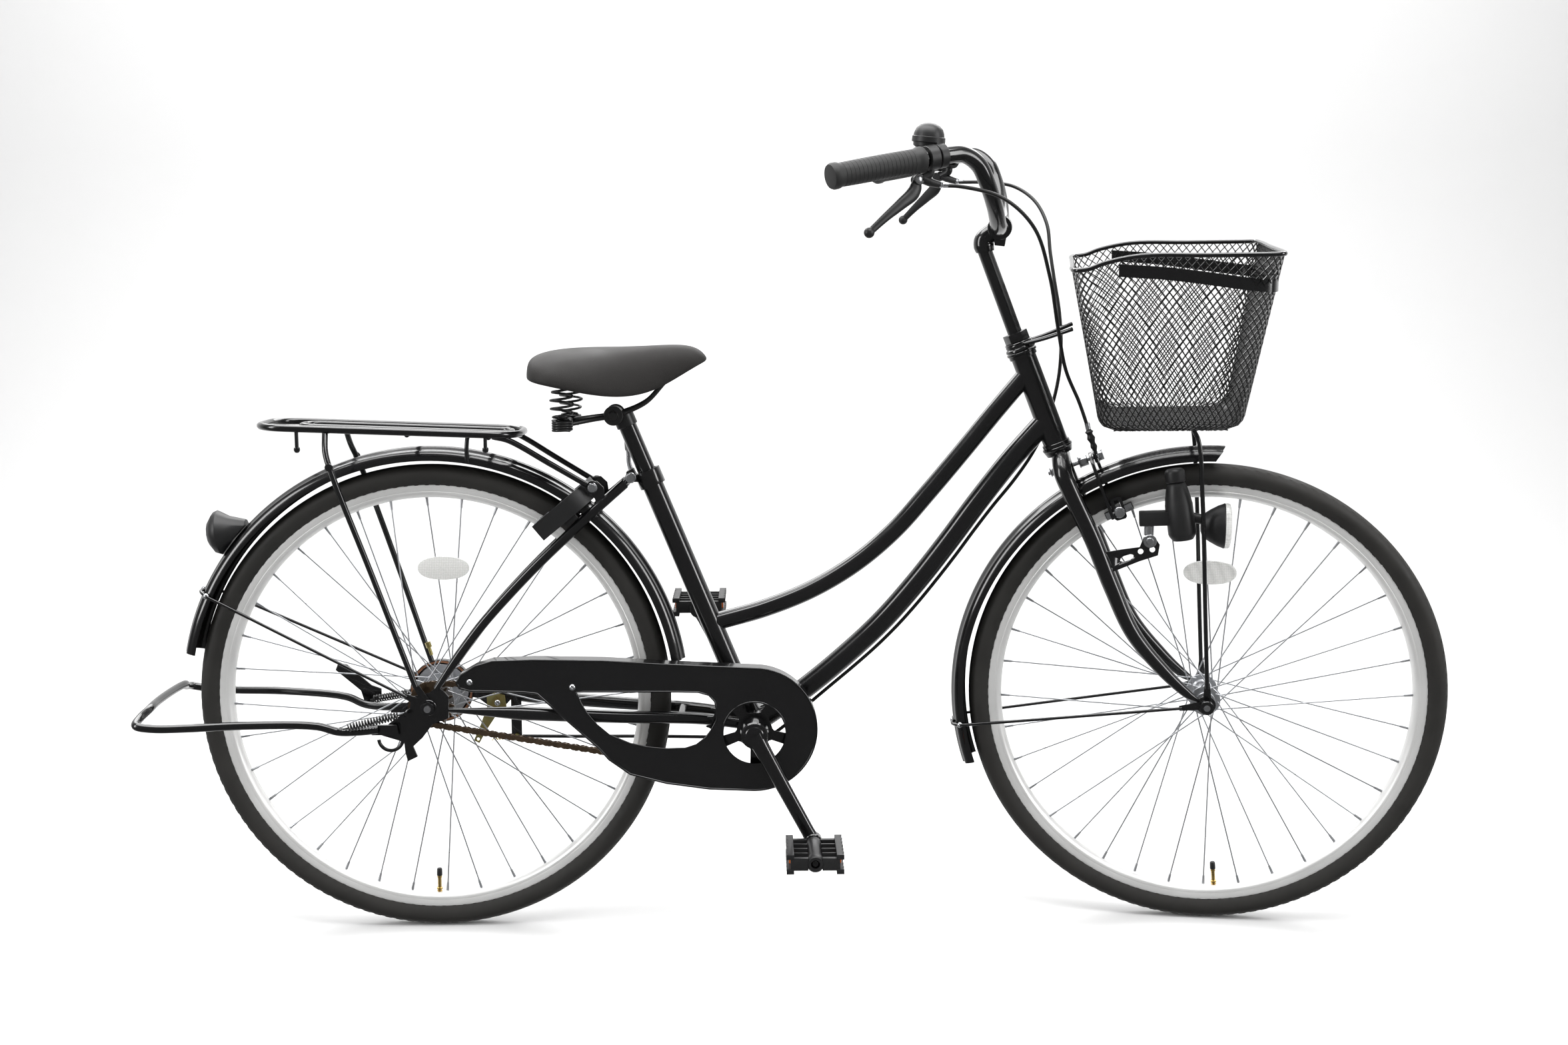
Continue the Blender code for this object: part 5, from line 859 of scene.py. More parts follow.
# %% Seat stays
SEAT_STAY = mm([(10.4, -61, 355.2), (33, -58.3, 387.8), (60.7, -56.2, 427.4), (92.7, -53.5, 463.1),
    (124.5, -50.5, 498.6), (166.8, -46, 540.2), (208.8, -39.5, 579.4), (235.9, -32, 603.8), (270, -18.5, 633)])
EAR = mm([(221.2, 625.8), (220.5, 637), (233, 638.5), (242, 630), (245, 608), (233.5, 599), (230.2, 613.5)])
for side, name in ((1, "seat_stay_right"), (-1, "seat_stay_left")):
    line = SEAT_STAY if side > 0 else mirror(SEAT_STAY)
    lug = arc(0.278, 0.641, 0.0072, range(0, 360, 15))
    parts = [wire(even(line, 8), 0.007, 24, radii=[0.62, 0.95] + [1.0] * 6),
        plate(lug, 0.0036, -side * 0.0146, [(0.278, 0.641, 0.0036)]),
        rod((0.264, -side * 0.02, 0.6285), (0.2725, -side * 0.0135, 0.636), 0.0036, 16),
        plate(EAR, 0.0026, -side * 0.0332)]
    settle(parts, name + "_tube", black_enamel, "frame", [name])
dressed("seat_post", black_enamel, "seat", edge=0.0)

# %% [markdown]
# ## Fenders
# A pressed fender has flat skirts, a step, and a raised ridge along its middle, with its edge rolled inwards.
# That section is drawn across the wheel and spun about the axle through the angle that the fender covers.

# %% Spin a fender
FENDER_HALF = mm([(336.6, 23.8), (337, 25), (338.2, 25.2), (344, 23.2), (348.4, 20.2), (349.7, 18.4), (350, 12),
    (350.5, 9.5), (353.3, 7), (354.3, 4), (354.6, 0)])

def fender(axle, start, end, steps, slant=0.0):
    """The sheet from the angle start to the angle end, in degrees, seen from the chain side."""
    section = both_ways(FENDER_HALF)
    clear()
    bpy.ops.mesh.primitive_circle_add(vertices=len(section), radius=1.0, location=(0, 0, 0))
    sheet = bpy.context.object
    low = radians(start)
    for vertex, (radius, along) in zip(sheet.data.vertices, section):
        vertex.co = axle + Vector((radius * cos(low), along, radius * sin(low)))
    open_ring(sheet, len(section) - 1, 0)
    edit()
    bpy.ops.mesh.spin(steps=steps, angle=radians(end - start), center=axle, axis=(0, 1, 0))
    leave()
    weld(sheet)
    for vertex in sheet.data.vertices:
        out = vertex.co - Vector((axle.x, vertex.co.y, axle.z))
        near = max(0.0, 1 - (degrees(atan2(out.z, out.x)) % 360 - start) / 6.0)
        turn = -radians(slant) * near * (0.3546 - out.length) / 0.018
        vertex.co = about(axle, turn) @ vertex.co
    wall = sheet.modifiers.new("wall", "SOLIDIFY")
    wall.thickness, wall.offset = 0.001, 0.0
    return soften(weld(apply(sheet, wall)), 40)

# %% [markdown]
# A fender hangs on a stay: one wire that runs over it from axle to axle end, with an eye pressed at each end.

# %% Bend the stays
def stay_wire(axle, angle, eyelet_y):
    """The wire of a fender stay, with its flattened eyes on the axle."""
    top = Vector((cos(radians(angle)), 0, sin(radians(angle))))
    side = [axle + top * 0.033 + sideways(-eyelet_y - 0.0014),
        axle + top * 0.17 + sideways(-eyelet_y * 0.5 - 0.018), axle + top * 0.31 + sideways(-0.033),
        axle + top * 0.346 + sideways(-0.028), axle + top * 0.3555 + sideways(-0.017),
        axle + top * 0.3562 + sideways(-0.006)]
    parts = [wire(side + mirror(reversed(side)), 0.0022, 12, resolution=6)]
    for y in (-eyelet_y, eyelet_y):
        parts.append(plate(eye(axle, angle, 0.037), 0.0016, y, [(axle.x, axle.z, 0.0056)], edge=0.0003))
    return parts

def eye(axle, lean, length, radius=0.0092):
    """The outline of a flattened wire end: a round with a tail."""
    points = arc(axle.x, axle.z, radius, [lean + swing for swing in range(34, 327, 14)])
    along = Vector((cos(radians(lean)), sin(radians(lean))))
    across = Vector((-along.y, along.x)) * 0.0036
    centre = Vector((axle.x, axle.z))
    return points + [tuple(centre + along * length - across), tuple(centre + along * length + across)]

# %% [markdown]
# Screws and nuts are small, but their edges glint. A screw head is turned and gets a cross slot, and a nut is a
# short cylinder with six sides on a washer.

# %% Screws and nuts
def screw_head(place, axis, radius, height):
    """A round screw head with a cross slot."""
    place, axis = Vector(place), Vector(axis).normalized()
    head = turned([(0.0, height), (radius * 0.45, height * 0.95), (radius * 0.8, height * 0.65),
        (radius, height * 0.15), (radius, -0.001), (0.0, -0.001)], place, axis, 24)
    across = axis.orthogonal().normalized()
    for direction in (across, axis.cross(across)):
        bar = rod(place + axis * height - direction * radius * 0.55,
            place + axis * height + direction * radius * 0.55, 0.0007, 4)
        drill(head, bar)
    return soften(head, 30)

def hex_nut(place, axis, radius, height):
    """A hexagon nut with its corners chamfered, on a washer."""
    place, axis = Vector(place), Vector(axis).normalized()
    nut = rod(place + axis * 0.0012, place + axis * height, radius, 6)
    round_edges(nut, 0.0007, 2, 40)
    return [soften(nut, 30), collar(place, place + axis * 0.0014, radius * 1.12)]

# %% [markdown]
# The front fender also has a tab inside, by which it hangs on the bolt of the brake. The tab is drawn flat and
# then laid across the bolt.

# %% Hang both fenders
REAR_STAY, FRONT_STAY = 154.1, 188.3
rear_parts = [fender(REAR_AXLE, 9.0, 168.7, 96)] + stay_wire(REAR_AXLE, REAR_STAY, 0.0636)
settle(rear_parts, "rear_fender_pressed", black_enamel, "frame", ["rear_fender"])
tab = plate(oblong(-0.007, 0.007, 0.0055, -0.0285), 0.002, 0.0)
CALIPER_PIVOT = Vector((0.915, 0.0, 0.6637))
CALIPER_AXIS = Vector((STEER_AXIS.z, 0.0, -STEER_AXIS.x))
turn_tab = Matrix.Identity(4)
turn_tab.col[0][:3], turn_tab.col[2][:3], turn_tab.col[1][:3] = (0, 1, 0), STEER_AXIS, CALIPER_AXIS
turn_tab.translation = CALIPER_PIVOT - CALIPER_AXIS * 0.0252
tab.data.transform(turn_tab)
front_parts = [fender(FRONT_AXLE, 87.3, 198.3, 72, 2.2), weld(tab)] + stay_wire(FRONT_AXLE, FRONT_STAY, 0.0556)
settle(front_parts, "front_fender_pressed", black_enamel, "steering", ["front_fender"])

# %% [markdown]
# Small zinc screws hold the stay wires to the fenders. They are pale dots in the photograph, and the eye looks
# for them where two black pieces meet.

# %% Fender screws
for axle, angle, body in ((REAR_AXLE, REAR_STAY, "frame"), (FRONT_AXLE, FRONT_STAY, "steering")):
    out = Vector((cos(radians(angle)), 0, sin(radians(angle))))
    screws = [screw_head(axle + out * 0.3578, out, 0.0042, 0.0022)]
    for side in (-1, 1):
        screws.append(screw_head(axle + out * 0.344 + sideways(side * 0.029), (0, side, 0), 0.004, 0.0022))
    settle(screws, "fender_screws_" + body, bright_zinc, body)

# %% [markdown]
# ## Basket
# The basket is pressed from expanded metal: a sheet that was slit and stretched until each slit became a
# diamond. Its strands are flat ribbons that share their corners. Each wall is a grid of such ribbons that runs
# halfway round both of its corners and curls in at the foot, as the pressed sheet does, so the walls meet in
# round edges.

# %% The basket's shape
BASKET_REAR, BASKET_FRONT, BASKET_HALF = (0.926, 0.885), (1.108, 1.148), (0.138, 0.183)
RIM_RISE = mm([(885, 932), (905, 934), (925, 941.5), (970, 950.5), (1050, 951.5), (1148, 953)])
CORNER, FOOT_CURL = 0.03, 0.018

def rim_height(x):
    """How high the rim is at this place along the basket."""
    for (x0, z0), (x1, z1) in zip(RIM_RISE, RIM_RISE[1:]):
        if x <= x1:
            return z0 + (z1 - z0) * max(0.0, (x - x0) / (x1 - x0))
    return RIM_RISE[-1][1]

def basket_spot(wall, s, t):
    """A point on a wall: s runs from the middle of one corner to the middle of the next, t from foot to rim."""
    lift = min(t * 0.22 / FOOT_CURL, 1.0)
    curl = FOOT_CURL * (1 - sqrt(1 - (1 - lift) ** 2))
    rear, front, half = [low + (high - low) * t for low, high in (BASKET_REAR, BASKET_FRONT, BASKET_HALF)]
    rear, front, half, corner = rear + curl, front - curl, half - curl, CORNER - curl * 0.8
    middle = (rear + front) / 2
    deep, wide = ((front - rear) / 2, half) if wall in ("right", "left") else (half, (front - rear) / 2)
    bend = pi / 4 * corner
    reach = s * 2 * (deep - corner + bend) - (deep - corner + bend)
    along, out = max(-(deep - corner), min(deep - corner, reach)), wide
    turn = (abs(reach) - (deep - corner)) / corner
    if turn > 0:
        along += copysign(corner * sin(turn), reach)
        out -= corner * (1 - cos(turn))
    x, y = {"right": (middle + along, -out), "front": (middle + out, along), "left": (middle - along, out),
        "back": (middle - out, -along)}[wall]
    low = 0.72 + (x - 0.926) * 0.022
    return Vector((x, y, low + (rim_height(x) - low) * t))

# %% [markdown]
# A strand is a short bar of four faces between two crossings. Every second row starts half a diamond later.

# %% Weave the walls and the bottom
def expanded(spot, columns, rows, ribbon=0.0013, depth=0.0016):
    """Diamonds over the surface that spot gives for s and t from 0 to 1."""
    clear()
    bpy.ops.mesh.primitive_grid_add(x_subdivisions=1, y_subdivisions=1, size=1.0, location=(0, 0, 0))
    sheet = bpy.context.object
    points, faces = [], []
    for row in range(rows):
        for column in range(columns + 1):
            for direction in (-1, 1):
                s0, t0 = (column + 0.5 * (row % 2)) / columns, row / rows
                s1, t1 = s0 + direction * 0.5 / columns, (row + 1) / rows
                if min(s0, s1) < -1e-6 or max(s0, s1) > 1 + 1e-6:
                    continue
                start, end = spot(s0, t0), spot(s1, t1)
                normal = (spot(min(s0 + 0.01, 1.0), t0) - spot(max(s0 - 0.01, 0.0), t0)).cross(end
                    - start).normalized()
                side, lift = (end - start).cross(normal).normalized() * ribbon / 2, normal * depth / 2
                first = len(points)
                for point in (start, end):
                    points += [point - side - lift, point + side - lift, point + side + lift,
                        point - side + lift]
                faces += [(first, first + 1, first + 5, first + 4),
                    (first + 1, first + 2, first + 6, first + 5), (first + 2, first + 3, first + 7, first + 6),
                    (first + 3, first, first + 4, first + 7), (first + 3, first + 2, first + 1, first),
                    (first + 4, first + 5, first + 6, first + 7)]
    sheet.data.clear_geometry()
    sheet.data.from_pydata(points, [], faces)
    return weld(sheet, 0.000001)

def bottom_spot(s, t):
    """The flat bottom, inside the curl of the walls."""
    x = 0.926 + FOOT_CURL + (0.182 - 2 * FOOT_CURL) * s
    return Vector((x, (0.138 - FOOT_CURL) * (2 * t - 1), 0.72 + (x - 0.926) * 0.022))

for wall, columns in (("front", 32), ("back", 32), ("right", 23), ("left", 23)):
    net = expanded(lambda s, t: basket_spot(wall, s, t), columns, 36)
    settle(net, "basket_net_%s_diamonds" % wall, wire_enamel, "steering", ["basket_net_" + wall])
settle(expanded(bottom_spot, 18, 34), "basket_bottom_diamonds", wire_enamel, "steering",
    ["basket_bottom"])

# %% [markdown]
# A rod runs round the rim, a little lower at the rear. A flat band slopes down from it to the front, and
# stiffens the wall that takes the knocks.

# %% Rim and band
def strip(edges, thickness):
    """A bent strip of sheet, whose points come in pairs, one from each edge."""
    clear()
    bpy.ops.mesh.primitive_plane_add(size=1.0, location=(0, 0, 0))
    sheet = bpy.context.object
    sheet.data.clear_geometry()
    sheet.data.from_pydata(edges, [], [(i, i + 2, i + 3, i + 1) for i in range(0, len(edges) - 2, 2)])
    wall = sheet.modifiers.new("wall", "SOLIDIFY")
    wall.thickness, wall.offset = thickness, 1.0
    return soften(weld(apply(sheet, wall)), 40)

RIM = mm([(1148, 162, 954.5), (1144, 179, 954.5), (1128, 183, 954), (1050, 183, 953), (970, 183, 952),
    (925, 183, 943), (905, 182.5, 935.5), (889, 178, 933.5), (885, 160, 933.5), (885, 80, 933.5)])
rim_line = RIM + [(0.885, 0.0, 0.9335)] + [(x, -y, z) for x, y, z in reversed(RIM)] + [(1.148, 0.0, 0.9545)]
rim_rod = wire(rim_line, 0.003, 16, closed=True, resolution=6)
settle(rim_rod, "basket_rim_rod", black_enamel, "steering", ["basket_rim"])
band_half = [basket_spot("right", s, t) + sideways(-0.0009)
    for s, t in ((0.2, 0.95), (0.46, 0.906), (0.72, 0.868), (0.86, 0.846))]
band_half += [basket_spot("front", s, 0.83) + Vector((0.0009, 0, 0)) for s in (0.0, 0.06, 0.14, 0.5)]
path = through(band_half + mirror(reversed(band_half[:-1])), 6)
edges = [Vector(point) + Vector((0, 0, lift)) for point in path for lift in (-0.008, 0.008)]
settle(strip(edges, 0.0012), "basket_flat_band", black_enamel, "steering")

# %% [markdown]
# ## Saddle
# A saddle is a foam pad under a vinyl cover that was drawn over a pan. It is lofted from rings across its
# length: wide at the tail, with a long slim nose, a crown that rises a little to the nose and skirts that tuck
# under. Three levels of subdivision then give the even swelling of foam.

# %% Loft the saddle
SADDLE_RINGS = mm([(140.5, 42, 799, 780), (144, 70, 806, 775.5), (154, 92, 812, 771), (174, 103, 817, 766.5),
    (200, 106, 820, 760.5), (230, 96, 821.2, 753), (260, 76, 821.5, 748), (290, 55, 822.2, 748.5),
    (320, 40, 823.5, 758), (350, 32, 824, 777), (370, 27, 819.5, 790), (381, 18, 810, 797), (384, 8, 804, 800)])
PAN = 14

def saddle_ring(x, half, top, low):
    """Points round one section: over the crown from side to side, then back under the pan."""
    height = top - low
    crown = []
    for step in range(9):
        swing = radians(-98 + 196 * step / 8)
        across = half * copysign(abs(sin(swing)) ** 0.8, swing)
        crown.append((x, across, low + height * max(cos(swing), 0.0) ** 0.78 + 0.001))
    tuck = [(x, half * share, low + 0.006 + 0.25 * height * (1 - abs(share)) ** 0.5)
        for share in (0.8, 0.5, 0.0, -0.5, -0.8)]
    return crown + tuck

clear()
bpy.ops.mesh.primitive_grid_add(x_subdivisions=PAN, y_subdivisions=len(SADDLE_RINGS) - 1, size=1.0,
    location=(0, 0, 0))
saddle = bpy.context.object
for row, ring in enumerate(SADDLE_RINGS):
    section = saddle_ring(*ring)
    section.append(section[0])
    for column, point in enumerate(section):
        saddle.data.vertices[row * (PAN + 1) + column].co = point
take(weld(saddle, 0.0001))
edit("DESELECT")
bpy.ops.mesh.select_mode(type="EDGE")
bpy.ops.mesh.select_non_manifold()
bpy.ops.mesh.edge_face_add()
bpy.ops.mesh.select_all(action="SELECT")
bpy.ops.mesh.normals_make_consistent(inside=False)
leave()
swell = saddle.modifiers.new("swell", "SUBSURF")
swell.levels = swell.render_levels = 3
apply(saddle, swell)
bpy.ops.object.shade_smooth()
settle(saddle, "saddle_pad", saddle_vinyl, "seat", ["saddle"])

# %% [markdown]
# Under the saddle, two rails run from the nose to a cross bar, where two barrel springs hold up the tail. The
# clamp is a round knurled disc on each side with a bolt through it.

# %% Rails, clamp and springs
def helix(start, end, radius_at, curls, per_curl=20):
    """Points on a coil from start to end, whose radius may change along it."""
    start, end = Vector(start), Vector(end)
    axis = (end - start).normalized()
    across = axis.orthogonal().normalized()
    up = axis.cross(across)
    count = int(curls * per_curl)
    return [start.lerp(end, index / count)
        + (across * cos(2 * pi * index / per_curl) + up * sin(2 * pi * index / per_curl))
        * radius_at(index / count) for index in range(count + 1)]

def barrel(share):
    """A spring that is widest at its middle."""
    return 0.0108 + 0.0046 * sin(pi * share)

clamp_at, post_top = Vector((0.256, 0.0, 0.727)), Vector((0.274, 0.0, 0.711))
frame_bits = [rod((0.19, -0.072, 0.716), (0.19, 0.072, 0.716), 0.005, 20),
    rod((0.347, -0.013, 0.786), (0.347, 0.013, 0.786), 0.003, 16),
    collar(post_top + SEAT_AXIS * 0.0003, post_top + SEAT_AXIS * 0.02, 0.0148),
    rod(clamp_at + sideways(-0.018), clamp_at + sideways(0.018), 0.0118, 32)]
for side in (-1, 1):
    disc = turned(mm([(0, 18), (11.8, 18), (13.5, 19), (13.5, 24), (12.5, 25.2), (10, 25.5), (0, 25.5)]),
        clamp_at, (0, side, 0), 40)
    frame_bits += [soften(disc, 30), *hex_nut(clamp_at + sideways(side * 0.0255), (0, side, 0), 0.0065, 0.005)]
    rail = mm([(190, side * 52, 716.5), (225, side * 28, 722), (260, side * 19, 728), (300, side * 15, 745),
        (330, side * 12, 776), (347, side * 10, 786)])
    frame_bits.append(wire(rail, 0.0035, 16))
    foot, head = (0.19, side * 0.06, 0.709), (0.19, side * 0.06, 0.724)
    frame_bits.append(wire(helix(foot, head, lambda share: 0.0128, 4.5), 0.0018, 8, order=1))
    frame_bits.append(wire(helix(head, (0.19, side * 0.06, 0.769), barrel, 4.0), 0.0018, 8, order=1))
    frame_bits.append(collar((0.19, side * 0.06, 0.71), (0.19, side * 0.06, 0.7225), 0.009))
settle(frame_bits, "saddle_undercarriage", black_spring, "seat", ["saddle_frame"])

# %% [markdown]
# The seat clamp is a slotted band with two ears. Its bolt is turned by a lever with a bent arm, whose end is a
# small grey cap.

# %% Clamp lever
CLAMP_BOLT = Vector((0.278, 0.0, 0.641))
dressed("seat_clamp", black_enamel, "frame", 0.0005)
lever_arm = mm([(278, 22.5, 643), (273.5, 24, 657), (272.8, 24, 673), (272.2, 24, 688)])
lever_bits = [rod(CLAMP_BOLT - sideways(0.026), CLAMP_BOLT + sideways(0.024), 0.003, 20),
    *hex_nut(CLAMP_BOLT - sideways(0.0172), (0, -1, 0), 0.0068, 0.009),
    collar(CLAMP_BOLT + sideways(0.0168), CLAMP_BOLT + sideways(0.026), 0.0066),
    wire(lever_arm, 0.004, 16, radii=[1.0, 0.85, 0.85, 1.0])]
settle(lever_bits, "seat_clamp_lever_bent", bright_zinc, "seat_lever", ["seat_clamp_lever"])
tip = soften(turned(mm([(0, -13), (4.2, -13), (5, -10), (5, 2), (3.6, 4.5), (0, 5)]), (0.2722, 0.024, 0.688),
    (-0.04, 0, 1), 24), 35)
settle(tip, "seat_clamp_lever_cap", finish("grey_cap", (0.18, 0.18, 0.18), 0.45, grain=1800,
    bump=0.2), "seat_lever")

# %% [markdown]
# ## Rear rack
# The rack is bent from steel rod. Two loops with rounded corners lie on three cross rods, and each leg is
# pressed flat where it is riveted. Pegs with ball ends stand below it for the straps.

# %% Bend the rack
def loop(front, rear, half_width, z_front, z_rear, corner):
    """Guide points of a closed loop with rounded corners, seen from above."""
    points = []
    for x, y, start in ((front, half_width, 0), (rear, half_width, 90), (rear, -half_width, 180),
            (front, -half_width, 270)):
        cx = x - copysign(corner, x - (front + rear) / 2)
        cy = y - copysign(corner, y)
        for index in range(7):
            angle = radians(start + 15 * index)
            px = cx + corner * cos(angle)
            points.append((px, cy + corner * sin(angle),
                z_rear + (z_front - z_rear) * (px - rear) / (front - rear)))
    return points

rack = [wire(loop(0.128, -0.226, 0.062, 0.7035, 0.7165, 0.042), 0.0049, 20, closed=True, order=1),
    wire(loop(0.114, -0.173, 0.026, 0.704, 0.715, 0.02), 0.0039, 20, closed=True, order=1)]
for x, z in ((0.09, 0.701), (-0.02, 0.705), (-0.13, 0.709)):
    rack.append(rod((x, -0.06, z), (x, 0.06, z), 0.0035, 16))
for side in (-1, 1):
    leg = mm([(-130, side * 60, 709), (-126.5, side * 76, 682), (-116, side * 85, 652), (-70, side * 80, 520),
        (-30, side * 72, 400), (-16.5, side * 69.2, 360)])
    strut = mm([(95, side * 56, 702), (116, side * 50, 696), (170, side * 44, 664), (220, side * 39.2, 634)])
    rack += [wire(leg, 0.0041, 16), wire(strut, 0.0041, 16),
        plate(eye(REAR_AXLE, 119, 0.04, 0.0095), 0.002, side * 0.0655, [(0.0, REAR_AXLE.z, 0.0056)]),
        plate(arc(0.227, 0.6297, 0.0095, range(0, 360, 15)), 0.003, side * 0.0363),
        soften(turned(mm([(0, 2), (4.8, 1.2), (5.6, 0), (0, 0)]), (-0.1205, side * 0.086, 0.664),
        (0.1, side, 0.25), 20), 30)]
for x, length in ((0.086, 0.02), (-0.168, 0.028)):
    z = 0.7165 - (x + 0.226) * 0.0367
    rack += [rod((x, -0.062, z), (x, -0.062, z - length), 0.0026, 14),
        soften(turned(mm([(0, 5), (3, 4), (4.4, 1), (4, -2.5), (0, -4)]), (x, -0.062, z - length),
        (0, 0, -1), 20), 60)]
rack.append(wire(mm([(62, -25.8, 705), (57.5, -28.5, 700), (55.6, -29.5, 688), (55.5, -29.5, 664)]), 0.003, 14))
settle(rack, "rear_rack_bent", black_enamel, "frame", ["rear_rack"])
bolts = []
for side in (-1, 1):
    bolts += hex_nut((0.227, side * 0.0378, 0.6297), (0, side, 0), 0.0062, 0.0052)
settle(bolts, "rear_rack_bolts", bright_zinc, "frame")

# %% [markdown]
# ## Chain case
# The case is pressed sheet: a glossy face with a wall all round that reaches back over the chain, a slot shaped
# like a lens, and a round hole for the crank. A rolled bead follows every cut edge, and it is the bead that
# catches the light.

# %% Press the chain case
CASE_Y = -0.0612
CASE_HEAD = arc(0.4475, 0.295, 0.086, range(84, -95, -6))
CASE_TAIL = mm([(38.3, 363.3), (44, 374), (65, 386), (87.4, 392.8), (144.1, 394.4), (240, 392.5), (326.8, 387)])
CASE_FOOT = mm([(385, 211.5), (325, 220), (275.3, 233), (246.1, 254), (232.6, 270), (191.8, 307),
    (148.6, 347.6)])
CASE_LIP = mm([(130, 350), (56, 352), (42, 356)])
CASE_SLOT = mm([(202.6, 349.2), (208, 334), (216.8, 319), (230, 303), (246.6, 288.7), (275.8, 276.3),
    (300, 271), (325.4, 268.4), (352, 269), (367.2, 274), (380, 284), (388, 295), (395, 308), (396, 320),
    (393, 335), (385, 344), (370, 348.5), (340, 349.2), (260, 349.7), (212, 350)])

outline = CASE_TAIL + CASE_HEAD + CASE_FOOT + CASE_LIP
face = plate(outline, 0.0014, CASE_Y, edge=0.0)
drill(face, plate(CASE_SLOT, 0.02, CASE_Y, edge=0.0))
drill(face, rod((0.4475, CASE_Y - 0.01, 0.29), (0.4475, CASE_Y + 0.01, 0.29), 0.044, 64))
case_bits = [soften(face, 30), wire(in_plane(outline, CASE_Y - 0.0004), 0.0015, 10, closed=True, order=1),
    wire(in_plane(CASE_SLOT, CASE_Y - 0.0003), 0.0013, 10, closed=True, order=1),
    wire(in_plane(arc(0.4475, 0.29, 0.044, range(0, 360, 6)), CASE_Y - 0.0003), 0.0013, 10,
    closed=True, order=1)]
run = CASE_TAIL[1:] + CASE_HEAD + CASE_FOOT[:4] + [(0.25, 0.25)]
case_bits.append(strip([(x, y, z) for x, z in run for y in (CASE_Y + 0.0004, CASE_Y + 0.0235)], 0.0014))
settle(case_bits, "chain_case_pressed", black_enamel, "frame", ["chain_case"])
screws = [screw_head((0.197, CASE_Y - 0.0007, 0.326 + 0.03), (0, -1, 0), 0.0044, 0.0024),
    screw_head((0.056, CASE_Y - 0.0007, 0.364), (0, -1, 0), 0.0044, 0.0024)]
settle(screws, "chain_case_screws", bright_zinc, "frame")

# %% [markdown]
# ## Chain
# The chain has 94 links of half an inch. Inner and outer links take turns, and each is two figure-of-eight
# plates on round pins. One of each kind is modelled with few faces, and the copies are laid round the loop so
# that every pin stands between two teeth.

# %% The chain's loop
PITCH, LINKS, CHAIN_LINE = 0.0127, 94, -0.044
RING_TEETH, COG_TEETH = 32, 14
RING_RADIUS = PITCH / (2 * sin(pi / RING_TEETH))
COG_RADIUS = PITCH / (2 * sin(pi / COG_TEETH))
between = REAR_AXLE - CRANK_AXIS
lean = atan2(between.z, between.x)
opening = acos((RING_RADIUS - COG_RADIUS) / between.length)
ring_half, cog_bend = RING_RADIUS * (pi - opening), 2 * COG_RADIUS * opening
straight = sqrt(between.length ** 2 - (RING_RADIUS - COG_RADIUS) ** 2)

def on_circle(centre, radius, angle):
    return centre + Vector((radius * cos(angle), 0, radius * sin(angle)))

def loop_place(length, total):
    """The point on the chain's loop that lies this far from the middle of its bend round the chainring."""
    length %= total
    middle = lean + pi
    if length <= ring_half:
        return on_circle(CRANK_AXIS, RING_RADIUS, middle + length / RING_RADIUS)
    length -= ring_half
    if length <= straight:
        start = on_circle(CRANK_AXIS, RING_RADIUS, lean - opening)
        return start.lerp(on_circle(REAR_AXLE, COG_RADIUS, lean - opening), length / straight)
    length -= straight
    if length <= cog_bend:
        return on_circle(REAR_AXLE, COG_RADIUS, lean - opening + length / COG_RADIUS)
    length -= cog_bend
    if length <= straight:
        start = on_circle(REAR_AXLE, COG_RADIUS, lean + opening)
        return start.lerp(on_circle(CRANK_AXIS, RING_RADIUS, lean + opening), length / straight)
    length -= straight
    return on_circle(CRANK_AXIS, RING_RADIUS, lean + opening + length / RING_RADIUS)

loop_length = 2 * (ring_half + straight + COG_RADIUS * opening)
print("chain loop", round(loop_length, 4), "m for", LINKS, "links of", PITCH)
pins = [loop_place(loop_length * (index + 0.5) / LINKS, loop_length) for index in range(LINKS)]

# %% [markdown]
# Inner and outer links differ in the distance of their plates and in what stands between them: a roller, or the
# ends of the pins.

# %% Link after link
EIGHT = mm([(0, 2.6), (-3, 3.8), (-5, 4), (-7.8, 3), (-10.2, 0), (-7.8, -3), (-5, -4), (-3, -3.8), (0, -2.6)])
PEANUT = EIGHT + [(-x, z) for x, z in reversed(EIGHT[1:-1])]

def link(outer):
    """One link with its middle at the origin and its pins along X."""
    width = 0.0037 if outer else 0.0027
    bits = [plate(PEANUT, 0.001, side * width, edge=0.0) for side in (-1, 1)]
    reach = 0.0044 if outer else 0.0024
    for x in (-PITCH / 2, PITCH / 2):
        bits.append(rod((x, -reach, 0), (x, reach, 0), 0.0018 if outer else 0.0038, 8))
    return join(*bits)

patterns = {True: link(True), False: link(False)}
chain_bits = []
for index in range(LINKS):
    start, end = pins[index], pins[(index + 1) % LINKS]
    tilt = Matrix.Rotation(-atan2(end.z - start.z, end.x - start.x), 4, "Y")
    place = Matrix.Translation((start + end) / 2 + sideways(CHAIN_LINE)) @ tilt
    source = patterns[index % 2 == 0]
    copy = source.copy()
    copy.data = source.data.copy()
    copy.data.transform(place)
    bpy.context.scene.collection.objects.link(copy)
    chain_bits.append(copy)
for source in patterns.values():
    bpy.data.objects.remove(source)
settle(soften(join(*chain_bits), 30), "chain_links", chain_bronze, "frame", ["chain"])

# %% [markdown]
# ## Chainring, cranks and sprocket
# The chainring is a plate with 32 teeth and five windows. The crank arms are forged: they taper, and their
# faces are flatter than a tube's, which a tube squeezed along the axle imitates.

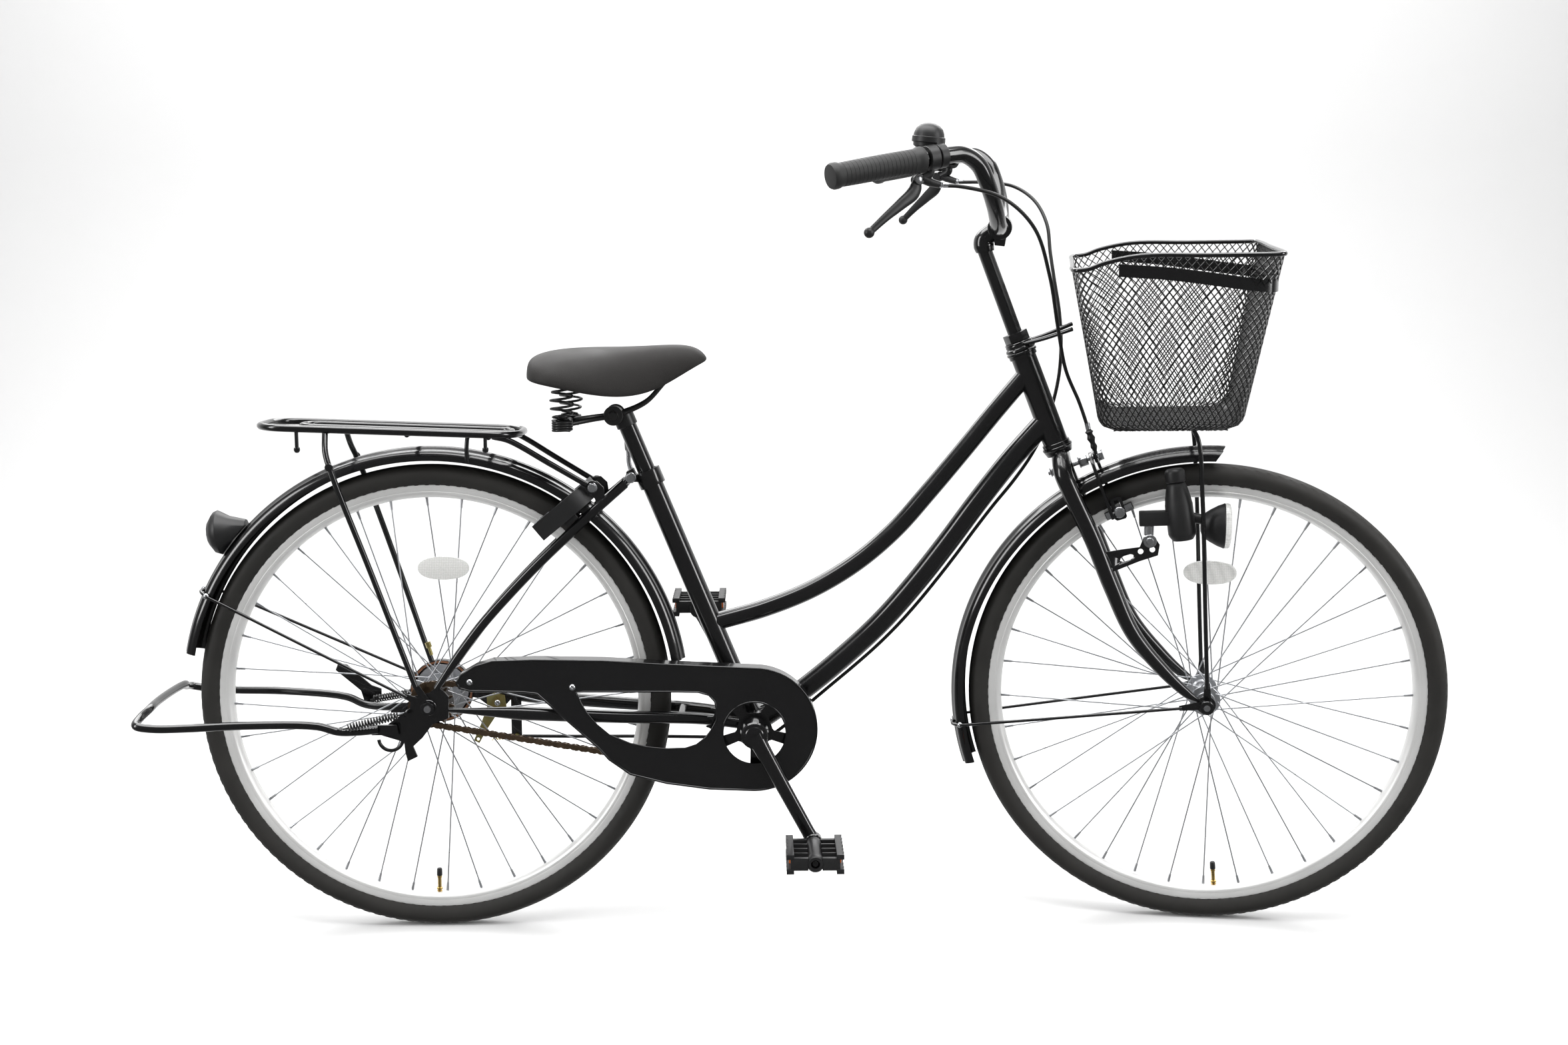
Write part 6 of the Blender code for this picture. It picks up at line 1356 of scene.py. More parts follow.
# %% Cut the toothed plates
def toothed(centre, teeth, phase, y):
    """A sprocket's outline, with rounded seats between its teeth."""
    radius = PITCH / (2 * sin(pi / teeth))
    step = 2 * pi / teeth
    outline = []
    for index in range(teeth):
        for share, lift in ((-0.36, -0.0043), (-0.2, -0.003), (-0.09, 0.002), (0.0, 0.0034), (0.09, 0.002),
                (0.2, -0.003), (0.36, -0.0043)):
            angle = phase + (index + share) * step
            outline.append((centre.x + (radius + lift) * cos(angle), centre.z + (radius + lift) * sin(angle)))
    return plate(outline, 0.0024, y, edge=0.0)

CRANK_LENGTH, CRANK_ANGLE = 0.17, radians(28.3)
PEDAL_DROP = Vector((sin(CRANK_ANGLE), 0, -cos(CRANK_ANGLE))) * CRANK_LENGTH
RIGHT_PEDAL, LEFT_PEDAL = CRANK_AXIS + PEDAL_DROP, CRANK_AXIS - PEDAL_DROP
chainring = toothed(CRANK_AXIS, RING_TEETH, lean + pi, CHAIN_LINE)
for index in range(5):
    middle = radians(20 + 72 * index)
    window = [(CRANK_AXIS.x + radius * cos(middle + swing), CRANK_AXIS.z + radius * sin(middle + swing))
        for radius, swing in ((0.025, -0.26), (0.0275, -0.38), (0.052, -0.47), (0.0548, -0.42), (0.0556, -0.2),
        (0.0558, 0.0), (0.0556, 0.2), (0.0548, 0.42), (0.052, 0.47), (0.0275, 0.38),
        (0.025, 0.26), (0.0245, 0.0))]
    drill(chainring, plate(window, 0.02, CHAIN_LINE, edge=0.0))

# %% [markdown]
# The two arms are made by one function. The right one carries the chainring on its boss, the left one the axle.

# %% Forge the cranks
def squash(obj, centre, share, axis=(0, 1, 0)):
    """Press a piece flatter along this axis."""
    obj.data.transform(Matrix.Translation(centre) @ Matrix.Scale(share, 4, axis) @ Matrix.Translation(-centre))

def crank_arm(pedal, side):
    """A forged arm from the bottom bracket to the pedal's eye."""
    start = CRANK_AXIS + sideways(side * 0.0715)
    end = pedal + sideways(side * 0.079)
    arm = wire([start, start.lerp(end, 0.12), start.lerp(end, 0.5), start.lerp(end, 0.9), end], 0.0105, 24,
        radii=[1.25, 1.1, 0.95, 0.9, 1.0])
    squash(arm, (start + end) / 2, 0.74)
    eye_end = turned(both_ways([(0.0, -0.0078), (0.0112, -0.0078), (0.0124, -0.0066)]), end, steps=36)
    spindle = turned(mm([(0, -1), (4.6, -1), (4.6, 96), (4, 98.5), (0, 98.5)]), end, (0, side, 0), 24)
    return [soften(arm, 50), soften(eye_end, 30), soften(spindle, 30)]

boss = turned(mm([(9.4, -30), (19, -40), (20, -41), (20, -68), (18.8, -76), (17, -78), (15, -78.5),
    (0, -78.5)]), CRANK_AXIS)
cap = turned(mm([(0, -80), (11.8, -79.8), (13, -79), (13, -78.4), (0, -78.4)]), CRANK_AXIS, (0, 1, 0), 40)
right_bits = [soften(chainring, 30), soften(boss, 30), soften(cap, 30)] + crank_arm(RIGHT_PEDAL, -1)
settle(right_bits, "crank_right_forged", black_enamel, "crankset", ["crank_right"])
left_boss = turned(mm([(0, 40), (15.5, 40), (16.5, 41.2), (16.5, 75), (15, 78), (0, 78.5)]), CRANK_AXIS)
axle_bar = rod(CRANK_AXIS - sideways(0.064), CRANK_AXIS + sideways(0.07), 0.0082, 24)
left_bits = [soften(left_boss, 30), soften(axle_bar, 30)] + crank_arm(LEFT_PEDAL, 1)
settle(left_bits, "crank_left_forged", black_enamel, "crankset", ["crank_left"])

# %% [markdown]
# The sprocket is a small toothed plate on the stepped body of its free wheel.

# %% Cut the sprocket
cog = toothed(REAR_AXLE, COG_TEETH, lean, CHAIN_LINE)
drill(cog, rod(REAR_AXLE + sideways(CHAIN_LINE - 0.01), REAR_AXLE + sideways(CHAIN_LINE + 0.01), 0.01, 32))
freewheel = turned(mm([(7.5, -35.5), (18.5, -35.5), (19, -36.2), (19, -43.4), (18.4, -44.2), (16, -44.6),
    (16, -47.2), (15, -48), (7.5, -48)]), REAR_AXLE, (0, 1, 0), 48, closed=True)
settle([soften(cog, 30), soften(freewheel, 30)], "rear_sprocket_cut", chain_bronze, "sprocket",
    ["rear_sprocket"])

# %% [markdown]
# ## Pedals
# Each pedal is a moulded cage round a barrel. Its two treads have zig-zag edges for grip, ribs join them to the
# barrel, and an orange reflector is set into the outer face of each tread.

# %% Mould a pedal
LAID_FLAT = Matrix(((1, 0, 0, 0), (0, 0, 1, 0), (0, 1, 0, 0), (0, 0, 0, 1)))

def pedal(name, centre, side, body):
    middle = centre + sideways(side * 0.136)
    half = mm([(6, -45), (9.8, -45), (11.5, -42.5), (11.5, -30), (9.6, -24)])
    bits = [soften(turned(both_ways(half), middle, steps=40, closed=True), 35)]
    for end in (-1, 1):
        zigzag = []
        for index in range(13):
            zigzag.append((end * (0.0385 if index % 2 == 0 else 0.0358), -0.045 + 0.0075 * index))
        tread = zigzag + [(end * 0.0285, 0.045), (end * 0.0285, -0.045)]
        for level in (-0.01, 0.01):
            rail = plate(tread, 0.0068, level)
            rail.data.transform(Matrix.Translation(middle) @ LAID_FLAT)
            bits.append(soften(weld(rail), 35))
        for y in (-0.041, -0.02, 0.0, 0.02, 0.041):
            thick = 0.007 if abs(y) > 0.03 else 0.003
            rib = plate(oblong(end * 0.0095, end * 0.033, -0.0085, 0.0085), thick, y)
            rib.data.transform(Matrix.Translation(middle))
            bits.append(rib)
    settle(bits, name + "_moulded", moulded_plastic, body, [name])
    lights = []
    for end in (-1, 1):
        lens = plate(oblong(end * 0.0325, end * 0.0352, -0.0052, 0.0052), 0.046, 0.0, edge=0.0006)
        lens.data.transform(Matrix.Translation(middle))
        lights.append(lens)
    settle(lights, name + "_reflectors", orange_prisms, body)

pedal("pedal_right", RIGHT_PEDAL, -1, "pedal_right_body")
pedal("pedal_left", LEFT_PEDAL, 1, "pedal_left_body")

# %% [markdown]
# ## Fork and stem
# From here the pieces belong to the steering, so they are drawn straight ahead and turned when they settle. The
# fork's two blades come out of a sloping crown, bend forwards and taper to the dropouts, which are pressed
# flat.

# %% Bend the fork
blades = []
for side in (-1, 1):
    blade = mm([(876, side * 1, 666), (876, side * 23, 664), (879.5, side * 39, 648), (890, side * 42.5, 624),
        (921.7, side * 44, 558.1), (948.7, side * 45.5, 492.9), (979.5, side * 47.5, 427.4),
        (1021.9, side * 50, 376.3), (1056, side * 51.8, 345), (1073.5, side * 52.2, 334.3)])
    blades.append(wire(blade, 0.0125, 24, radii=[1.0, 1.02, 1.02, 1.0, 0.98, 0.95, 0.86, 0.74, 0.55, 0.2]))
    blades.append(plate(arc(FRONT_AXLE.x, FRONT_AXLE.z, 0.013, range(0, 360, 12)), 0.0044, side * 0.0522))
    blades.append(wire(mm([(818, side * 12, 823), (848, side * 24, 832), (887, side * 42, 847)]), 0.003, 14))
profile = mm([(0, -40), (9, -40), (9, -8), (18, -7.5), (20.3, -0.6), (0, -0.5)])
blades.append(soften(turned(profile, HEAD_BOTTOM, STEER_AXIS, 40), 30))
profile = mm([(0, 0.4), (20, 0.4), (21.2, 2), (20.6, 4.5), (18.6, 6.2), (19.2, 8), (19, 10),
    (18, 11.4), (0, 11.4)])
blades.append(soften(turned(profile, HEAD_TOP, STEER_AXIS, 40), 30))
blades += hex_nut(HEAD_TOP + STEER_AXIS * 0.0114, STEER_AXIS, 0.0175, 0.0145)
lamp_tab = plate(mm([(940, 542), (960, 546), (985, 550), (990, 564), (1004, 566), (1012, 554), (1010, 539),
    (985, 530), (940, 510)]), 0.0026, -0.048, [(0.9865, 0.544, 0.0038), (1.0022, 0.547, 0.0038)])
drill(lamp_tab,
    plate(mm([(959, 530), (960, 534), (964, 537), (973, 540), (977, 539), (977, 535), (973, 532),
    (964, 528.5)]), 0.02, -0.048, edge=0.0))
settle([*blades, lamp_tab], "fork_bent", black_enamel, "steering", ["fork"])

# %% [markdown]
# One long bolt through the crown carries the front brake, its spacer and the fender's tab. The lamp's bolt and
# the end of the brake cable are zinc too, so they settle with it.

# %% Bolt of the front brake
bolt_bits = [rod(CALIPER_PIVOT - CALIPER_AXIS * 0.06, CALIPER_PIVOT + CALIPER_AXIS * 0.015, 0.003, 16),
    *hex_nut(CALIPER_PIVOT - CALIPER_AXIS * 0.057, CALIPER_AXIS, 0.006, 0.009),
    *hex_nut(CALIPER_PIVOT - CALIPER_AXIS * 0.0155, CALIPER_AXIS, 0.0078, 0.0128),
    *hex_nut(CALIPER_PIVOT + CALIPER_AXIS * 0.0116, CALIPER_AXIS, 0.0078, 0.008),
    collar((0.9985, -0.0494, 0.559), (0.9985, -0.052, 0.559), 0.0092),
    *hex_nut((0.9985, -0.052, 0.559), (0, -1, 0), 0.0046, 0.0034),
    rod((0.91, -0.024, 0.717), (0.9122, -0.024, 0.7085), 0.0036, 16)]
settle(bolt_bits, "caliper_bolt", bright_zinc, "steering")

# %% [markdown]
# ## Handlebar, stem and grips
# The bar rises from the stem and sweeps back to the grips. The stem is a slim shaft with a swelling neck and a
# split clamp, and each grip is turned with shallow grooves and a flared end.

# %% Bar, stem and grips
STEM_TOP = Vector((0.764, 0.0, 0.956))
BAR_CENTRE = Vector((0.787, 0.0, 0.9816))
GRIP_START, GRIP_END = Vector((0.697, -0.197, 1.0735)), Vector((0.587, -0.2755, 1.053))
GRIP_AXIS = (GRIP_END - GRIP_START).normalized()
GRIP_LENGTH = (GRIP_END - GRIP_START).length
bar_half = [(0.787, -0.03, 0.9816), (0.7862, -0.07, 0.99), (0.783, -0.108, 1.013), (0.774, -0.135, 1.043),
    (0.763, -0.146, 1.066), (0.745, -0.16, 1.079), GRIP_START - GRIP_AXIS * 0.034, GRIP_END - GRIP_AXIS * 0.008]
bar = wire(mirror(reversed(bar_half)) + bar_half, 0.011, 28, resolution=12)
settle(bar, "handlebar_bent", black_enamel, "steering", ["handlebar"])
stem_bits = [rod(HEAD_TOP - STEER_AXIS * 0.038, STEM_TOP, 0.0101, 28),
    wire([STEM_TOP - STEER_AXIS * 0.008, STEM_TOP + Vector((0.001, 0, 0.008)), BAR_CENTRE], 0.0133, 28,
    radii=[0.95, 1.06, 1.0, 0.95, 0.9]),
    soften(turned(both_ways(mm([(11.3, -19), (16, -19), (16.5, -18.3)])), BAR_CENTRE, steps=40,
    closed=True), 30)]
for y in (-0.007, 0.007):
    stem_bits.append(plate(mm([(779, 972), (796, 970), (793.5, 956), (780, 957.5)]), 0.006, y))
stem_bits += hex_nut((0.787, 0.01, 0.963), (0, 1, 0), 0.005, 0.005)
settle(stem_bits, "stem_forged", black_enamel, "steering", ["stem"])

# %% [markdown]
# Grips, brackets and levers come in pairs. The right one is drawn, and the left one is its mirror image, with
# its faces turned round again so that they still point outwards.

# %% Pairs, and the grips

def both(make, names, coat, bodies, nodes):
    """Settle a right piece, and its mirror image on the left; each is made afresh."""
    for name, body, node, side in zip(names, bodies, nodes, (-1, 1)):
        obj = make()
        if side > 0:
            obj.data.transform(Matrix.Scale(-1, 4, (0, 1, 0)))
            obj.data.flip_normals()
        settle(obj, name, coat, body, [node] if node else ())

def grip():
    """A rubber grip with a flange, fine grooves and a rounded end."""
    profile = mm([(11.3, 2.5), (16.3, 3), (16.6, 4.5), (16.6, 9.5), (15.2, 12.5)])
    grooves = 18
    for index in range(grooves):
        at = 0.015 + (GRIP_LENGTH - 0.031) * index / grooves
        swell = 0.015 + 0.0005 * sin(pi * index / grooves)
        profile += [(swell, at), (swell, at + 0.0045), (swell - 0.0004, at + 0.005),
            (swell - 0.0004, at + 0.0056)]
    profile += [(0.015, GRIP_LENGTH - 0.014), (0.0165, GRIP_LENGTH - 0.01), (0.0166, GRIP_LENGTH - 0.004),
        (0.015, GRIP_LENGTH - 0.0008), (0.011, GRIP_LENGTH), (0.0, GRIP_LENGTH)]
    return soften(turned(profile, GRIP_START, GRIP_AXIS, 48), 30)

both(grip, ("grip_right_ribbed", "grip_left_ribbed"), grip_rubber, ("steering",) * 2,
    ("grip_right", "grip_left"))

# %% [markdown]
# ## Brake levers and bell
# A lever's blade widens at its root, curves down and ends in a ball. Its bracket is a clamp round the bar with
# a nose, from which the cable leaves through a small steel adjuster.

# %% Levers and their brackets
LEVER_PIVOT, LEVER_TIP = Vector((0.689, -0.198, 1.048)), Vector((0.633, -0.248, 0.984))
LEVER_AXIS = GRIP_AXIS.cross(LEVER_TIP - LEVER_PIVOT).normalized()

def lever():
    blade = wire([LEVER_PIVOT, (0.685, -0.204, 1.033), (0.67, -0.219, 1.018), (0.652, -0.234, 1.002),
        LEVER_TIP], 0.0075, 24, radii=[0.75, 1.1, 1.2, 1.05, 0.9, 0.76, 0.66, 0.6])
    squash(blade, LEVER_PIVOT, 0.55, LEVER_AXIS)
    hub = rod(LEVER_PIVOT - LEVER_AXIS * 0.0031, LEVER_PIVOT + LEVER_AXIS * 0.0031, 0.0064, 24)
    clear()
    bpy.ops.mesh.primitive_uv_sphere_add(segments=24, ring_count=16, radius=0.0068, location=LEVER_TIP)
    ball = bpy.context.object
    bpy.ops.object.shade_smooth()
    return join(blade, round_edges(hub), ball)

def bracket():
    centre = GRIP_START - GRIP_AXIS * 0.01
    band = turned(both_ways(mm([(11.3, 7), (15.4, 7), (16, 6.2)])), centre, GRIP_AXIS, 40, closed=True)
    neck = wire([centre + Vector((-0.001, 0.001, -0.012)), centre + Vector((-0.001, 0.0015, -0.019)),
        LEVER_PIVOT + Vector((0.004, 0.0025, 0.001))], 0.0056, 20)
    nose = wire([LEVER_PIVOT + Vector((0.006, 0.003, 0.001)), LEVER_PIVOT + Vector((0.015, 0.006, -0.003)),
        (0.716, -0.187, 1.0415)], 0.0058, 20, radii=[1.0, 0.95, 0.75])
    cheeks = [rod(LEVER_PIVOT + LEVER_AXIS * low, LEVER_PIVOT + LEVER_AXIS * high, 0.007, 28)
        for low, high in ((-0.0057, -0.0035), (0.0035, 0.0057))]
    return join(soften(band, 30), neck, nose, *[round_edges(cheek) for cheek in cheeks])

def adjuster():
    nose_end, way = Vector((0.715, -0.1874, 1.0418)), Vector((0.92, 0.2, -0.05)).normalized()
    rivet = soften(turned(mm([(0, 6.8), (3, 6.6), (4.4, 5.7), (0, 5.6)]), LEVER_PIVOT, LEVER_AXIS, 24), 40)
    return join(rivet, rod(nose_end, nose_end + way * 0.012, 0.0032, 20),
        *hex_nut(nose_end + way * 0.002, way, 0.0042, 0.0034))

for make, stem_name, coat, bodies, nodes, slot in ((lever, "brake_lever_%s_blade", moulded_plastic,
        ("lever_right", "lever_left"), ("brake_lever_right", "brake_lever_left"), "black_plastic"),
        (bracket, "brake_bracket_%s_cast", moulded_plastic, ("steering",) * 2,
        ("brake_bracket_right", "brake_bracket_left"), "black_plastic"),
        (adjuster, "brake_bracket_%s_adjuster", bright_zinc, ("steering",) * 2, (None, None), None)):
    both(make, [stem_name % side for side in ("right", "left")], coat, bodies, nodes)

# %% [markdown]
# The bell is a turned dome on its own band round the bar. A thumb lever of black plastic sticks out from under
# it.

# %% Turn the bell
BELL_CENTRE = Vector((0.7, -0.164, 1.096))
dome = turned(mm([(0, 23), (7, 22.2), (12.5, 19.8), (17, 15.5), (19.2, 10), (19.8, 6), (21.2, 5.2), (21.4, -1),
    (20.8, -2), (19.2, -2.2), (19, -6.2), (15, -9), (0, -9.6)]), BELL_CENTRE, (0.1, 0, 0.995))
band = turned(both_ways([(0.0113, 0.0055), (0.0148, 0.0055), (0.0155, 0.0047)]),
    GRIP_START - GRIP_AXIS * 0.0245, GRIP_AXIS, 40, closed=True)
post = wire([BELL_CENTRE + Vector((0.002, 0, -0.007)), BELL_CENTRE + Vector((0.007, -0.007, -0.005)),
    (0.715, -0.179, 1.0928)], 0.004, 16)
settle([soften(dome, 30), soften(band, 30), post], "bell_turned", moulded_plastic, "steering", ["bell"])
thumb = plate(mm([(-9, -6), (-22, -9), (-34, -12), (-36, -6), (-36, 2), (-26, 6), (-18, 9), (-6, 8)]), 0.0036,
    0.0, place=Matrix.Translation(BELL_CENTRE + Vector((0, 0, -0.0145))) @ Matrix.Rotation(-pi / 2, 4, "X"))
settle(thumb, "bell_thumb_moulded", moulded_plastic, "bell_thumb", ["bell_lever"])

# %% [markdown]
# ## Brakes
# The front brake is a side-pull: both black arms turn on one bolt, and each ends in a slotted foot that holds a
# zinc shoe with a rubber pad in line with the rim.

# %% Front brake
def caliper_place(level, side):
    """The plane across the caliper's bolt: X outwards on that side, Z up the steering axis."""
    place = Matrix.Identity(4)
    place.col[0][:3], place.col[1][:3], place.col[2][:3] = (0, side, 0), CALIPER_AXIS * side, STEER_AXIS
    place.translation = CALIPER_PIVOT + CALIPER_AXIS * level
    return place

ARM = mm([(-9, 5), (-4, 8), (6, 8.8), (18, 7), (28, 1.5), (34.5, -7), (37, -18), (37.2, -48), (34.5, -86),
    (26.8, -86), (27.6, -48), (26.8, -24), (23.5, -15), (16, -10), (6, -8.5), (-6, -8)])
PAD = Vector((0.9571, 0.0, 0.5943))
RIM_SLOPE = radians(25.3)
ALONG_RIM = Vector((cos(RIM_SLOPE), 0, sin(RIM_SLOPE)))
FOOT = mm([(-8.5, -8), (-6, -10.5), (6, -10.5), (8.5, -8), (8.5, 18), (6, 21.5), (-6, 21.5), (-8.5, 18)])
for name, level, side in (("right", 0.003, -1), ("left", 0.0085, 1)):
    place = caliper_place(level, side)
    arm = plate(ARM, 0.0046, 0.0, holes=[(0.0, 0.0, 0.004)], edge=0.0009, place=place)
    drill(arm, plate(mm([(30, -80), (33, -80), (34.5, -52), (31.2, -52)]), 0.02, 0.0, edge=0.0, place=place))
    outer = place @ Vector((0.0304, 0, -0.081))
    middle = PAD + sideways(side * 0.0265)
    lean_back = Matrix.Translation(middle + sideways(side * 0.0025)) @ Matrix.Rotation(radians(-18), 4, "Y")
    foot = plate(FOOT, 0.003, 0.0, place=lean_back)
    drill(foot, plate(oblong(-0.0028, 0.0028, 0.007, 0.0175), 0.02, 0.0, edge=0.0, place=lean_back))
    settle([arm, foot, rod(middle, outer, 0.0048, 20)], "caliper_arm_%s_bent" % name, black_enamel,
        "caliper_" + name, ["caliper_arm_" + name])
    shoe = plate(oblong(-0.019, 0.019, -0.005, 0.005), 0.0024, 0.0,
        place=Matrix.Translation(middle - sideways(side * 0.003)) @ Matrix.Rotation(-RIM_SLOPE, 4, "Y"))
    holder = [shoe, rod(middle - sideways(side * 0.0035), middle + sideways(side * 0.006), 0.004, 24),
        *hex_nut(middle + sideways(side * 0.0042), (0, side, 0), 0.0068, 0.004)]
    settle(holder, "brake_shoe_" + name, bright_zinc, "caliper_" + name)
    heart = PAD + sideways(side * 0.0185)
    pad = wire([heart - ALONG_RIM * 0.02, heart + ALONG_RIM * 0.02], 0.0056, 20)
    squash(pad, heart, 0.85)
    settle(round_edges(pad, 0.001), "brake_pad_" + name, grip_rubber, "caliper_" + name)

# %% [markdown]
# The rear brake is a band brake. Its black cover with a stepped edge is turned, and so is the copper lining
# that shows behind it. The arms and the cable's end piece have a yellow chromate film.

# %% Rear band brake
cover = mm([(7, 52.6), (33, 52.6), (34.5, 51.6), (39, 51.6), (40, 50), (40.2, 38.8), (44, 38.6), (45, 39.4),
    (45, 48.6), (43.6, 50.6), (40, 53.4), (38, 54.3), (15, 54.3), (7, 54.3)])
drum = [soften(turned(cover, REAR_AXLE, (0, 1, 0), 64, closed=True), 30),
    plate(mm([(41, 341), (70, 340), (113, 335), (113, 262), (98, 256), (98, 316), (87, 304), (70, 304),
    (52, 318), (42.5, 320)]), 0.0024, 0.042)]
hub_bits = [rod(REAR_AXLE - sideways(0.078), REAR_AXLE + sideways(0.078), 0.0048, 24),
    collar(REAR_AXLE + sideways(0.0543), REAR_AXLE + sideways(0.0571), 0.01),
    rod(REAR_AXLE - sideways(0.0571), REAR_AXLE - sideways(0.0505), 0.009, 24)]
for side in (-1, 1):
    drum += hex_nut(REAR_AXLE + sideways(side * 0.0667), (0, side, 0), 0.0098, 0.0076)
settle(drum, "band_brake_cover", black_enamel, "frame", ["band_brake"])
hub_bits += [rod((0.079, 0.037, 0.312), (0.079, 0.0425, 0.312), 0.0032, 20),
    screw_head((0.079, 0.0376, 0.312), (0, -1, 0), 0.0042, 0.0018),
    turned(mm([(0, 54.5), (33, 54.5), (33, 54.2), (0, 54.2)]), REAR_AXLE, (0, 1, 0), 64)]
settle(hub_bits, "band_brake_zinc", bright_zinc, "frame")
lining = turned(mm([(40.8, 38.4), (43.6, 38.4), (43.6, 38.7), (40.8, 38.7)]), REAR_AXLE, (0, 1, 0),
    64, closed=True)
settle(soften(lining), "band_brake_copper", copper, "frame")
brass_bits = [rod((0.106, 0.0375, 0.262), (0.106, 0.0475, 0.262), 0.0044, 24),
    wire(helix((0.102, 0.0424, 0.262), (0.07, 0.0424, 0.26), lambda share: 0.0036, 9), 0.0007, 6, order=1),
    rod((-0.014, 0.045, 0.381), (-0.0185, 0.045, 0.396), 0.0024, 16),
    rod((-0.0172, 0.045, 0.392), (-0.0196, 0.045, 0.3995), 0.0042, 6)]
settle(brass_bits, "band_brake_barrel", yellow_chromate, "frame")
arm = plate(mm([(90, 323), (92, 306), (78, 295), (64, 274), (52, 253), (44, 257), (54, 279), (64, 306),
    (64, 320), (75, 327)]), 0.0024, 0.0388, holes=[(0.079, 0.312, 0.0042), (0.0505, 0.259, 0.0022)])
settle(arm, "rear_brake_arm_pressed", yellow_chromate, "brake_arm", ["rear_brake_arm"])

# %% [markdown]
# ## Ring lock
# The lock is a horseshoe of black plastic with rounded edges. Its bolt is a bent bar that comes out of one end,
# and a zinc plate with a screw closes each foot.

# %% Shape the lock
LOCK_FOOT = Vector((0.1536, 0.0, 0.567))
LOCK_ALONG = Vector((0.768, 0.0, 0.64)).normalized()
LOCK_PLACE = Matrix.Identity(4)
LOCK_PLACE.col[0][:3], LOCK_PLACE.col[1][:3] = LOCK_ALONG, (-LOCK_ALONG.z, 0.0, LOCK_ALONG.x)
LOCK_PLACE.col[2][:3] = (0, -1, 0)
LOCK_PLACE.translation = LOCK_FOOT

def arch(half_width, reach, foot, steps):
    """A horseshoe line: X along the seat stay, Y across the bicycle."""
    swing = [pi * index / (steps - 1) for index in range(steps)]
    return [(0.0, foot)] + [(0.045 + reach * sin(a), half_width * cos(a)) for a in swing] + [(0.0, -foot)]

def lock_ring(angles):
    """The bolt's circle in the plane of the lock, at these angles."""
    return [LOCK_PLACE @ Vector((0.042 - 0.046 * cos(radians(a)), -0.0045, 0.046 * sin(radians(a))))
        for a in angles]

case = plate(arch(0.0516, 0.0536, 0.0496, 33) + list(reversed(arch(0.0316, 0.0396, 0.0334, 33))), 0.025, 0.0015,
    edge=0.0, place=LOCK_PLACE)
drill(case, wire(lock_ring(range(0, 360, 5)), 0.0042, 12, closed=True, order=1))
feet = [plate(oblong(0.035, 0.055, side * 0.0405 - 0.005, side * 0.0405 + 0.005), 0.0072, -0.0141,
    place=LOCK_PLACE) for side in (-1, 1)]
settle([round_edges(case, 0.0024, 4, 50), *feet], "ring_lock_case", moulded_plastic, "frame", ["ring_lock"])

# %% [markdown]
# The bolt is part of the same circle as the groove that it slides in. The plates on the feet have a screw each.

# %% Bolt and plates
settle(wire(lock_ring([48.0 + 112.0 * index / 24 for index in range(25)]), 0.0032, 20, order=1),
    "ring_lock_bolt_bent", bright_zinc, "lock_bolt", ["ring_lock_bolt"])
plates = []
for side in (-1, 1):
    plates.append(plate([(0.004, side * 0.0415 - 0.0065), (0.03, side * 0.043 - 0.0065),
        (0.03, side * 0.043 + 0.0065), (0.004, side * 0.0415 + 0.0065)], 0.001, 0.0144, place=LOCK_PLACE))
    plates.append(screw_head(LOCK_PLACE @ Vector((0.017, 0.0148, side * 0.0422)), LOCK_PLACE.col[1][:3],
        0.0034, 0.0012))
settle(plates, "ring_lock_plates", bright_zinc, "frame")

# %% [markdown]
# ## Kickstand
# One bar is bent into both legs and the foot. Two close-wound springs pull it up or down past its hinge, and a
# slotted lever locks it.

# %% Bend the stand
STAND_PIVOT, SPRING_HOOK = Vector((-0.0513, 0.0, 0.2987)), Vector((-0.03, 0.0, 0.3235))
STAND_HOOK = Vector((-0.1181, 0.0, 0.3049))
leg = mm([(-70, -69.2, 300), (-95, -75, 299), (-120.9, -83, 301), (-147.8, -90, 310.5), (-240, -106, 316),
    (-320, -118, 315.5), (-360, -125, 317), (-381.5, -124, 320.6), (-383.8, -100, 326), (-378, -80, 333),
    (-380, -40, 334.5)])
stand = [wire(leg + mirror(reversed(leg)), 0.0057, 20, resolution=6)]
for side in (-1, 1):
    stand += [plate(mm([(-79, 292), (-80, 306), (-44, 306.5), (-42, 292)]), 0.0045, side * 0.0667),
        rod(STAND_PIVOT + sideways(side * 0.057), STAND_PIVOT + sideways(side * 0.0675), 0.0036, 20),
        rod(STAND_HOOK + sideways(side * 0.082), STAND_HOOK + sideways(side * 0.096), 0.0028, 16)]
stand.append(rod(STAND_HOOK + sideways(0.09), STAND_HOOK + sideways(0.0994), 0.004, 20))
settle(stand, "kickstand_bent", black_enamel, "stand", ["kickstand"])
lever_plate = plate(mm([(-99, 312), (-105, 303), (-113, 298.5), (-124, 300), (-129, 317), (-165, 348),
    (-161, 358), (-148, 356), (-113, 325), (-99, 320)]), 0.003, 0.1012)
settle(lever_plate, "stand_lock_lever_cut", black_enamel, "stand_lock", ["stand_lock_lever"])

# %% [markdown]
# Each spring is hooked to the stand and to a pin on the dropout, and it hangs on neither body.

# %% Wind the springs
for name, side in (("stand_spring_right", -1), ("stand_spring_left", 1)):
    rear, front = STAND_HOOK + sideways(side * 0.09), SPRING_HOOK + sideways(side * 0.072)
    way = (front - rear).normalized()
    coil = wire(helix(rear + way * 0.012, front - way * 0.012, lambda share: 0.005, 17, 12), 0.0011, 6, order=1)
    ends = [wire([rear + way * 0.0048, rear + way * 0.012], 0.0011, 8),
        wire([front - way * 0.012, front - way * 0.0048], 0.0011, 8)]
    spring = settle([coil, *ends], name + "_wound", black_spring, None, [name])
    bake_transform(spring)

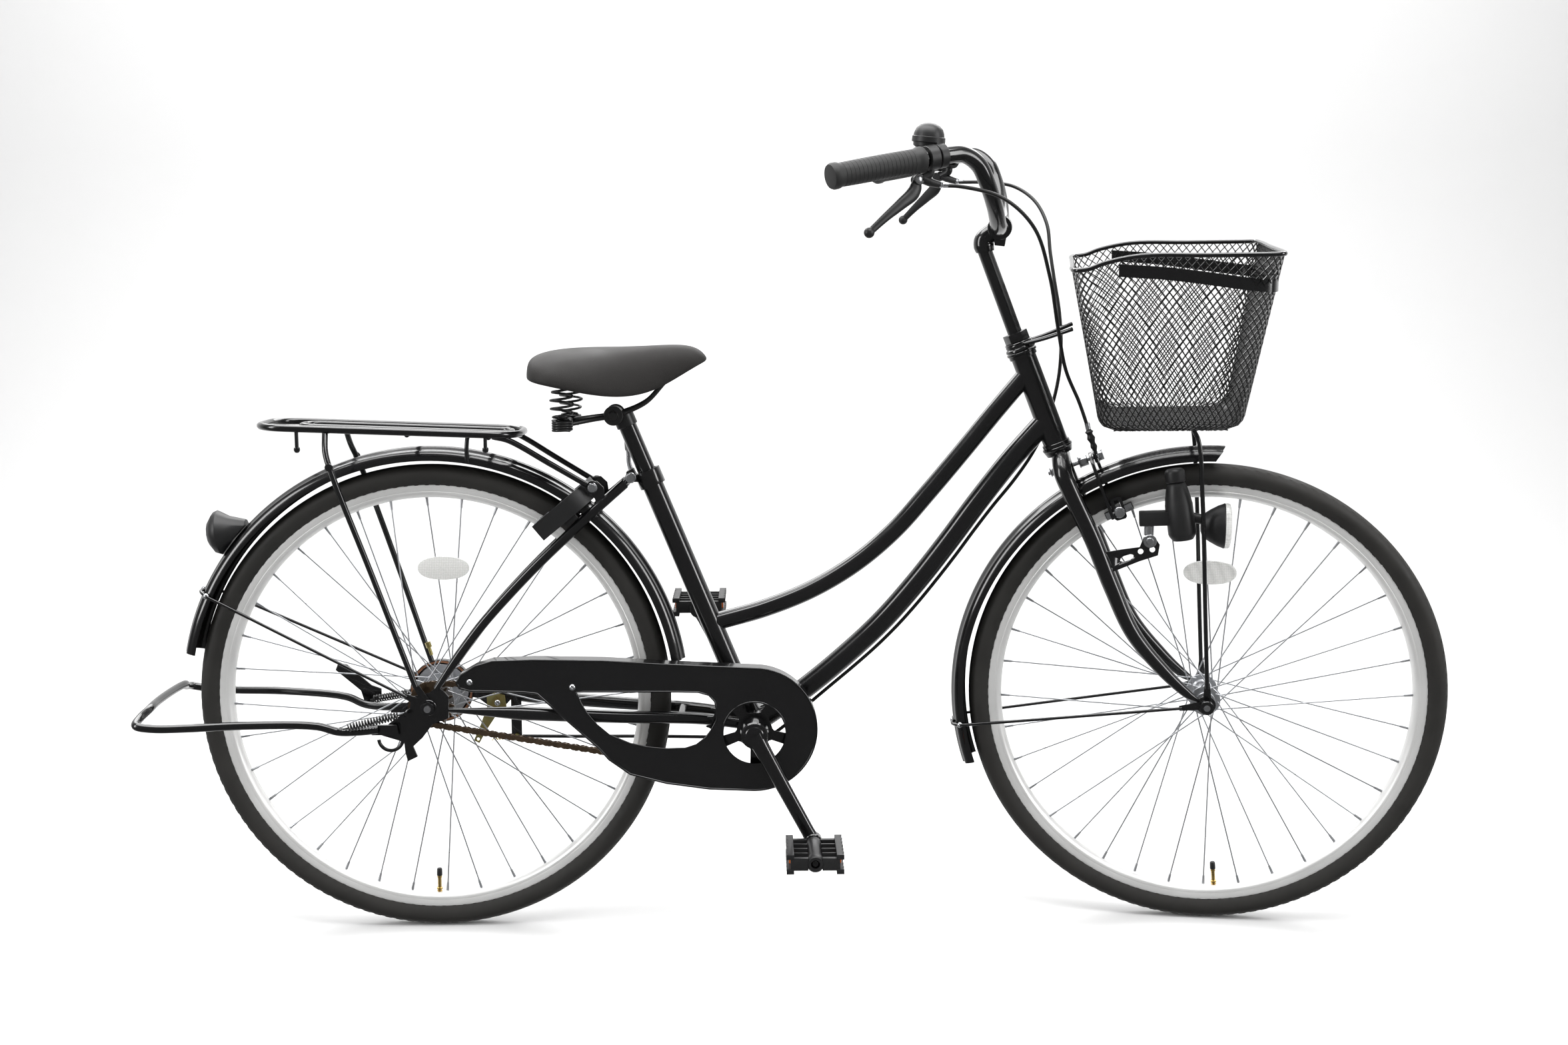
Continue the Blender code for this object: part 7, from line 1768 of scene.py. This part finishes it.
# %% [markdown]
# ## Lamp, cables and small parts
# The dynamo stands beside the tyre with a knurled roller, and its arm carries an oval lamp with a clear lens.
# Lamp and lens are turned round and then squashed to the oval.

# %% Dynamo and lamp
ROLLER_FOOT, ROLLER_TOP = Vector((1.031, -0.0415, 0.64)), Vector((1.0282, -0.0408, 0.658))
DYNAMO_AXIS = (ROLLER_TOP - ROLLER_FOOT).normalized()
lamp_place = Matrix.Translation((0, -0.038, 0)) @ Matrix.Scale(0.72, 4, (0, 1, 0))
bottle = turned(mm([(0, 0), (11, 0), (12, -1), (14, -6), (17.2, -20), (18.2, -28), (18.8, -30), (19, -70),
    (18, -73.5), (14, -79.5), (0, -80)]), ROLLER_FOOT - DYNAMO_AXIS * 0.0004, DYNAMO_AXIS)
shell = turned(mm([(0, -33), (8, -32.7), (16, -29.8), (22.5, -20), (28, -10), (30.6, -3), (31.5, -1.5),
    (30.6, -0.5), (0, -0.5)]), (1.099, 0, 0.58), (1, 0, 0), 56)
shell.data.transform(lamp_place)
arm_bits = [plate([(0.9838, 0.5795), (1.0262, 0.5817), (1.0252, 0.6006), (0.9828, 0.5984)], 0.02, -0.044,
    edge=0.0014), wire(mm([(1030, -40, 593), (1050, -39, 592), (1079, -38, 586)]), 0.007, 20)]
settle([soften(bottle, 30), soften(shell, 30), *arm_bits], "dynamo_lamp_moulded", moulded_plastic, "dynamo",
    ["dynamo_lamp"])
lens = turned(mm([(0, 8.9), (15, 8.6), (24, 7.9), (30, 6.2), (31.2, 4), (31.2, -0.4), (0, -0.4)]),
    (1.099, 0, 0.58), (1, 0, 0), 56)
lens.data.transform(lamp_place)
settle(soften(lens, 50), "dynamo_lamp_lens", clear_prisms, "dynamo")
hinge = [rod((0.997, -0.044, 0.585), (0.997, -0.044, 0.5665), 0.0068, 28),
    *hex_nut((0.997, -0.044, 0.57), (0, 0, 1), 0.0062, 0.004)]
settle(hinge, "dynamo_hinge", bright_zinc, "dynamo")
knurl = turned(mm([(0, 18.2), (10.5, 18.2), (12.8, 16), (13.5, 14), (13.5, 1.2), (12.5, 0.2), (0, 0.2)]),
    ROLLER_FOOT, DYNAMO_AXIS)
settle(soften(knurl, 30), "dynamo_roller_turned", moulded_plastic, "dynamo_roller_body", ["dynamo_roller"])

# %% [markdown]
# The basket stands on two wires whose eyes sit on the front axle, outside the fork. The axle's nuts are the
# last thing on it.

# %% Basket stays and axle
stays = []
for side in (-1, 1):
    stays += [wire(mm([(1081.8, side * 59, 355), (1076, side * 60, 450), (1066, side * 61, 620),
        (1058, side * 60, 700), (1052, side * 56, 712.5)]), 0.003, 16),
        plate(eye(FRONT_AXLE, 90, 0.033), 0.002, side * 0.0575, [(FRONT_AXLE.x, FRONT_AXLE.z, 0.0056)]),
        collar(FRONT_AXLE + sideways(side * 0.0587), FRONT_AXLE + sideways(side * 0.0695), 0.0098)]
stays.append(rod((1.052, -0.056, 0.7125), (1.052, 0.056, 0.7125), 0.003, 16))
settle(stays, "basket_stays_bent", black_enamel, "steering", ["basket_stays"])
axle_bits = [rod(FRONT_AXLE - sideways(0.07), FRONT_AXLE + sideways(0.07), 0.0045, 24)]
for side in (-1, 1):
    axle_bits += hex_nut(FRONT_AXLE + sideways(side * 0.038), (0, side, 0), 0.0078, 0.011)
settle(axle_bits, "front_axle_bolts", bright_zinc, "steering", ["front_axle"])

# %% [markdown]
# The cables are long smooth curves. The front one stays on the steering. The rear one leaves the left lever,
# comes down behind the basket and follows the down tube. Its first half is drawn turned with the steering, the
# rest isn't, and it hangs on no body.

# %% Cables
front = mm([(720.4, -185.7, 1040.2), (742, -179, 1039), (795, -156, 1024), (835, -125, 985), (856, -88, 920),
    (868, -56, 850), (880, -35, 790), (899, -24, 745), (913, -24, 706)])
boot = wire(mm([(912.2, -24, 709), (913.8, -24, 703), (919, -24, 688), (923.6, -24, 674)]), 0.006, 20,
    radii=[0.5, 0.6, 1.0, 0.6, 0.95, 0.55, 0.8, 0.45, 0.4])
settle([wire(front, 0.0025, 14), boot], "front_brake_cable_curve", cable_cover, "steering",
    ["front_brake_cable"])
free = [STEERED @ Vector(point)
    for point in ((0.7204, 0.1857, 1.0402), (0.742, 0.179, 1.04), (0.798, 0.156, 1.035), (0.842, 0.122, 1.0))]
free += [Vector(point) for point in ((0.87, 0.07, 0.93), (0.88, 0.05, 0.85), (0.878, 0.04, 0.78),
    (0.856, 0.03, 0.7))]
down = through(DOWN_TUBE, 4)
under = []
for before, point, after in zip(down, down[1:], down[2:]):
    along = (after - before).normalized()
    under.append(point + Vector((-along.z, 0, along.x)) * 0.0215 + sideways(0.006))
tail = mm([(460, 25, 260), (415, 38, 259), (300, 44, 260), (180, 43, 261), (113.7, 42.4, 262)])
rear_cable = settle(wire(even(free + under[6::5] + tail, 34), 0.0025, 14), "rear_brake_cable_curve",
    cable_cover, None, ["rear_brake_cable"])
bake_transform(rear_cable)

# %% [markdown]
# ## The rest of the frame's pieces
# The tail reflector is a plain moulded cup, so a dressed copy of the frame's piece is enough for it.

# %% Dress what is left
dressed("tail_reflector", moulded_plastic, "frame")
print("nodes still bare:", sum(not node.hide_render for node in frame["nodes"].values()))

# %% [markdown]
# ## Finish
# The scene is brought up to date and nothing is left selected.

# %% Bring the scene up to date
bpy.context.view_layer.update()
clear()
